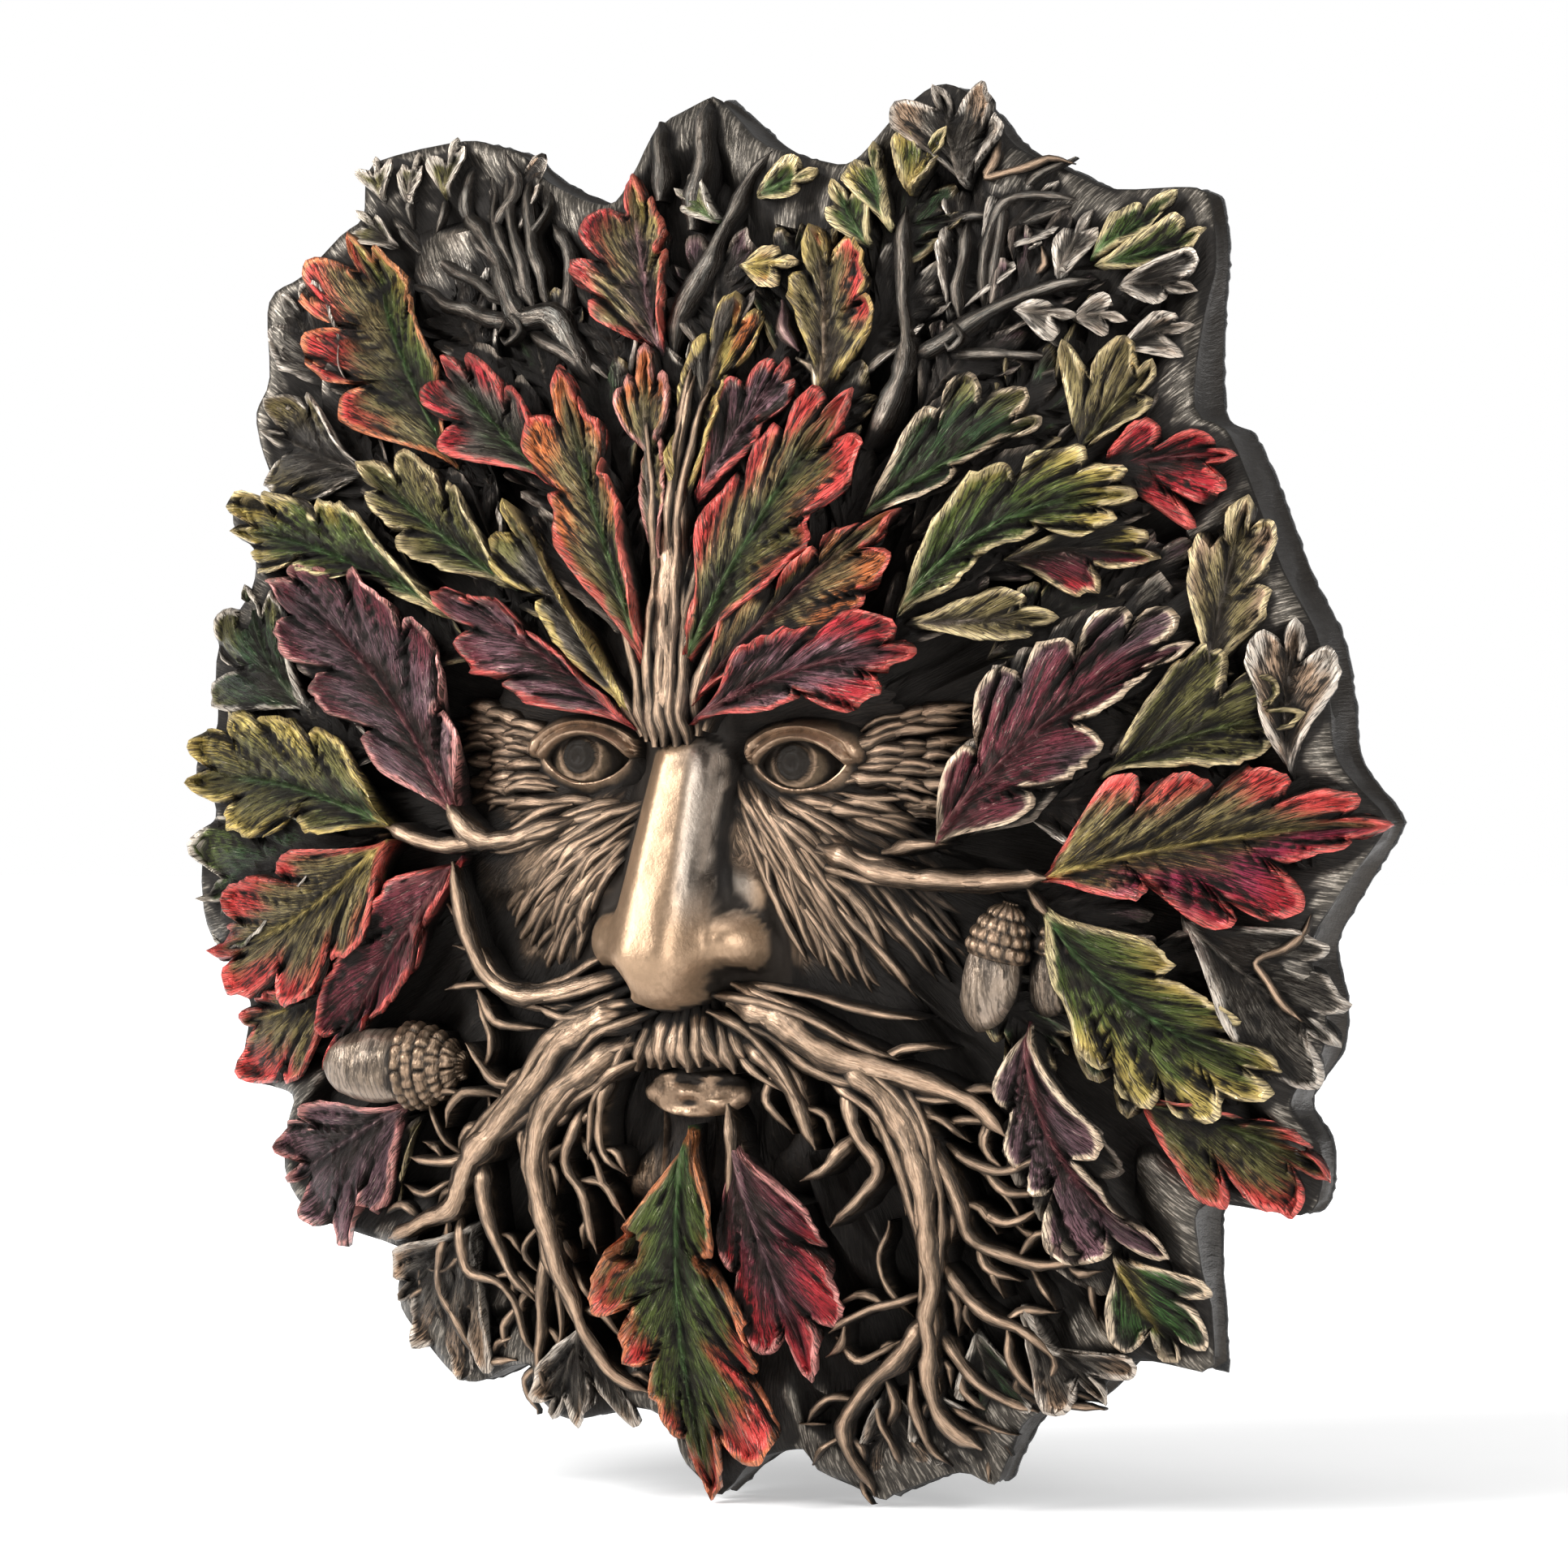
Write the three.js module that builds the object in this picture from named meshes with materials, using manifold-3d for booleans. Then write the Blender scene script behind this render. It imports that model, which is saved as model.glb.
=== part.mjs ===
// Green man wall plaque: a foliate head among oak leaves, roots, branches and acorns,
// cast in one piece, with a sheet of felt glued on its flat back.
// X points right, Z up, and the front faces -Y. The wall plane is Y = 0.
import * as THREE from 'three';
import Module from 'manifold-3d';

// Driving sizes in millimetres
const maskHeight = 264;
const feltThickness = 1.2;
const feltGap = 0.3;
const feltOverhang = 0.4;

// The carving is drawn on squared paper, in squares across, up and out from the back of the cast
const gridRows = 264;
const square = maskHeight / gridRows;
const castBack = feltThickness + feltGap;

// The facets of the cast, the smallest of them in square millimetres, the sharpest turn that a facet
// may take when two edges are joined, and how much more the form of the face counts than the rest
const facetBudget = 9450;
const smallestFacet = 0.02;
const sharpestTurn = 0.3;
const coarsenPasses = 60;
const coarsenShare = 0.85;
const coarsenEvenness = 0.002;
const faceWorth = 12;

// Smallest height of anything carved, in squares out from the back
const lowestKeel = 2;

const clamp01 = (v) => Math.min(1, Math.max(0, v));
const mix = (a, b, t) => a + (b - a) * t;
const smooth = (t) => t * t * (3 - 2 * t);
const bump = (dx, dz) => Math.exp(-(dx * dx + dz * dz));

// The dome that the carving follows: its middle, half sizes, height at the rim and rise above that,
// how round it is, and how deep the ground lies between the leaves
const dome = {
  centreX: 8, halfWidth: 120, halfHeight: 130, rim: 10.5, rise: 33, flatness: 2.2, shoulder: 0.8,
  valley: 12, valleyEdge: 6, groundDrop: 0.4,
};

function domeRadius(x, z) {
  return Math.hypot((x - dome.centreX) / dome.halfWidth, z / dome.halfHeight);
}

// Height of the surface that the leaves lie in
function crown(x, z) {
  return dome.rim + dome.rise * clamp01(1 - domeRadius(x, z) ** dome.flatness) ** dome.shoulder;
}

// Height of the dark ground between the leaves
function ground(x, z) {
  const depth = dome.valley * clamp01(1 - domeRadius(x, z) ** dome.valleyEdge);
  return crown(x, z) - depth - dome.groundDrop;
}

// Outline of the cast, clockwise from the scroll at the top
const rim = [
  [-4.4, 129.7], [0.8, 125.4], [7.1, 120.4], [18.6, 116.7], [25.8, 116.5], [32.8, 126.9], [38.6, 130.7],
  [43.5, 129.7], [47.8, 126], [54.8, 118.5], [64.2, 113.9], [73, 110.1], [88.9, 109.6], [91.8, 105.5],
  [92.6, 97], [91.8, 87], [92, 69], [97.3, 65], [101.8, 56], [108.5, 39], [114.1, 28], [116.3, 17],
  [117.8, 5.6], [124.8, -4], [124.8, -7.5], [117.8, -18.7], [113.1, -28], [115, -38], [114.1, -46.7],
  [108.5, -56], [112.2, -63.5], [112.3, -72], [108.5, -76.5], [93.2, -74.5], [91.3, -84], [92.3, -104],
  [90, -105.5], [76.7, -104], [69.4, -111], [57.8, -115], [52.5, -123.2], [49.8, -127.9], [43, -126],
  [30, -130.7], [27.2, -131.6], [16.3, -126.5], [14.5, -122.3], [4, -125], [-3.1, -131], [-5.8, -132.3],
  [-10.8, -126.9], [-11.7, -119.5], [-18, -115.7], [-34.8, -119.3], [-40.7, -115], [-40.2, -109.5],
  [-45.2, -109.2], [-57.2, -113.3], [-65.9, -106.4], [-71.8, -98], [-66.2, -89], [-71.4, -86.5],
  [-89, -83.1], [-96.2, -75], [-95.7, -66], [-92, -58.8], [-104.7, -56], [-104.7, -46.7],
  [-102.2, -41.1], [-110.7, -31.2], [-114.2, -24.3], [-114.6, -13], [-110.7, -3.7], [-115.8, 1],
  [-115, 8.4], [-110.7, 13.1], [-111.8, 20.5], [-110.2, 29.9], [-101.2, 39.2], [-101.7, 46.7],
  [-107.2, 50.6], [-107.2, 55.6], [-99.2, 58], [-101.8, 67.2], [-102.8, 73.7], [-100, 80.3],
  [-100, 95.2], [-92.9, 99.9], [-84.5, 107.5], [-79.7, 111], [-78.7, 119.5], [-73.5, 122.3],
  [-58, 124.6], [-50.8, 123.2], [-45.8, 121.3], [-38.8, 115.7], [-23.6, 110], [-19.2, 116],
  [-17.2, 123.2], [-14.5, 127], [-6.4, 130.7],
];

// Oak leaves: where each springs from, its tip, the sideways bow of its midrib (to the left of its
// growth when positive), how far it stands off the crown, and the tips of its side lobes
const leaves = {
  upper_left_outer: {
    root: [-48, 60], tip: [-82, 108], bow: 0, lift: 0,
    lobes: [[-91, 98], [-89, 84], [-77, 71], [-71, 102], [-60, 91]],
  },
  upper_left_rim: {
    root: [-74, 74], tip: [-97, 97], bow: 2, lift: -3, lobes: [[-99, 85], [-88, 98]],
  },
  upper_left_striped: {
    root: [-70, 60], tip: [-101, 70], bow: 0, lift: -2,
    lobes: [[-97, 77], [-97, 58], [-86, 55], [-86, 76]],
  },
  left_long: {
    root: [-46, 32], tip: [-106.5, 50.5], bow: -3.5, lift: 1,
    lobes: [[-105, 57], [-92, 57], [-75, 55], [-98, 43.5], [-80, 41.5], [-62, 38]],
  },
  left_middle_olive: {
    root: [-33, 37], tip: [-72, 62.5], bow: 0, lift: 0,
    lobes: [[-56, 63], [-45, 56], [-66, 53], [-55, 44]],
  },
  upper_left_red_edged: {
    root: [-26, 57], tip: [-54, 81.5], bow: 0, lift: 1.5,
    lobes: [[-56, 74], [-50, 64], [-41, 79.5], [-32, 73]],
  },
  crest_left: {
    root: [-3, 20], tip: [-26, 79], bow: 0, lift: 2,
    lobes: [[-30.5, 64], [-24, 50], [-18, 70], [-11.5, 57]],
  },
  crest_left_inner: {
    root: [-1, 33], tip: [-8.5, 82.5], bow: 1, lift: 0.5,
    lobes: [[-13.5, 73], [-8, 58], [-3, 74.5], [-2, 60]],
  },
  crest_strip: {
    root: [0, 46], tip: [9, 91.5], bow: 1, lift: -1, lobes: [[0, 78], [13.5, 86], [9, 72]],
  },
  crest_mauve: {
    root: [3, 52], tip: [20, 79], bow: 0, lift: -0.5, lobes: [[8, 73.5], [16, 78], [21, 72], [15, 64]],
  },
  crest_right: {
    root: [3, 22], tip: [33, 73], bow: 1, lift: 2,
    lobes: [[24, 71.5], [16, 64.5], [8, 54], [36.5, 58.5], [27, 44.5]],
  },
  crest_right_small: { root: [2, 20], tip: [5, 48.5], bow: 1, lift: 0, lobes: [[8.5, 38], [2, 38]] },
  top_middle: {
    root: [-6, 80], tip: [-18, 115.6], bow: 0, lift: -0.5,
    lobes: [[-26.5, 104], [-26, 97], [-20, 88], [-11, 108], [-6.5, 97]],
  },
  top_right_yellow: {
    root: [25.5, 70], tip: [20.5, 104], bow: -3, lift: -0.5, lobes: [[19.5, 90], [32.5, 98], [36, 86.5]],
  },
  right_upper_green: {
    root: [35, 49], tip: [68, 67], bow: 1, lift: 0,
    lobes: [[46, 68], [53, 74.5], [62, 73], [58, 61], [50, 54]],
  },
  right_large_green: {
    root: [43, 31], tip: [85.6, 53.6], bow: 6, lift: 2,
    lobes: [[60, 58], [72, 62], [82, 58], [79, 46.5], [66, 45], [55, 37]],
  },
  right_khaki: {
    root: [73, 60], tip: [86, 77.5], bow: 0, lift: -1, lobes: [[68, 78], [79, 80.5], [84, 67]],
  },
  right_red: {
    root: [77, 57], tip: [101, 60], bow: 1, lift: -0.5, lobes: [[84, 66.5], [94, 64], [98, 52], [90, 46]],
  },
  right_under_yellow: {
    root: [60, 41], tip: [88.5, 41.5], bow: 2, lift: -3, lobes: [[84, 47], [74, 35]],
  },
  right_under_khaki: {
    root: [43, 30], tip: [72, 31], bow: 0, lift: -2.5, lobes: [[62, 36], [64, 27]],
  },
  right_rim_upper: {
    root: [97, 20], tip: [103, 53], bow: 0, lift: -1.5, lobes: [[94, 43], [107.5, 46], [107, 32]],
  },
  right_rim_shining: {
    root: [111, 2], tip: [112, 31], bow: 1, lift: -0.5, lobes: [[118.5, 22], [105, 26]],
  },
  left_rim_green: {
    root: [-82, 15], tip: [-102, 40], bow: 2, lift: -3, lobes: [[-110, 30], [-110, 17], [-90, 36]],
  },
  left_burgundy: {
    root: [-45, -5], tip: [-93, 40], bow: -7, lift: 1,
    lobes: [[-80, 43], [-65, 40], [-50, 28], [-44, 11], [-88, 28], [-79, 17.5], [-62, 3.5]],
  },
  left_olive: {
    root: [-60, -7], tip: [-115.5, 1.5], bow: -4, lift: 0.5,
    lobes: [[-112, 10.5], [-102, 14.5], [-88, 14.5], [-74, 11], [-97, -8.5], [-77, -8]],
  },
  left_rim_lower: {
    root: [-66, -9], tip: [-113, -21], bow: 0, lift: -3, lobes: [[-113, -8], [-109, -30], [-95, -3]],
  },
  left_red: {
    root: [-61, -9], tip: [-110, -31], bow: 5, lift: 1.5,
    lobes: [[-82.5, -11.5], [-98, -18], [-100, -39.5], [-83, -40], [-67, -29]],
  },
  left_dark_red: {
    root: [-45, -12], tip: [-79, -53], bow: 0, lift: -2,
    lobes: [[-49, -20], [-59, -37.5], [-61, -17], [-80, -43]],
  },
  left_orange: {
    root: [-74, -37], tip: [-104, -45], bow: 1, lift: -1,
    lobes: [[-94, -38.5], [-103, -56.5], [-87, -55]],
  },
  left_purple: {
    root: [-60, -59], tip: [-95, -76], bow: 0, lift: -1,
    lobes: [[-84, -60], [-95, -66], [-90, -84], [-80, -87], [-68, -79]],
  },
  bottom_left_rim: {
    root: [-47, -81], tip: [-70, -98], bow: 0, lift: -3,
    lobes: [[-69, -90], [-65, -107], [-57, -113], [-45, -108]],
  },
  bottom_left_small: {
    root: [-25, -98], tip: [-37, -119], bow: 0, lift: -3,
    lobes: [[-39.5, -113], [-27, -117.5], [-15, -115.5]],
  },
  bottom_middle: {
    root: [1.5, -61], tip: [-4, -133], bow: -2, lift: 1.5,
    lobes: [[-21, -94], [-15.5, -102.5], [-11, -114], [6, -78], [10, -104], [12, -118]],
  },
  bottom_middle_red: {
    root: [9, -63], tip: [21, -108.5], bow: 0, lift: -1,
    lobes: [[4.5, -82], [8.5, -99], [26, -79], [28, -91]],
  },
  right_burgundy: {
    root: [50, -10], tip: [95.5, 26.5], bow: 4, lift: 1.5,
    lobes: [[54.5, 6], [60.5, 20], [72, 27], [83, 33], [91, 32], [87.5, 19.5], [76.5, 4], [62, -10.5]],
  },
  right_olive: {
    root: [78, 2], tip: [114, 14], bow: 2, lift: -2, lobes: [[97, 26], [107, 20.5], [105, 5.5]],
  },
  right_yellow_red: {
    root: [68, -16], tip: [127.5, -6], bow: 2, lift: 0.5,
    lobes: [[83, 3], [94, 2.8], [107, 4.8], [119, 0.3], [118, -11], [110, -22.5], [100, -24], [87, -19]],
  },
  right_green_yellow: {
    root: [69, -20], tip: [109, -50], bow: -5, lift: 1,
    lobes: [[90, -27], [98.5, -37.5], [105, -55], [95, -59.5], [84, -55.5], [77.5, -48]],
  },
  right_rim_lower: {
    root: [92, -22], tip: [117, -46], bow: 0, lift: -2.5, lobes: [[115, -26], [117.5, -36], [111, -54]],
  },
  bottom_right_red: {
    root: [83, -55], tip: [116, -70], bow: 2, lift: -1,
    lobes: [[97, -56.5], [109, -61], [106, -75.5], [92, -73]],
  },
  lower_right_burgundy: {
    root: [66, -41], tip: [88, -84], bow: -7, lift: 0,
    lobes: [[60, -53], [61, -65], [65, -72], [68, -82], [77, -61], [79, -74]],
  },
  lower_right_green: {
    root: [77, -83], tip: [86, -104], bow: 0, lift: -2, lobes: [[92, -88], [92, -98], [76, -99]],
  },
  brow_left: {
    root: [-7, 11], tip: [-50, 37], bow: -2.5, lift: 1,
    lobes: [[-38, 36], [-24, 27], [-42, 23], [-30, 17]],
  },
  brow_left_upper: {
    root: [-7, 13], tip: [-34, 54], bow: 0, lift: 1, lobes: [[-37, 44], [-25, 31], [-23, 38], [-30, 49]],
  },
  brow_left_behind: {
    root: [-10, 28], tip: [-31, 51], bow: 0, lift: -3.5,
    lobes: [[-18, 44], [-27, 52]],
  },
  brow_right: {
    root: [4, 15], tip: [43, 51], bow: 1.5, lift: 1,
    lobes: [[13.5, 36.5], [27, 43], [32, 47], [42, 38], [38, 33]],
  },
  brow_right_lower: {
    root: [4, 12], tip: [48.5, 25.5], bow: 3, lift: 2, lobes: [[20, 28], [44, 31], [37, 15], [22, 15]],
  },
  sprig_far_left: {
    root: [-74, 113], tip: [-75, 122], bow: 0, lift: 0,
    lobes: [[-78.5, 118], [-71, 120]],
  },
  sprig_left: { root: [-61, 113], tip: [-58, 125], bow: 0, lift: 0, lobes: [[-64, 120], [-55.5, 122]] },
  sprig_left_second: {
    root: [-69, 112], tip: [-66, 122.5], bow: 0, lift: 0,
    lobes: [[-70, 119], [-65, 118]],
  },
  sprig_middle: { root: [2, 105], tip: [-8, 112], bow: 0, lift: 0, lobes: [[-5, 107], [-4, 114.5]] },
  sprig_yellow_green: {
    root: [8.5, 109.5], tip: [21, 114.5], bow: 0, lift: 0,
    lobes: [[15, 117.5], [15.5, 109]],
  },
  sprig_yellow: { root: [7, 96.5], tip: [20, 97], bow: 0, lift: -1, lobes: [[12.5, 100], [13.5, 92]] },
  sprig_pale: {
    root: [35.5, 102], tip: [29.5, 119.8], bow: 0, lift: 0,
    lobes: [[25.5, 113.5], [33.5, 112]],
  },
  sprig_pale_upper: {
    root: [38, 109], tip: [43.5, 122], bow: 0, lift: 1,
    lobes: [[34.5, 120], [42.5, 113]],
  },
  sprig_pale_lower: {
    root: [32, 99], tip: [23.5, 112.5], bow: 0, lift: -1,
    lobes: [[25, 104], [31, 108]],
  },
  sprig_far_right: {
    root: [72, 96], tip: [86.5, 109], bow: 0, lift: 0.5,
    lobes: [[75.5, 105], [83, 103]],
  },
  sprig_far_right_low: {
    root: [73, 95], tip: [92, 102], bow: -1, lift: 1,
    lobes: [[86, 104], [81, 94.5]],
  },
  right_upright_curl: { root: [67, 92], tip: [71, 106], bow: 0, lift: 0, lobes: [[66, 100], [73, 100]] },
  right_curl_inner: { root: [60, 87], tip: [72, 85.5], bow: 0, lift: 1, lobes: [[65, 88.5], [67, 81]] },
  right_curl_outer: {
    root: [70, 85], tip: [80.5, 84.5], bow: 1, lift: 0.5,
    lobes: [[75, 89.5], [76, 82]],
  },
  right_curl_rim: { root: [79, 79], tip: [91.5, 84], bow: 1, lift: 0, lobes: [[86, 86], [89, 77.5]] },
  right_rim_top: { root: [77, 91], tip: [92, 90], bow: 1, lift: 0, lobes: [[89, 98], [84, 87.5]] },
  left_rim_curl: { root: [-71, 104], tip: [-80, 112], bow: 0, lift: -2, lobes: [[-74, 110], [-80, 106]] },
  bottom_right_rim: {
    root: [60, -93], tip: [73, -112], bow: 0, lift: -2,
    lobes: [[79, -103], [65, -100], [62, -113]],
  },
  rim_fan: {
    root: [48, 110], tip: [40, 130], bow: 0, lift: 0.5,
    lobes: [[33.5, 124], [50.5, 128], [58, 118]],
  },
};

// Roots of the beard, leaf stalks, and the wood at the top: points along each, half width at its
// two ends, and how far it stands off the crown
const strands = {
  forehead_stem: {
    path: [[0.5, 10], [0, 22], [-0.5, 40], [0, 58], [1.5, 76]],
    from: 4.6, to: 1, lift: 2,
  },
  whisker_left: {
    path: [[-10, -33], [-28, -38], [-38, -35], [-43, -26], [-46, -13]],
    from: 3.4, to: 0.9, lift: 0,
  },
  whisker_left_low: { path: [[-40, -36], [-50, -37]], from: 1.6, to: 0.7, lift: -1 },
  root_left: {
    path: [[-8, -40], [-20, -44], [-31, -55], [-44, -67], [-51, -78], [-60, -82], [-69, -85]],
    from: 5.5, to: 1.3, lift: 1,
  },
  root_left_twig: { path: [[-33, -54], [-38, -54], [-45, -47]], from: 2, to: 0.9, lift: 0.5 },
  root_left_hook: { path: [[-39, -57], [-46, -56], [-51.5, -63]], from: 1.5, to: 1, lift: 0 },
  root_left_side: { path: [[-44, -67], [-50, -69.5], [-61, -69]], from: 1.8, to: 1, lift: 0 },
  root_left_outer: {
    path: [[-44, -67], [-44, -76], [-41, -87], [-36, -96]],
    from: 2.2, to: 0.9, lift: 0.5,
  },
  root_left_middle: {
    path: [[-51, -79], [-50, -90], [-42, -93], [-38.5, -107]],
    from: 1.8, to: 1, lift: 0,
  },
  root_left_low: {
    path: [[-53, -81], [-58, -93], [-55, -101], [-51, -108], [-43, -108]],
    from: 1.8, to: 1, lift: 0,
  },
  root_left_low_fork: { path: [[-58, -93], [-69, -98]], from: 1.3, to: 0.9, lift: 0 },
  beard_left: {
    path: [[-10, -45], [-24, -55], [-31, -66], [-31, -78], [-28, -92], [-22, -107], [-14, -112]],
    from: 4, to: 1, lift: 1,
  },
  beard_left_fork: { path: [[-31, -84], [-35, -100], [-38, -115]], from: 1.8, to: 1, lift: 0 },
  beard_left_inner: {
    path: [[-20, -56], [-25, -69], [-21, -76], [-20.5, -86]],
    from: 2, to: 0.9, lift: -0.5,
  },
  beard_left_thin: {
    path: [[-14, -50], [-17, -60], [-17, -67], [-13, -70.5]],
    from: 1.6, to: 0.9, lift: -0.5,
  },
  root_right: {
    path: [[10, -38], [20, -41], [30, -47], [45, -52], [56, -56], [61, -62]], from: 5.5, to: 1.2, lift: 1,
  },
  beard_right: {
    path: [[30, -48], [40, -55], [45, -66], [46, -82], [44, -98], [43, -113], [49, -121]],
    from: 4, to: 1.4, lift: 1.5,
  },
  beard_right_inner: { path: [[12, -44], [22, -54], [26, -65]], from: 3.4, to: 0.8, lift: 0 },
  loop_right: {
    path: [[32, -51], [34, -61], [37.5, -68], [34, -74], [27, -79]],
    from: 2.6, to: 1, lift: 0.5,
  },
  loop_right_twig: { path: [[34, -61], [28, -68], [22, -70.5]], from: 1.8, to: 0.8, lift: 0 },
  root_right_second: {
    path: [[46, -58], [50, -71], [54, -81], [64, -85], [76, -84]],
    from: 1.8, to: 1.2, lift: 0,
  },
  root_right_outer: {
    path: [[46, -84], [53, -94], [60, -97], [65, -103], [62, -108]],
    from: 2, to: 1, lift: 0.5,
  },
  root_right_side: { path: [[44, -91], [34, -94], [24, -99]], from: 1.5, to: 0.9, lift: 0 },
  root_right_low: {
    path: [[44, -94], [38, -103], [28, -112], [24, -120], [27, -131]],
    from: 2.4, to: 1.4, lift: 0.5,
  },
  root_right_low_fork: { path: [[38, -106], [39, -120], [42, -125]], from: 1.4, to: 1, lift: 0 },
  root_right_rim: { path: [[44, -97], [52, -109], [60, -114]], from: 1.8, to: 1.2, lift: 0 },
  root_right_wave: { path: [[48, -63], [59, -68], [69, -64]], from: 1.4, to: 1, lift: -1 },
  root_right_upper_twig: { path: [[48, -59.5], [57, -59.5], [60, -62]], from: 1.2, to: 0.8, lift: -1 },
  root_right_middle_twig: { path: [[52, -74], [59, -78], [66, -75]], from: 1.3, to: 0.8, lift: -1 },
  root_right_drop: { path: [[54.5, -82], [57, -92]], from: 1.2, to: 0.8, lift: -1 },
  root_right_scroll: {
    path: [[57, -97], [58, -104], [63, -111], [72, -113]],
    from: 1.5, to: 1.1, lift: 0.5,
  },
  chin_root: { path: [[8, -57], [9, -66], [7.5, -77]], from: 1.6, to: 1, lift: -1 },
  stalk_left: { path: [[-20, -5], [-34, -9], [-41, -8.5], [-48, -2]], from: 3, to: 1.8, lift: 1 },
  stalk_left_outer: { path: [[-36, -9.5], [-50, -9.5], [-62, -7]], from: 2, to: 1.8, lift: 0.5 },
  stalk_right: {
    path: [[28, -10], [38, -13.5], [50, -16], [60, -16], [70, -16]],
    from: 3, to: 1.8, lift: 1,
  },
  stalk_right_leaf: { path: [[40, -11], [52, -9.5]], from: 1.8, to: 1.4, lift: 1 },
  stalk_right_low: { path: [[66, -17], [71, -23]], from: 1.5, to: 1.2, lift: 1 },
  branch_left: {
    path: [[-20, 74], [-30, 88], [-39, 89], [-47, 101], [-57, 112], [-55, 121]],
    from: 3.6, to: 1.5, lift: -1,
  },
  branch_left_outer: {
    path: [[-34, 88], [-50, 96], [-64, 103], [-74, 112]],
    from: 2.2, to: 1.3, lift: -2,
  },
  branch_left_low: { path: [[-34, 87], [-50, 90], [-62, 95], [-71, 97]], from: 2, to: 1.1, lift: -2 },
  branch_left_stub: { path: [[-28, 85], [-29, 98], [-35, 107]], from: 2, to: 1.3, lift: -2 },
  branch_left_rim: { path: [[-50, 104], [-45, 113], [-49, 122]], from: 2, to: 1.4, lift: 0 },
  branch_middle: {
    path: [[-5, 80], [-3.5, 90], [1.5, 99], [5, 111], [9, 119]],
    from: 3, to: 1.2, lift: -1,
  },
  branch_middle_left: { path: [[-12, 110], [-13, 119], [-15, 126]], from: 2.4, to: 2, lift: 1 },
  branch_middle_rim: { path: [[-4, 104], [-4, 118], [-6, 130]], from: 2.4, to: 2.4, lift: 1 },
  branch_right: { path: [[34, 62], [41, 76], [39, 90], [37, 107]], from: 3, to: 1.3, lift: -1 },
  branch_right_outer: { path: [[41, 78], [49, 82], [58, 88], [73, 93]], from: 2.4, to: 1.2, lift: -1 },
  branch_right_low: { path: [[46, 79], [67, 78]], from: 1.6, to: 1, lift: -2 },
  branch_right_upright: { path: [[49.5, 85], [49, 104]], from: 1.6, to: 1.4, lift: -1 },
  branch_right_arm: { path: [[53.5, 87], [55.5, 107], [69.5, 107]], from: 1.6, to: 1.1, lift: -1 },
};

// Locks of hair at the cheeks: where each leaves the cheek and where it ends
const locks = [
  [[-25, 11], [-45, 15]], [[-25, 7], [-45, 9]], [[-25, 3], [-44, 2]], [[-22, -2], [-43, -4]],
  [[-12, -4], [-39, -16]], [[-12, -8], [-37, -25]], [[-11, -12], [-30, -31]], [[-10, -16], [-21, -32]],
  [[31, 10], [49, 15]], [[31, 6], [50, 9]], [[31, 2], [49, 0]], [[28, -3], [47, -6]],
  [[14, -6], [24, -32]], [[18, -10], [32, -35]], [[22, -12], [41, -35]], [[30, -14], [50, -32]],
];

// Half width of a lock at its two ends, how far it stands off the face, and its end off the ground
const lockForm = { from: 3.4, to: 0.9, lift: 1 };
const lockEndHeight = 3.5;

// Acorns: middle, tilt of the long axis from upright in degrees, half length, half width, and how
// far the middle stands off the crown
const acorns = [
  { centre: [-62.5, -51.7], tilt: 91, halfLength: 15, halfWidth: 7, lift: 0.5 },
  { centre: [60, -31.5], tilt: -15, halfLength: 12, halfWidth: 5.2, lift: -0.5 },
  { centre: [70.5, -31], tilt: -12, halfLength: 10, halfWidth: 4.8, lift: -2.5 },
];

// Acorn from the point of the nut to the stalk end of the cup, as shares of its half length and half
// width: the cup starts with a step; how far its middle is sunk and how deep its foot stands
const acornStations = [
  { along: -0.97, half: 0.25 }, { along: -0.7, half: 0.78 }, { along: -0.2, half: 1 },
  { along: 0.16, half: 0.97 }, { along: 0.18, half: 1.12 }, { along: 0.65, half: 0.92 },
  { along: 0.95, half: 0.35 },
];
const acornSides = 8;
const acornSunk = 0.35;
const acornFoot = 1.8;

// Rows and columns of the face, closer together at the eyes, nose and mouth
const faceColumns = [0, 3.6, 5, 7.4, 10.5, 15, 20, 26, 32, 38, 43, 48];
const faceRows = [
  -76, -68, -62, -58, -54, -52, -50, -46, -42, -39.5, -36, -30, -23, -17, -11, -5, 0, 5, 10, 14, 18, 24,
  32, 44,
];

// Turns a point drawn on the squared paper into millimetres
function place(x, height, z) {
  return [x * square, -(castBack + height * square), z * square];
}

// Angles of the corners of a ring
function turnsOf(sides) {
  return Array.from({ length: sides }, (_, k) => (2 * Math.PI * k) / sides);
}

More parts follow.
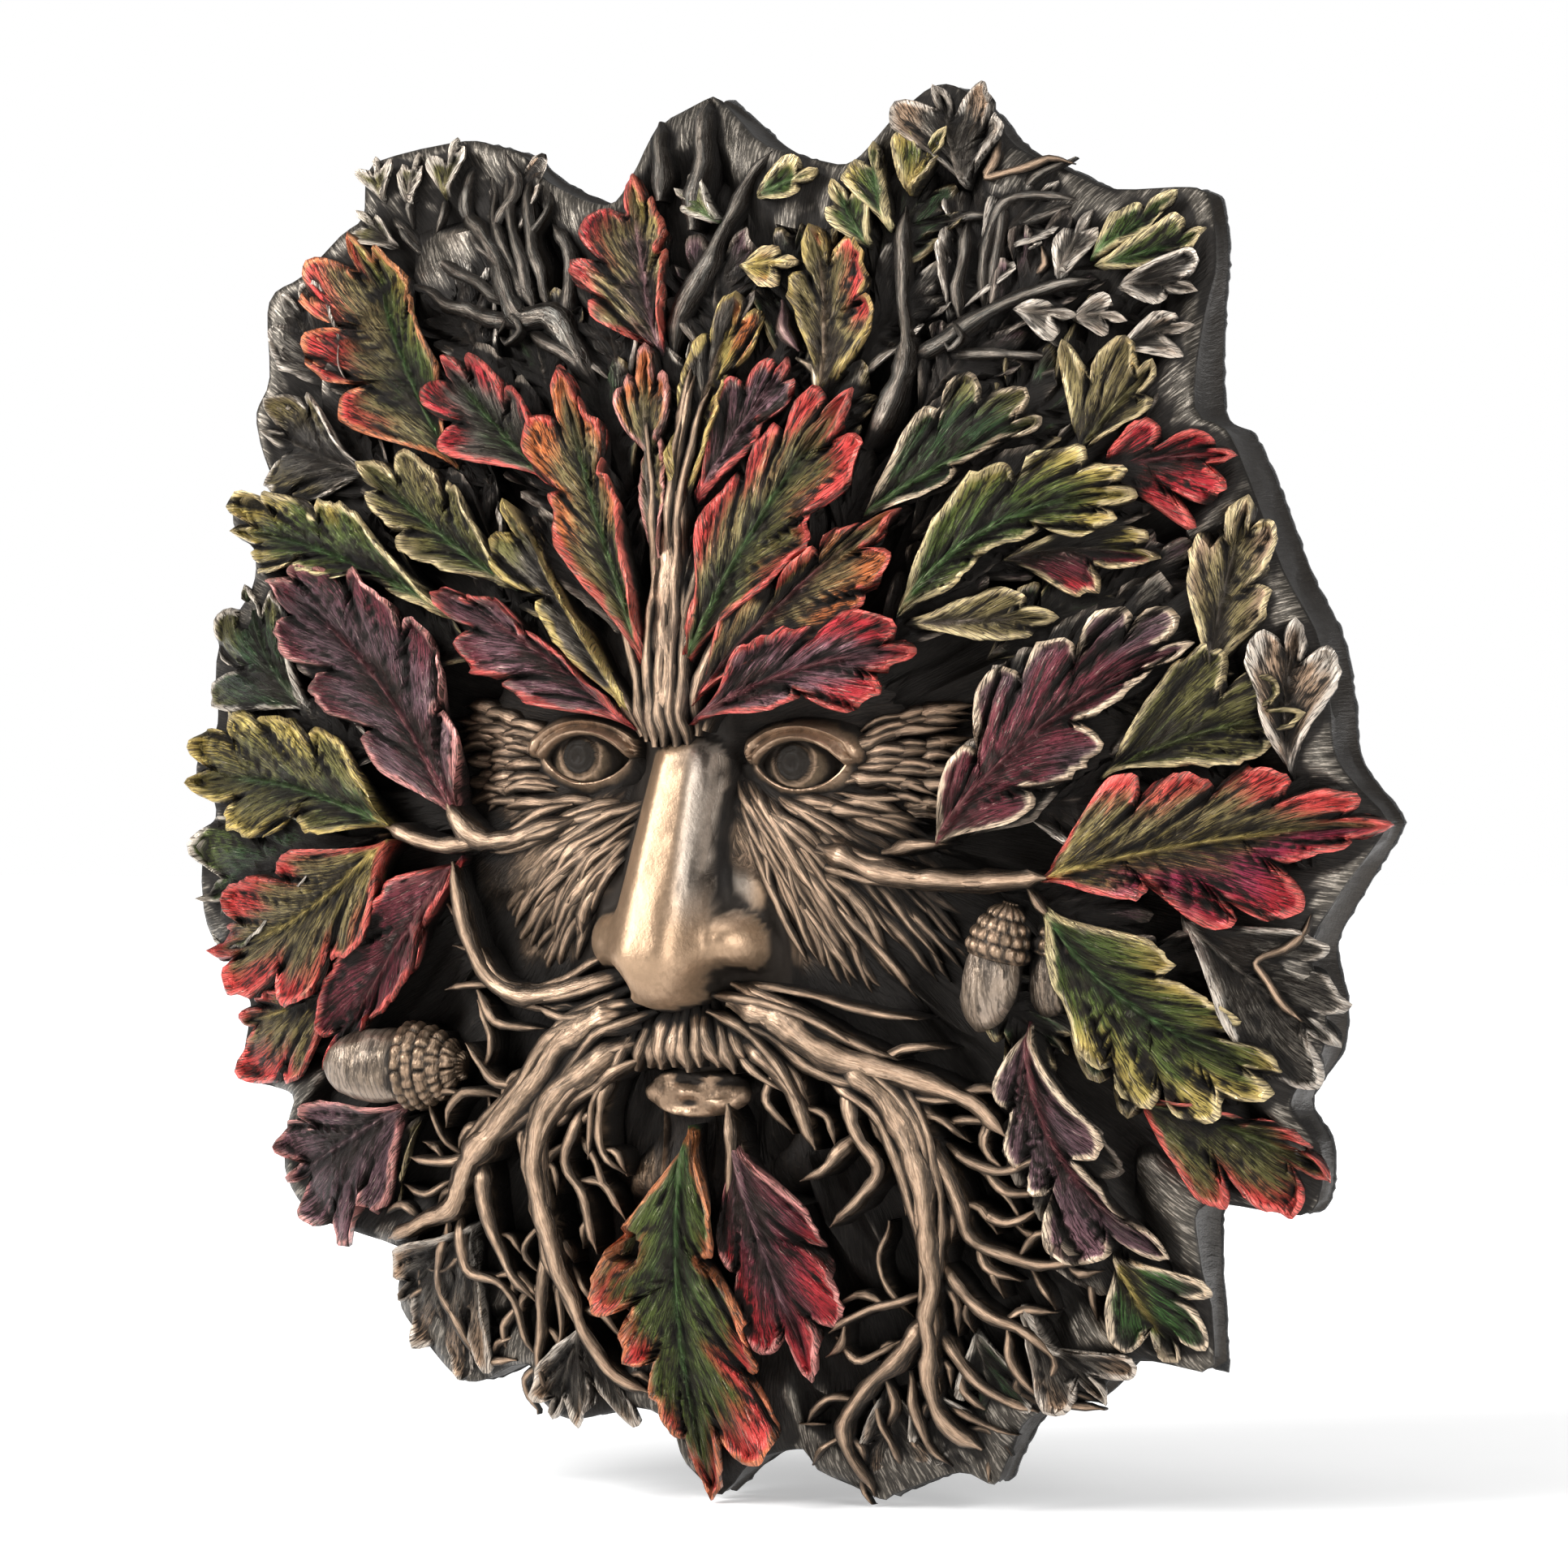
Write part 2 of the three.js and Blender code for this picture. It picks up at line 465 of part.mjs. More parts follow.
// A closed mesh under construction: vertices in millimetres and triangles facing out
class Shell {
  constructor() {
    this.points = [];
    this.triangles = [];
  }

  add(x, height, z) {
    return this.points.push(place(x, height, z)) - 1;
  }

  triangle(a, b, c) {
    if (a !== b && b !== c && a !== c) this.triangles.push([a, b, c]);
  }

  quad(a, b, c, d) {
    this.triangle(a, b, c);
    this.triangle(a, c, d);
  }

  // Skin over a row of rings, with the first and the last closed
  loft(rings) {
    const sides = rings[0].length;
    const first = rings[0];
    const last = rings[rings.length - 1];
    for (let i = 0; i < rings.length - 1; i += 1) {
      for (let k = 0; k < sides; k += 1) {
        const next = (k + 1) % sides;
        this.quad(rings[i][k], rings[i][next], rings[i + 1][next], rings[i + 1][k]);
      }
    }
    for (let k = 1; k < sides - 1; k += 1) {
      this.triangle(first[0], first[k + 1], first[k]);
      this.triangle(last[0], last[k], last[k + 1]);
    }
  }

  // Strip between two rows of vertices, each with its own share of the way along
  zip(rowA, rowB, flip) {
    let i = 0;
    let j = 0;
    while (i < rowA.length - 1 || j < rowB.length - 1) {
      const stepA = j === rowB.length - 1 || (i < rowA.length - 1 && rowA[i + 1].t <= rowB[j + 1].t);
      const next = stepA ? rowA[i + 1].id : rowB[j + 1].id;
      if (flip) this.triangle(rowA[i].id, next, rowB[j].id);
      else this.triangle(rowA[i].id, rowB[j].id, next);
      if (stepA) i += 1;
      else j += 1;
    }
  }

  volume() {
    return this.triangles.reduce((sum, [a, b, c]) => {
      const [p, q, r] = [a, b, c].map((i) => new THREE.Vector3(...this.points[i]));
      return sum + p.dot(q.cross(r)) / 6;
    }, 0);
  }

  // Closed solid for joining, turned right side out
  solid(wasm) {
    const turned = this.volume() < 0;
    const order = this.triangles.map(([a, b, c]) => (turned ? [a, c, b] : [a, b, c]));
    return new wasm.Manifold(new wasm.Mesh({
      numProp: 3,
      vertProperties: new Float32Array(this.points.flat()),
      triVerts: new Uint32Array(order.flat()),
    }));
  }
}

// Leaf form: the share of the midrib that bears side lobes, the angle at which side veins leave it
// and from where they turn to the tip, and half the width of the stalk
const fanShare = 0.84;
const lateralAngle = THREE.MathUtils.degToRad(56);
const turnFrom = 0.45;
const stalkHalf = 1.2;
const stalkShare = 0.12;

// Lobes: how wide before and after their vein as shares of the gap to the next, how far the corners
// of the lobe reach, how far the sinuses between them reach, and how much all of these droop
const peakBefore = { gap: 0.34, reach: 0.93 };
const peakAfter = { gap: 0.3, reach: 0.98 };
const tipShoulder = { share: 0.93, taper: 0.4 };
const sinus = { ofShorter: 0.56, ofLonger: 0.08 };
const peakDroop = 0.2;

function midribOf({ root, tip, bow }) {
  const [rx, rz] = root;
  const [tx, tz] = tip;
  const length = Math.hypot(tx - rx, tz - rz);
  const side = [-(tz - rz) / length, (tx - rx) / length];
  const control = [(rx + tx) / 2 + 2 * bow * side[0], (rz + tz) / 2 + 2 * bow * side[1]];
  const at = (t) => {
    const s = t * fanShare;
    const weights = [(1 - s) ** 2, 2 * s * (1 - s), s ** 2];
    return [0, 1].map((k) => weights[0] * root[k] + weights[1] * control[k] + weights[2] * tip[k]);
  };
  // Direction of the side vein that leaves the midrib at t, on the left (+1) or the right (-1)
  const vein = (t, hand) => {
    const [ax, az] = at(t - 0.01);
    const [bx, bz] = t < 1 ? at(t + 0.01) : tip;
    const turn = hand * lateralAngle * (1 - smooth(clamp01((t - turnFrom) / (1 - turnFrom))));
    const along = Math.atan2(bz - az, bx - ax) + turn;
    return [Math.cos(along), Math.sin(along)];
  };
  return { at, vein, tip, length };
}

// Lobe tips of one side as shares along the midrib and reaches from it
function lobesOnSide(midrib, lobes, hand) {
  const found = [];
  for (const lobe of lobes) {
    let best = null;
    for (let step = 2; step <= 98; step += 1) {
      const t = step / 100;
      const [mx, mz] = midrib.at(t);
      const [vx, vz] = midrib.vein(t, hand);
      const reach = (lobe[0] - mx) * vx + (lobe[1] - mz) * vz;
      const miss = Math.abs((lobe[0] - mx) * vz - (lobe[1] - mz) * vx);
      if (reach > 0 && (!best || miss < best.miss)) best = { t, reach, miss };
    }
    const near = midrib.at(Math.min(best ? best.t : 0.5, 0.99));
    const ahead = midrib.at(Math.min((best ? best.t : 0.5) + 0.02, 1));
    const cross = (ahead[0] - near[0]) * (lobe[1] - near[1]) - (ahead[1] - near[1]) * (lobe[0] - near[0]);
    if (best && Math.sign(cross) === hand) found.push(best);
  }
  return found.sort((a, b) => a.t - b.t);
}

// Outline of one side: a stalk, then two points across each lobe with a sinus between lobes
function sideOutline(midrib, lobes, hand) {
  const peaks = lobesOnSide(midrib, lobes, hand);
  const last = { t: 1, reach: Math.hypot(...[0, 1].map((k) => midrib.tip[k] - midrib.at(1)[k])) };
  const stops = [{ t: 0, reach: stalkHalf }, ...peaks, last];
  const outline = [{ t: stalkShare * (peaks[0] ? peaks[0].t : 1), reach: stalkHalf, low: 0 }];
  for (let i = 1; i < stops.length; i += 1) {
    const before = stops[i - 1];
    const here = stops[i];
    const gap = here.t - before.t;
    if (i > 1) {
      const [shorter, longer] = [before.reach, here.reach].sort((a, b) => a - b);
      const reach = sinus.ofShorter * shorter + sinus.ofLonger * longer;
      outline.push({ t: before.t + gap / 2, reach, low: 1 });
    }
    if (i < stops.length - 1) {
      const after = stops[i + 1].t - here.t;
      for (const [step, peak] of [[-gap, peakBefore], [after, peakAfter]]) {
        outline.push({ t: here.t + step * peak.gap, reach: peak.reach * here.reach, low: peakDroop });
      }
    }
  }
  const tipGap = 1 - stops[stops.length - 2].t;
  const shoulder = Math.max(tipShoulder.share, 1 - tipShoulder.taper * tipGap);
  outline.push({ t: shoulder, reach: tipShoulder.share * last.reach, low: peakDroop });
  return outline;
}

// Shares of the midrib at which the ridge and the keel have a vertex, the rise of the midrib above
// the blade, the drop of the tips of the lobes and of the root, and the depth of the keel
const midribStops = [0, 0.3, 0.6, 0.85, 1];
const keelStops = [0, 0.5, 1];
const keelEnd = 0.97;
const midribRise = 1.2;
const midribArch = [0.12, 0.92];
const lobeDrop = 1.7;
const tipDrop = 0.8;
const rootDrop = 2;
const keelDepth = 1.5;

// One leaf: a blade with a crisp edge whose underside narrows to a keel sunk in the ground
function leafShell(leaf) {
  const shell = new Shell();
  const midrib = midribOf(leaf);
  const top = (x, z) => crown(x, z) + leaf.lift;
  const ridge = midribStops.map((t) => {
    const [x, z] = midrib.at(t);
    const rise = midribRise * Math.sin(Math.PI * mix(...midribArch, t)) - (t === 0 ? rootDrop : 0);
    return { t, id: shell.add(x, top(x, z) + rise, z) };
  });
  const keel = keelStops.map((t) => {
    const [x, z] = midrib.at(Math.min(t, keelEnd));
    return { t, id: shell.add(x, Math.max(lowestKeel, ground(x, z) - keelDepth), z) };
  });
  const [tipX, tipZ] = leaf.tip;
  const tip = { t: 1, id: shell.add(tipX, top(tipX, tipZ) - tipDrop, tipZ) };
  for (const hand of [1, -1]) {
    const flip = hand < 0;
    const outline = sideOutline(midrib, leaf.lobes, hand).map(({ t, reach, low }) => {
      const [mx, mz] = midrib.at(t);
      const [vx, vz] = midrib.vein(t, hand);
      const x = mx + vx * reach;
      const z = mz + vz * reach;
      return { t, id: shell.add(x, top(x, z) - lobeDrop * low, z) };
    });
    const edge = [ridge[0], ...outline, tip];
    shell.zip(ridge, edge, flip);
    shell.zip(edge, keel, flip);
  }
  return shell;
}

// Section of a strand as shares of its half width, its thinner and lower start, and its sunk foot
const strandShoulder = { across: 0.9, drop: 0.6 };
const strandCrest = 0.35;
const strandStart = { share: 0.6, drop: 1.5 };
const strandFoot = 2;

// One strand: a ridge with a rounded back that stands on the ground
function strandShell({ path, from, to, lift }, surface = crown) {
  const shell = new Shell();
  const rings = path.map(([x, z], i) => {
    const [ax, az] = path[Math.max(0, i - 1)];
    const [bx, bz] = path[Math.min(path.length - 1, i + 1)];
    const length = Math.hypot(bx - ax, bz - az);
    const [nx, nz] = [-(bz - az) / length, (bx - ax) / length];
    const half = mix(from, to, i / (path.length - 1)) * (i ? 1 : strandStart.share);
    const height = surface(x, z) + lift - (i ? 0 : strandStart.drop);
    const foot = Math.max(lowestKeel, Math.min(ground(x, z), height) - strandFoot);
    const shoulder = height - half * strandShoulder.drop;
    const corners = [
      [1, foot], [strandShoulder.across, shoulder], [0, height + half * strandCrest],
      [-strandShoulder.across, shoulder], [-1, foot],
    ];
    return corners.map(([across, h]) => shell.add(x + nx * half * across, h, z + nz * half * across));
  });
  shell.loft(rings);
  return shell;
}

// Middle of the right eye and half its opening each way, how far its corners wrap back, how pointed
// they are, and the depth of its back; then the rings from the skin over the crest of the lids down
// to the eyeball, each a share of the opening and a height
const eye = {
  x: 21.3, z: 6, halfLength: 8.6, halfHeight: 4.1, sides: 14, wrap: 0.16, pointed: 0.6, back: 24,
};
const eyeRings = [
  { share: 2, height: 34 }, { share: 1.42, height: 40 }, { share: 1.12, height: 39.6 },
  { share: 1, height: 37 }, { share: 0.5, height: 38.6 }, { share: 0, height: 38.9 },
];

// Nose: bridge, tip and the half width of its flat back at each; how high its underside is and how
// far it is cut back; and how crisp the edges of its back are
const nose = {
  top: 10, tip: -38.5, bridgeHeight: 41, tipHeight: 55.6, halfTop: 4.4, halfTip: 7.6,
  underside: 4.5, underCut: 17, crispness: 7,
};

// Rounded forms of the face: middle, half widths across and up, height of the middle and the rise
const lumps = [
  { x: -11.2, z: -27, across: 6.8, up: 6.8, height: 39, rise: 6.6 },
  { x: 11.2, z: -27, across: 6.8, up: 6.8, height: 39, rise: 6.6 },
  { x: 1.2, z: -46, across: 10, up: 6.6, height: 34, rise: 7.5 },
  { x: 1.8, z: -55.6, across: 10, up: 3, height: 31, rise: 5.5 },
];
const lumpRings = [0, 0.45, 0.85, 1];
const lumpSides = 10;
const lumpBack = 20;

// The oval block of the face: middle, half sizes, height at its edge, rise, and fall outside it
const block = { z: -15, halfWidth: 49, halfHeight: 63, edge: 25, rise: 14.5, fall: 40 };

// Swellings (+) and hollows (-) of the face, those off the middle repeated on both sides
const swellings = {
  cheeks: { x: 25, z: -13, wide: 11, tall: 11, rise: 3.4 },
  brows: { x: 19, z: 18, wide: 14, tall: 4.5, rise: 4 },
  eyeSockets: { x: 20.5, z: 6, wide: 11, tall: 7, rise: -3.5 },
  besideBridge: { x: 9.5, z: 4, wide: 4, tall: 7, rise: -3 },
  mouthSetBack: { x: 0, z: -56, wide: 24, tall: 8, rise: -3.5 },
  mouthSlit: { x: 0, z: -52.3, wide: 17, tall: 1.6, rise: -6 },
  besideLip: { x: 14, z: -59, wide: 5, tall: 5, rise: -8 },
  chin: { x: 0, z: -65, wide: 9, tall: 4, rise: 2 },
};

// Height of the face, in squares out from the back of the cast
function faceHeight(x, z) {
  const ax = Math.abs(x);
  const oval = 1 - (x / block.halfWidth) ** 2 - ((z - block.z) / block.halfHeight) ** 2;
  const base = block.edge + (oval > 0 ? block.rise * Math.sqrt(oval) : block.fall * oval);
  const skin = Object.values(swellings).reduce(
    (sum, s) => sum + s.rise * bump((ax - s.x) / s.wide, (z - s.z) / s.tall),
    base,
  );
  if (z > nose.top + 2 || z < nose.tip - nose.underside) return skin;
  const down = clamp01((nose.top - z) / (nose.top - nose.tip));
  const fall = clamp01((nose.tip + 2 - z) / nose.underside);
  const ridge = mix(nose.bridgeHeight, nose.tipHeight, down) - nose.underCut * fall ** 1.5;
  const half = mix(nose.halfTop, nose.halfTip, down);
  return mix(skin, Math.max(skin, ridge), 1 / (1 + (ax / half) ** nose.crispness));
}

// Solid that narrows ring by ring from a flat back to a single point in front
function ringedShell(rings, back) {
  const shell = new Shell();
  const rows = rings.slice(0, -1).map((ring) => ring.map(([x, h, z]) => shell.add(x, h, z)));
  const sides = rows[0].length;
  const front = shell.add(...rings[rings.length - 1][0]);
  const behind = shell.add(back[0], back[1], back[2]);
  for (let k = 0; k < sides; k += 1) {
    const next = (k + 1) % sides;
    shell.triangle(behind, rows[0][k], rows[0][next]);
    for (let i = 0; i < rows.length - 1; i += 1) {
      shell.quad(rows[i][k], rows[i + 1][k], rows[i + 1][next], rows[i][next]);
    }
    shell.triangle(rows[rows.length - 1][k], front, rows[rows.length - 1][next]);
  }
  return shell;
}

// One eye: lids that stand up round a pointed opening, with the eyeball inside it
function eyeShell(hand) {
  const rings = eyeRings.map(({ share, height }) => turnsOf(eye.sides).map((turn) => {
    const across = share * eye.halfLength * Math.cos(turn);
    const rise = share * eye.halfHeight * Math.sin(turn) * Math.abs(Math.sin(turn)) ** eye.pointed;
    return [hand * (eye.x + across), height - eye.wrap * Math.abs(across), eye.z + rise];
  }));
  return ringedShell(rings, [hand * eye.x, eye.back, eye.z]);
}

function lumpShell({ x, z, across, up, height, rise }) {
  const rings = lumpRings.map((share) => turnsOf(lumpSides).map((turn) => {
    const width = Math.sqrt(1 - share ** 2);
    return [x + across * width * Math.cos(turn), height + rise * share, z + up * width * Math.sin(turn)];
  }));
  return ringedShell(rings, [x, lumpBack, z]);
}

// The face as a carved block with its lower parts sunk in the ground
function faceShell() {
  const shell = new Shell();
  const columns = [...faceColumns.slice(1).reverse().map((x) => -x), ...faceColumns];
  const heightAt = (x, z) => Math.max(2 * lowestKeel, faceHeight(x, z));
  const front = faceRows.map((z) => columns.map((x) => shell.add(x, heightAt(x, z), z)));
  const back = faceRows.map((z, r) => columns.map((x, c) => {
    const inside = r > 0 && r < faceRows.length - 1 && c > 0 && c < columns.length - 1;
    return inside ? -1 : shell.add(x, lowestKeel, z);
  }));
  for (let r = 0; r < faceRows.length - 1; r += 1) {
    for (let c = 0; c < columns.length - 1; c += 1) {
      shell.quad(front[r][c], front[r][c + 1], front[r + 1][c + 1], front[r + 1][c]);
    }
  }
  const lastRow = faceRows.length - 1;
  const lastColumn = columns.length - 1;
  const edge = [];
  for (let c = 0; c < lastColumn; c += 1) edge.push([0, c]);
  for (let r = 0; r < lastRow; r += 1) edge.push([r, lastColumn]);
  for (let c = lastColumn; c > 0; c -= 1) edge.push([lastRow, c]);
  for (let r = lastRow; r > 0; r -= 1) edge.push([r, 0]);
  const middle = shell.add(0, lowestKeel, block.z);
  edge.forEach(([r, c], i) => {
    const [nr, nc] = edge[(i + 1) % edge.length];
    shell.quad(front[r][c], back[r][c], back[nr][nc], front[nr][nc]);
    shell.triangle(back[r][c], middle, back[nr][nc]);
  });
  return shell;
}

// One acorn lying half sunk: a nut and a wider cup, turned about its long axis
function acornShell({ centre, tilt, halfLength, halfWidth, lift }) {
  const shell = new Shell();
  const turn = THREE.MathUtils.degToRad(tilt);
  const [dx, dz] = [-Math.sin(turn), Math.cos(turn)];
  const middle = crown(...centre) + lift - halfWidth * acornSunk;
  const foot = Math.max(lowestKeel, middle - halfWidth * acornFoot);
  const rings = acornStations.map(({ along, half }) => turnsOf(acornSides).map((angle) => {
    const across = Math.cos(angle) * halfWidth * half;
    const up = Math.sin(angle) * halfWidth * half;
    const x = centre[0] + dx * along * halfLength + dz * across;
    const z = centre[1] + dz * along * halfLength - dx * across;
    return shell.add(x, up < 0 ? foot : middle + up, z);
  }));
  shell.loft(rings);
  return shell;
}

// The slab that carries the carving: rings of its front as shares of the outline, with fewer facets
// than the outline, and the drop from the crown to the top of its side walls
const slabRings = [0.86, 0.6, 0.3];
const rimPointsPerFacet = 3;
const wallDrop = 1;

// Straight side walls, a flat back and a domed front
function slabShell() {
  const shell = new Shell();
  const centre = [dome.centreX, 0];
  const count = rim.length;
  const closed = (row) => [...row, { t: count, id: row[0].id }];
  const wallTop = closed(rim.map(([x, z], t) => ({ t, id: shell.add(x, crown(x, z) - wallDrop, z) })));
  const back = closed(rim.map(([x, z], t) => ({ t, id: shell.add(x, 0, z) })));
  const rings = slabRings.map((share) => closed(rim.flatMap(([x, z], t) => {
    if (t % rimPointsPerFacet) return [];
    const px = mix(centre[0], x, share);
    const pz = mix(centre[1], z, share);
    return [{ t, id: shell.add(px, ground(px, pz), pz) }];
  })));
  const top = [{ t: 0, id: shell.add(centre[0], ground(...centre), centre[1]) }];
  const bottom = [{ t: 0, id: shell.add(centre[0], 0, centre[1]) }];
  const levels = [bottom, back, wallTop, ...rings, top];
  for (let i = 0; i < levels.length - 1; i += 1) shell.zip(levels[i], levels[i + 1], false);
  return shell;
}

// Keeps the outer skin of a joined solid, so pockets closed all round are filled as in the cast
function outerSkin(mesh) {
  const { vertProperties: flat, triVerts } = mesh;
  const owner = Array.from({ length: flat.length / 3 }, (_, i) => i);
  const find = (i) => {
    let at = i;
    while (owner[at] !== at) {
      owner[at] = owner[owner[at]];
      at = owner[at];
    }
    return at;
  };
  for (let t = 0; t < triVerts.length; t += 3) {
    owner[find(triVerts[t])] = find(triVerts[t + 1]);
    owner[find(triVerts[t + 1])] = find(triVerts[t + 2]);
  }
  const volumes = new Map();
  for (let t = 0; t < triVerts.length; t += 3) {
    const corners = [0, 1, 2].map((k) => new THREE.Vector3().fromArray(flat, 3 * triVerts[t + k]));
    const part = find(triVerts[t]);
    const share = corners[0].dot(corners[1].cross(corners[2])) / 6;
    volumes.set(part, (volumes.get(part) || 0) + share);
  }
  const largest = [...volumes.entries()].sort((a, b) => b[1] - a[1])[0][0];
  const kept = [];
  for (let t = 0; t < triVerts.length; t += 3) {
    if (find(triVerts[t]) === largest) kept.push(triVerts[t], triVerts[t + 1], triVerts[t + 2]);
  }
  const points = [];
  for (let i = 0; i < flat.length; i += 3) points.push(Array.from(flat.slice(i, i + 3)));
  return { points, kept };
}

// Squared distance from a point to the planes of a list of triangles, each weighted by its area
function planeError(point, planes) {
  return planes.reduce((sum, { normal, offset, area }) => {
    const miss = normal[0] * point[0] + normal[1] * point[1] + normal[2] * point[2] - offset;
    return sum + area * miss * miss;
  }, 0);
}

function planeOf(points, [a, b, c]) {
  const [p, q, r] = [points[a], points[b], points[c]];
  const u = [q[0] - p[0], q[1] - p[1], q[2] - p[2]];
  const v = [r[0] - p[0], r[1] - p[1], r[2] - p[2]];
  const cross = [u[1] * v[2] - u[2] * v[1], u[2] * v[0] - u[0] * v[2], u[0] * v[1] - u[1] * v[0]];
  const size = Math.hypot(...cross);
  const normal = size > 0 ? cross.map((n) => n / size) : [0, 0, 0];
  return { normal, area: size / 2, offset: normal[0] * p[0] + normal[1] * p[1] + normal[2] * p[2] };
}

// The bare part of the face, between the cheek hair, the brow leaves and the chin
const bareFace = { halfWidth: 34, bottom: -60, top: 15, lowest: 24 };

function inFace([x, y, z]) {
  const { halfWidth, bottom, top, lowest } = bareFace;
  return Math.abs(x) < halfWidth * square && z > bottom * square && z < top * square && -y > lowest * square;
}

// Joins the ends of the edges that matter least to the form, until the facets are within the budget
function coarsen({ points, kept }, budget) {
  let triangles = [];
  for (let t = 0; t < kept.length; t += 3) triangles.push([kept[t], kept[t + 1], kept[t + 2]]);
  for (let pass = 0; pass < coarsenPasses && triangles.length > budget; pass += 1) {
    const around = points.map(() => []);
    triangles.forEach((triangle, index) => triangle.forEach((corner) => around[corner].push(index)));
    const planes = triangles.map((triangle) => planeOf(points, triangle));
    const edges = [];
    for (const [a, b, c] of triangles) {
      for (const [i, j] of [[a, b], [b, c], [c, a]]) {
        if (i > j) continue;
        const near = [...around[i], ...around[j]].map((index) => planes[index]);
        const middle = points[i].map((v, k) => (v + points[j][k]) / 2);
        const length = Math.hypot(...points[i].map((v, k) => v - points[j][k]));
        const spots = [points[i], points[j], middle];
        const best = spots.map((spot) => ({ spot, cost: planeError(spot, near) }))
          .sort((x, y) => x.cost - y.cost)[0];
        const worth = inFace(middle) ? faceWorth : 1;
        const cost = worth * (best.cost + coarsenEvenness * length * length);
        edges.push({ i, j, spot: best.spot, cost });
      }
    }
    edges.sort((x, y) => x.cost - y.cost);
    const touched = new Set();
    const dropped = new Set();
    const limit = Math.max(budget, Math.floor(triangles.length * coarsenShare));
    for (const { i, j, spot } of edges) {
      if (triangles.length - dropped.size <= limit) break;
      const fan = new Set([...around[i], ...around[j]]);
      const cornersAt = (v) => around[v].flatMap((index) => triangles[index]);
      const ringOf = (v) => new Set(cornersAt(v).filter((w) => w !== v));
      const [ringI, ringJ] = [ringOf(i), ringOf(j)];
      if ([i, j, ...ringI, ...ringJ].some((v) => touched.has(v))) continue;
      const shared = [...ringI].filter((v) => ringJ.has(v));
      if (shared.length !== 2) continue;
      const hasBoth = (index) => triangles[index].includes(i) && triangles[index].includes(j);
      const gone = [...fan].filter(hasBoth);
      const staying = [...fan].filter((index) => !hasBoth(index));
      const saved = [points[i], points[j]];
      points[i] = spot;
      points[j] = spot;
      const fine = staying.every((index) => {
        const after = planeOf(points, triangles[index]);
        const before = planes[index];
        const turn = after.normal.reduce((sum, n, k) => sum + n * before.normal[k], 0);
        return after.area > smallestFacet && (turn > sharpestTurn || before.area < smallestFacet);
      });
      if (!fine || gone.length !== 2) {
        [points[i], points[j]] = saved;
        continue;
      }
      staying.forEach((index) => {
        triangles[index] = triangles[index].map((v) => (v === j ? i : v));
      });
      gone.forEach((index) => dropped.add(index));
      [i, j, ...ringI, ...ringJ].forEach((v) => touched.add(v));
    }
    if (!dropped.size) break;
    triangles = triangles.filter((_, index) => !dropped.has(index));
  }
  const used = [...new Set(triangles.flat())];
  const renumber = new Map(used.map((old, index) => [old, index]));
  const geometry = new THREE.BufferGeometry();
  const flat = new Float32Array(used.flatMap((old) => [...points[old]]));
  geometry.setAttribute('position', new THREE.BufferAttribute(flat, 3));
  geometry.setIndex(triangles.flat().map((old) => renumber.get(old)));
  return geometry;
}

function castGeometry(wasm) {
  const lockStrand = ([start, end]) => {
    const middle = start.map((v, k) => (v + end[k]) / 2);
    return { path: [start, middle, end], ...lockForm };
  };
  const onFace = (x, z) => Math.max(faceHeight(x, z), ground(x, z) + lockEndHeight);
  const shells = [
    slabShell(),
    faceShell(),
    eyeShell(1),
    eyeShell(-1),
    ...lumps.map((lump) => lumpShell(lump)),
    ...Object.values(leaves).map((leaf) => leafShell(leaf)),
    ...Object.values(strands).map((strand) => strandShell(strand)),
    ...locks.map((path) => strandShell(lockStrand(path), onFace)),
    ...acorns.map((acorn) => acornShell(acorn)),
  ];
  const joined = shells.map((shell) => shell.solid(wasm)).reduce((sum, solid) => sum.add(solid));
  return coarsen(outerSkin(joined.getMesh()), facetBudget);
}

// The felt follows the outline of the back and stands a little proud of it
function feltGeometry() {
  const corners = rim.map(([x, z]) => new THREE.Vector2(x * square, z * square));
  const grown = corners.map((corner, i) => {
    const before = corners[(i + corners.length - 1) % corners.length];
    const after = corners[(i + 1) % corners.length];
    const along = after.clone().sub(before).normalize();
    return new THREE.Vector2(corner.x - along.y * feltOverhang, corner.y + along.x * feltOverhang);
  });
  const geometry = new THREE.ExtrudeGeometry(new THREE.Shape(grown), {
    depth: feltThickness, bevelEnabled: false, steps: 1,
  });
  geometry.rotateX(Math.PI / 2);
  return geometry;
}

const wasm = await Module();
wasm.setup();

const castMaterial = new THREE.MeshStandardMaterial({
  color: 0x7d6a52, roughness: 0.42, metalness: 0.35,
});
const feltMaterial = new THREE.MeshStandardMaterial({
  color: 0x121212, roughness: 0.97, metalness: 0,
});

const cast = new THREE.Mesh(castGeometry(wasm), castMaterial);
cast.name = 'cast_mask';

const felt = new THREE.Mesh(feltGeometry(), feltMaterial);
felt.name = 'felt_backing';

const greenMan = new THREE.Group();
greenMan.add(cast, felt);

export default greenMan;
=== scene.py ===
"""Looks of the green man wall plaque: a painted cold-cast carving on a felt back."""

import math

import bmesh
import bpy
import numpy as np
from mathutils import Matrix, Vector
from mathutils.bvhtree import BVHTree


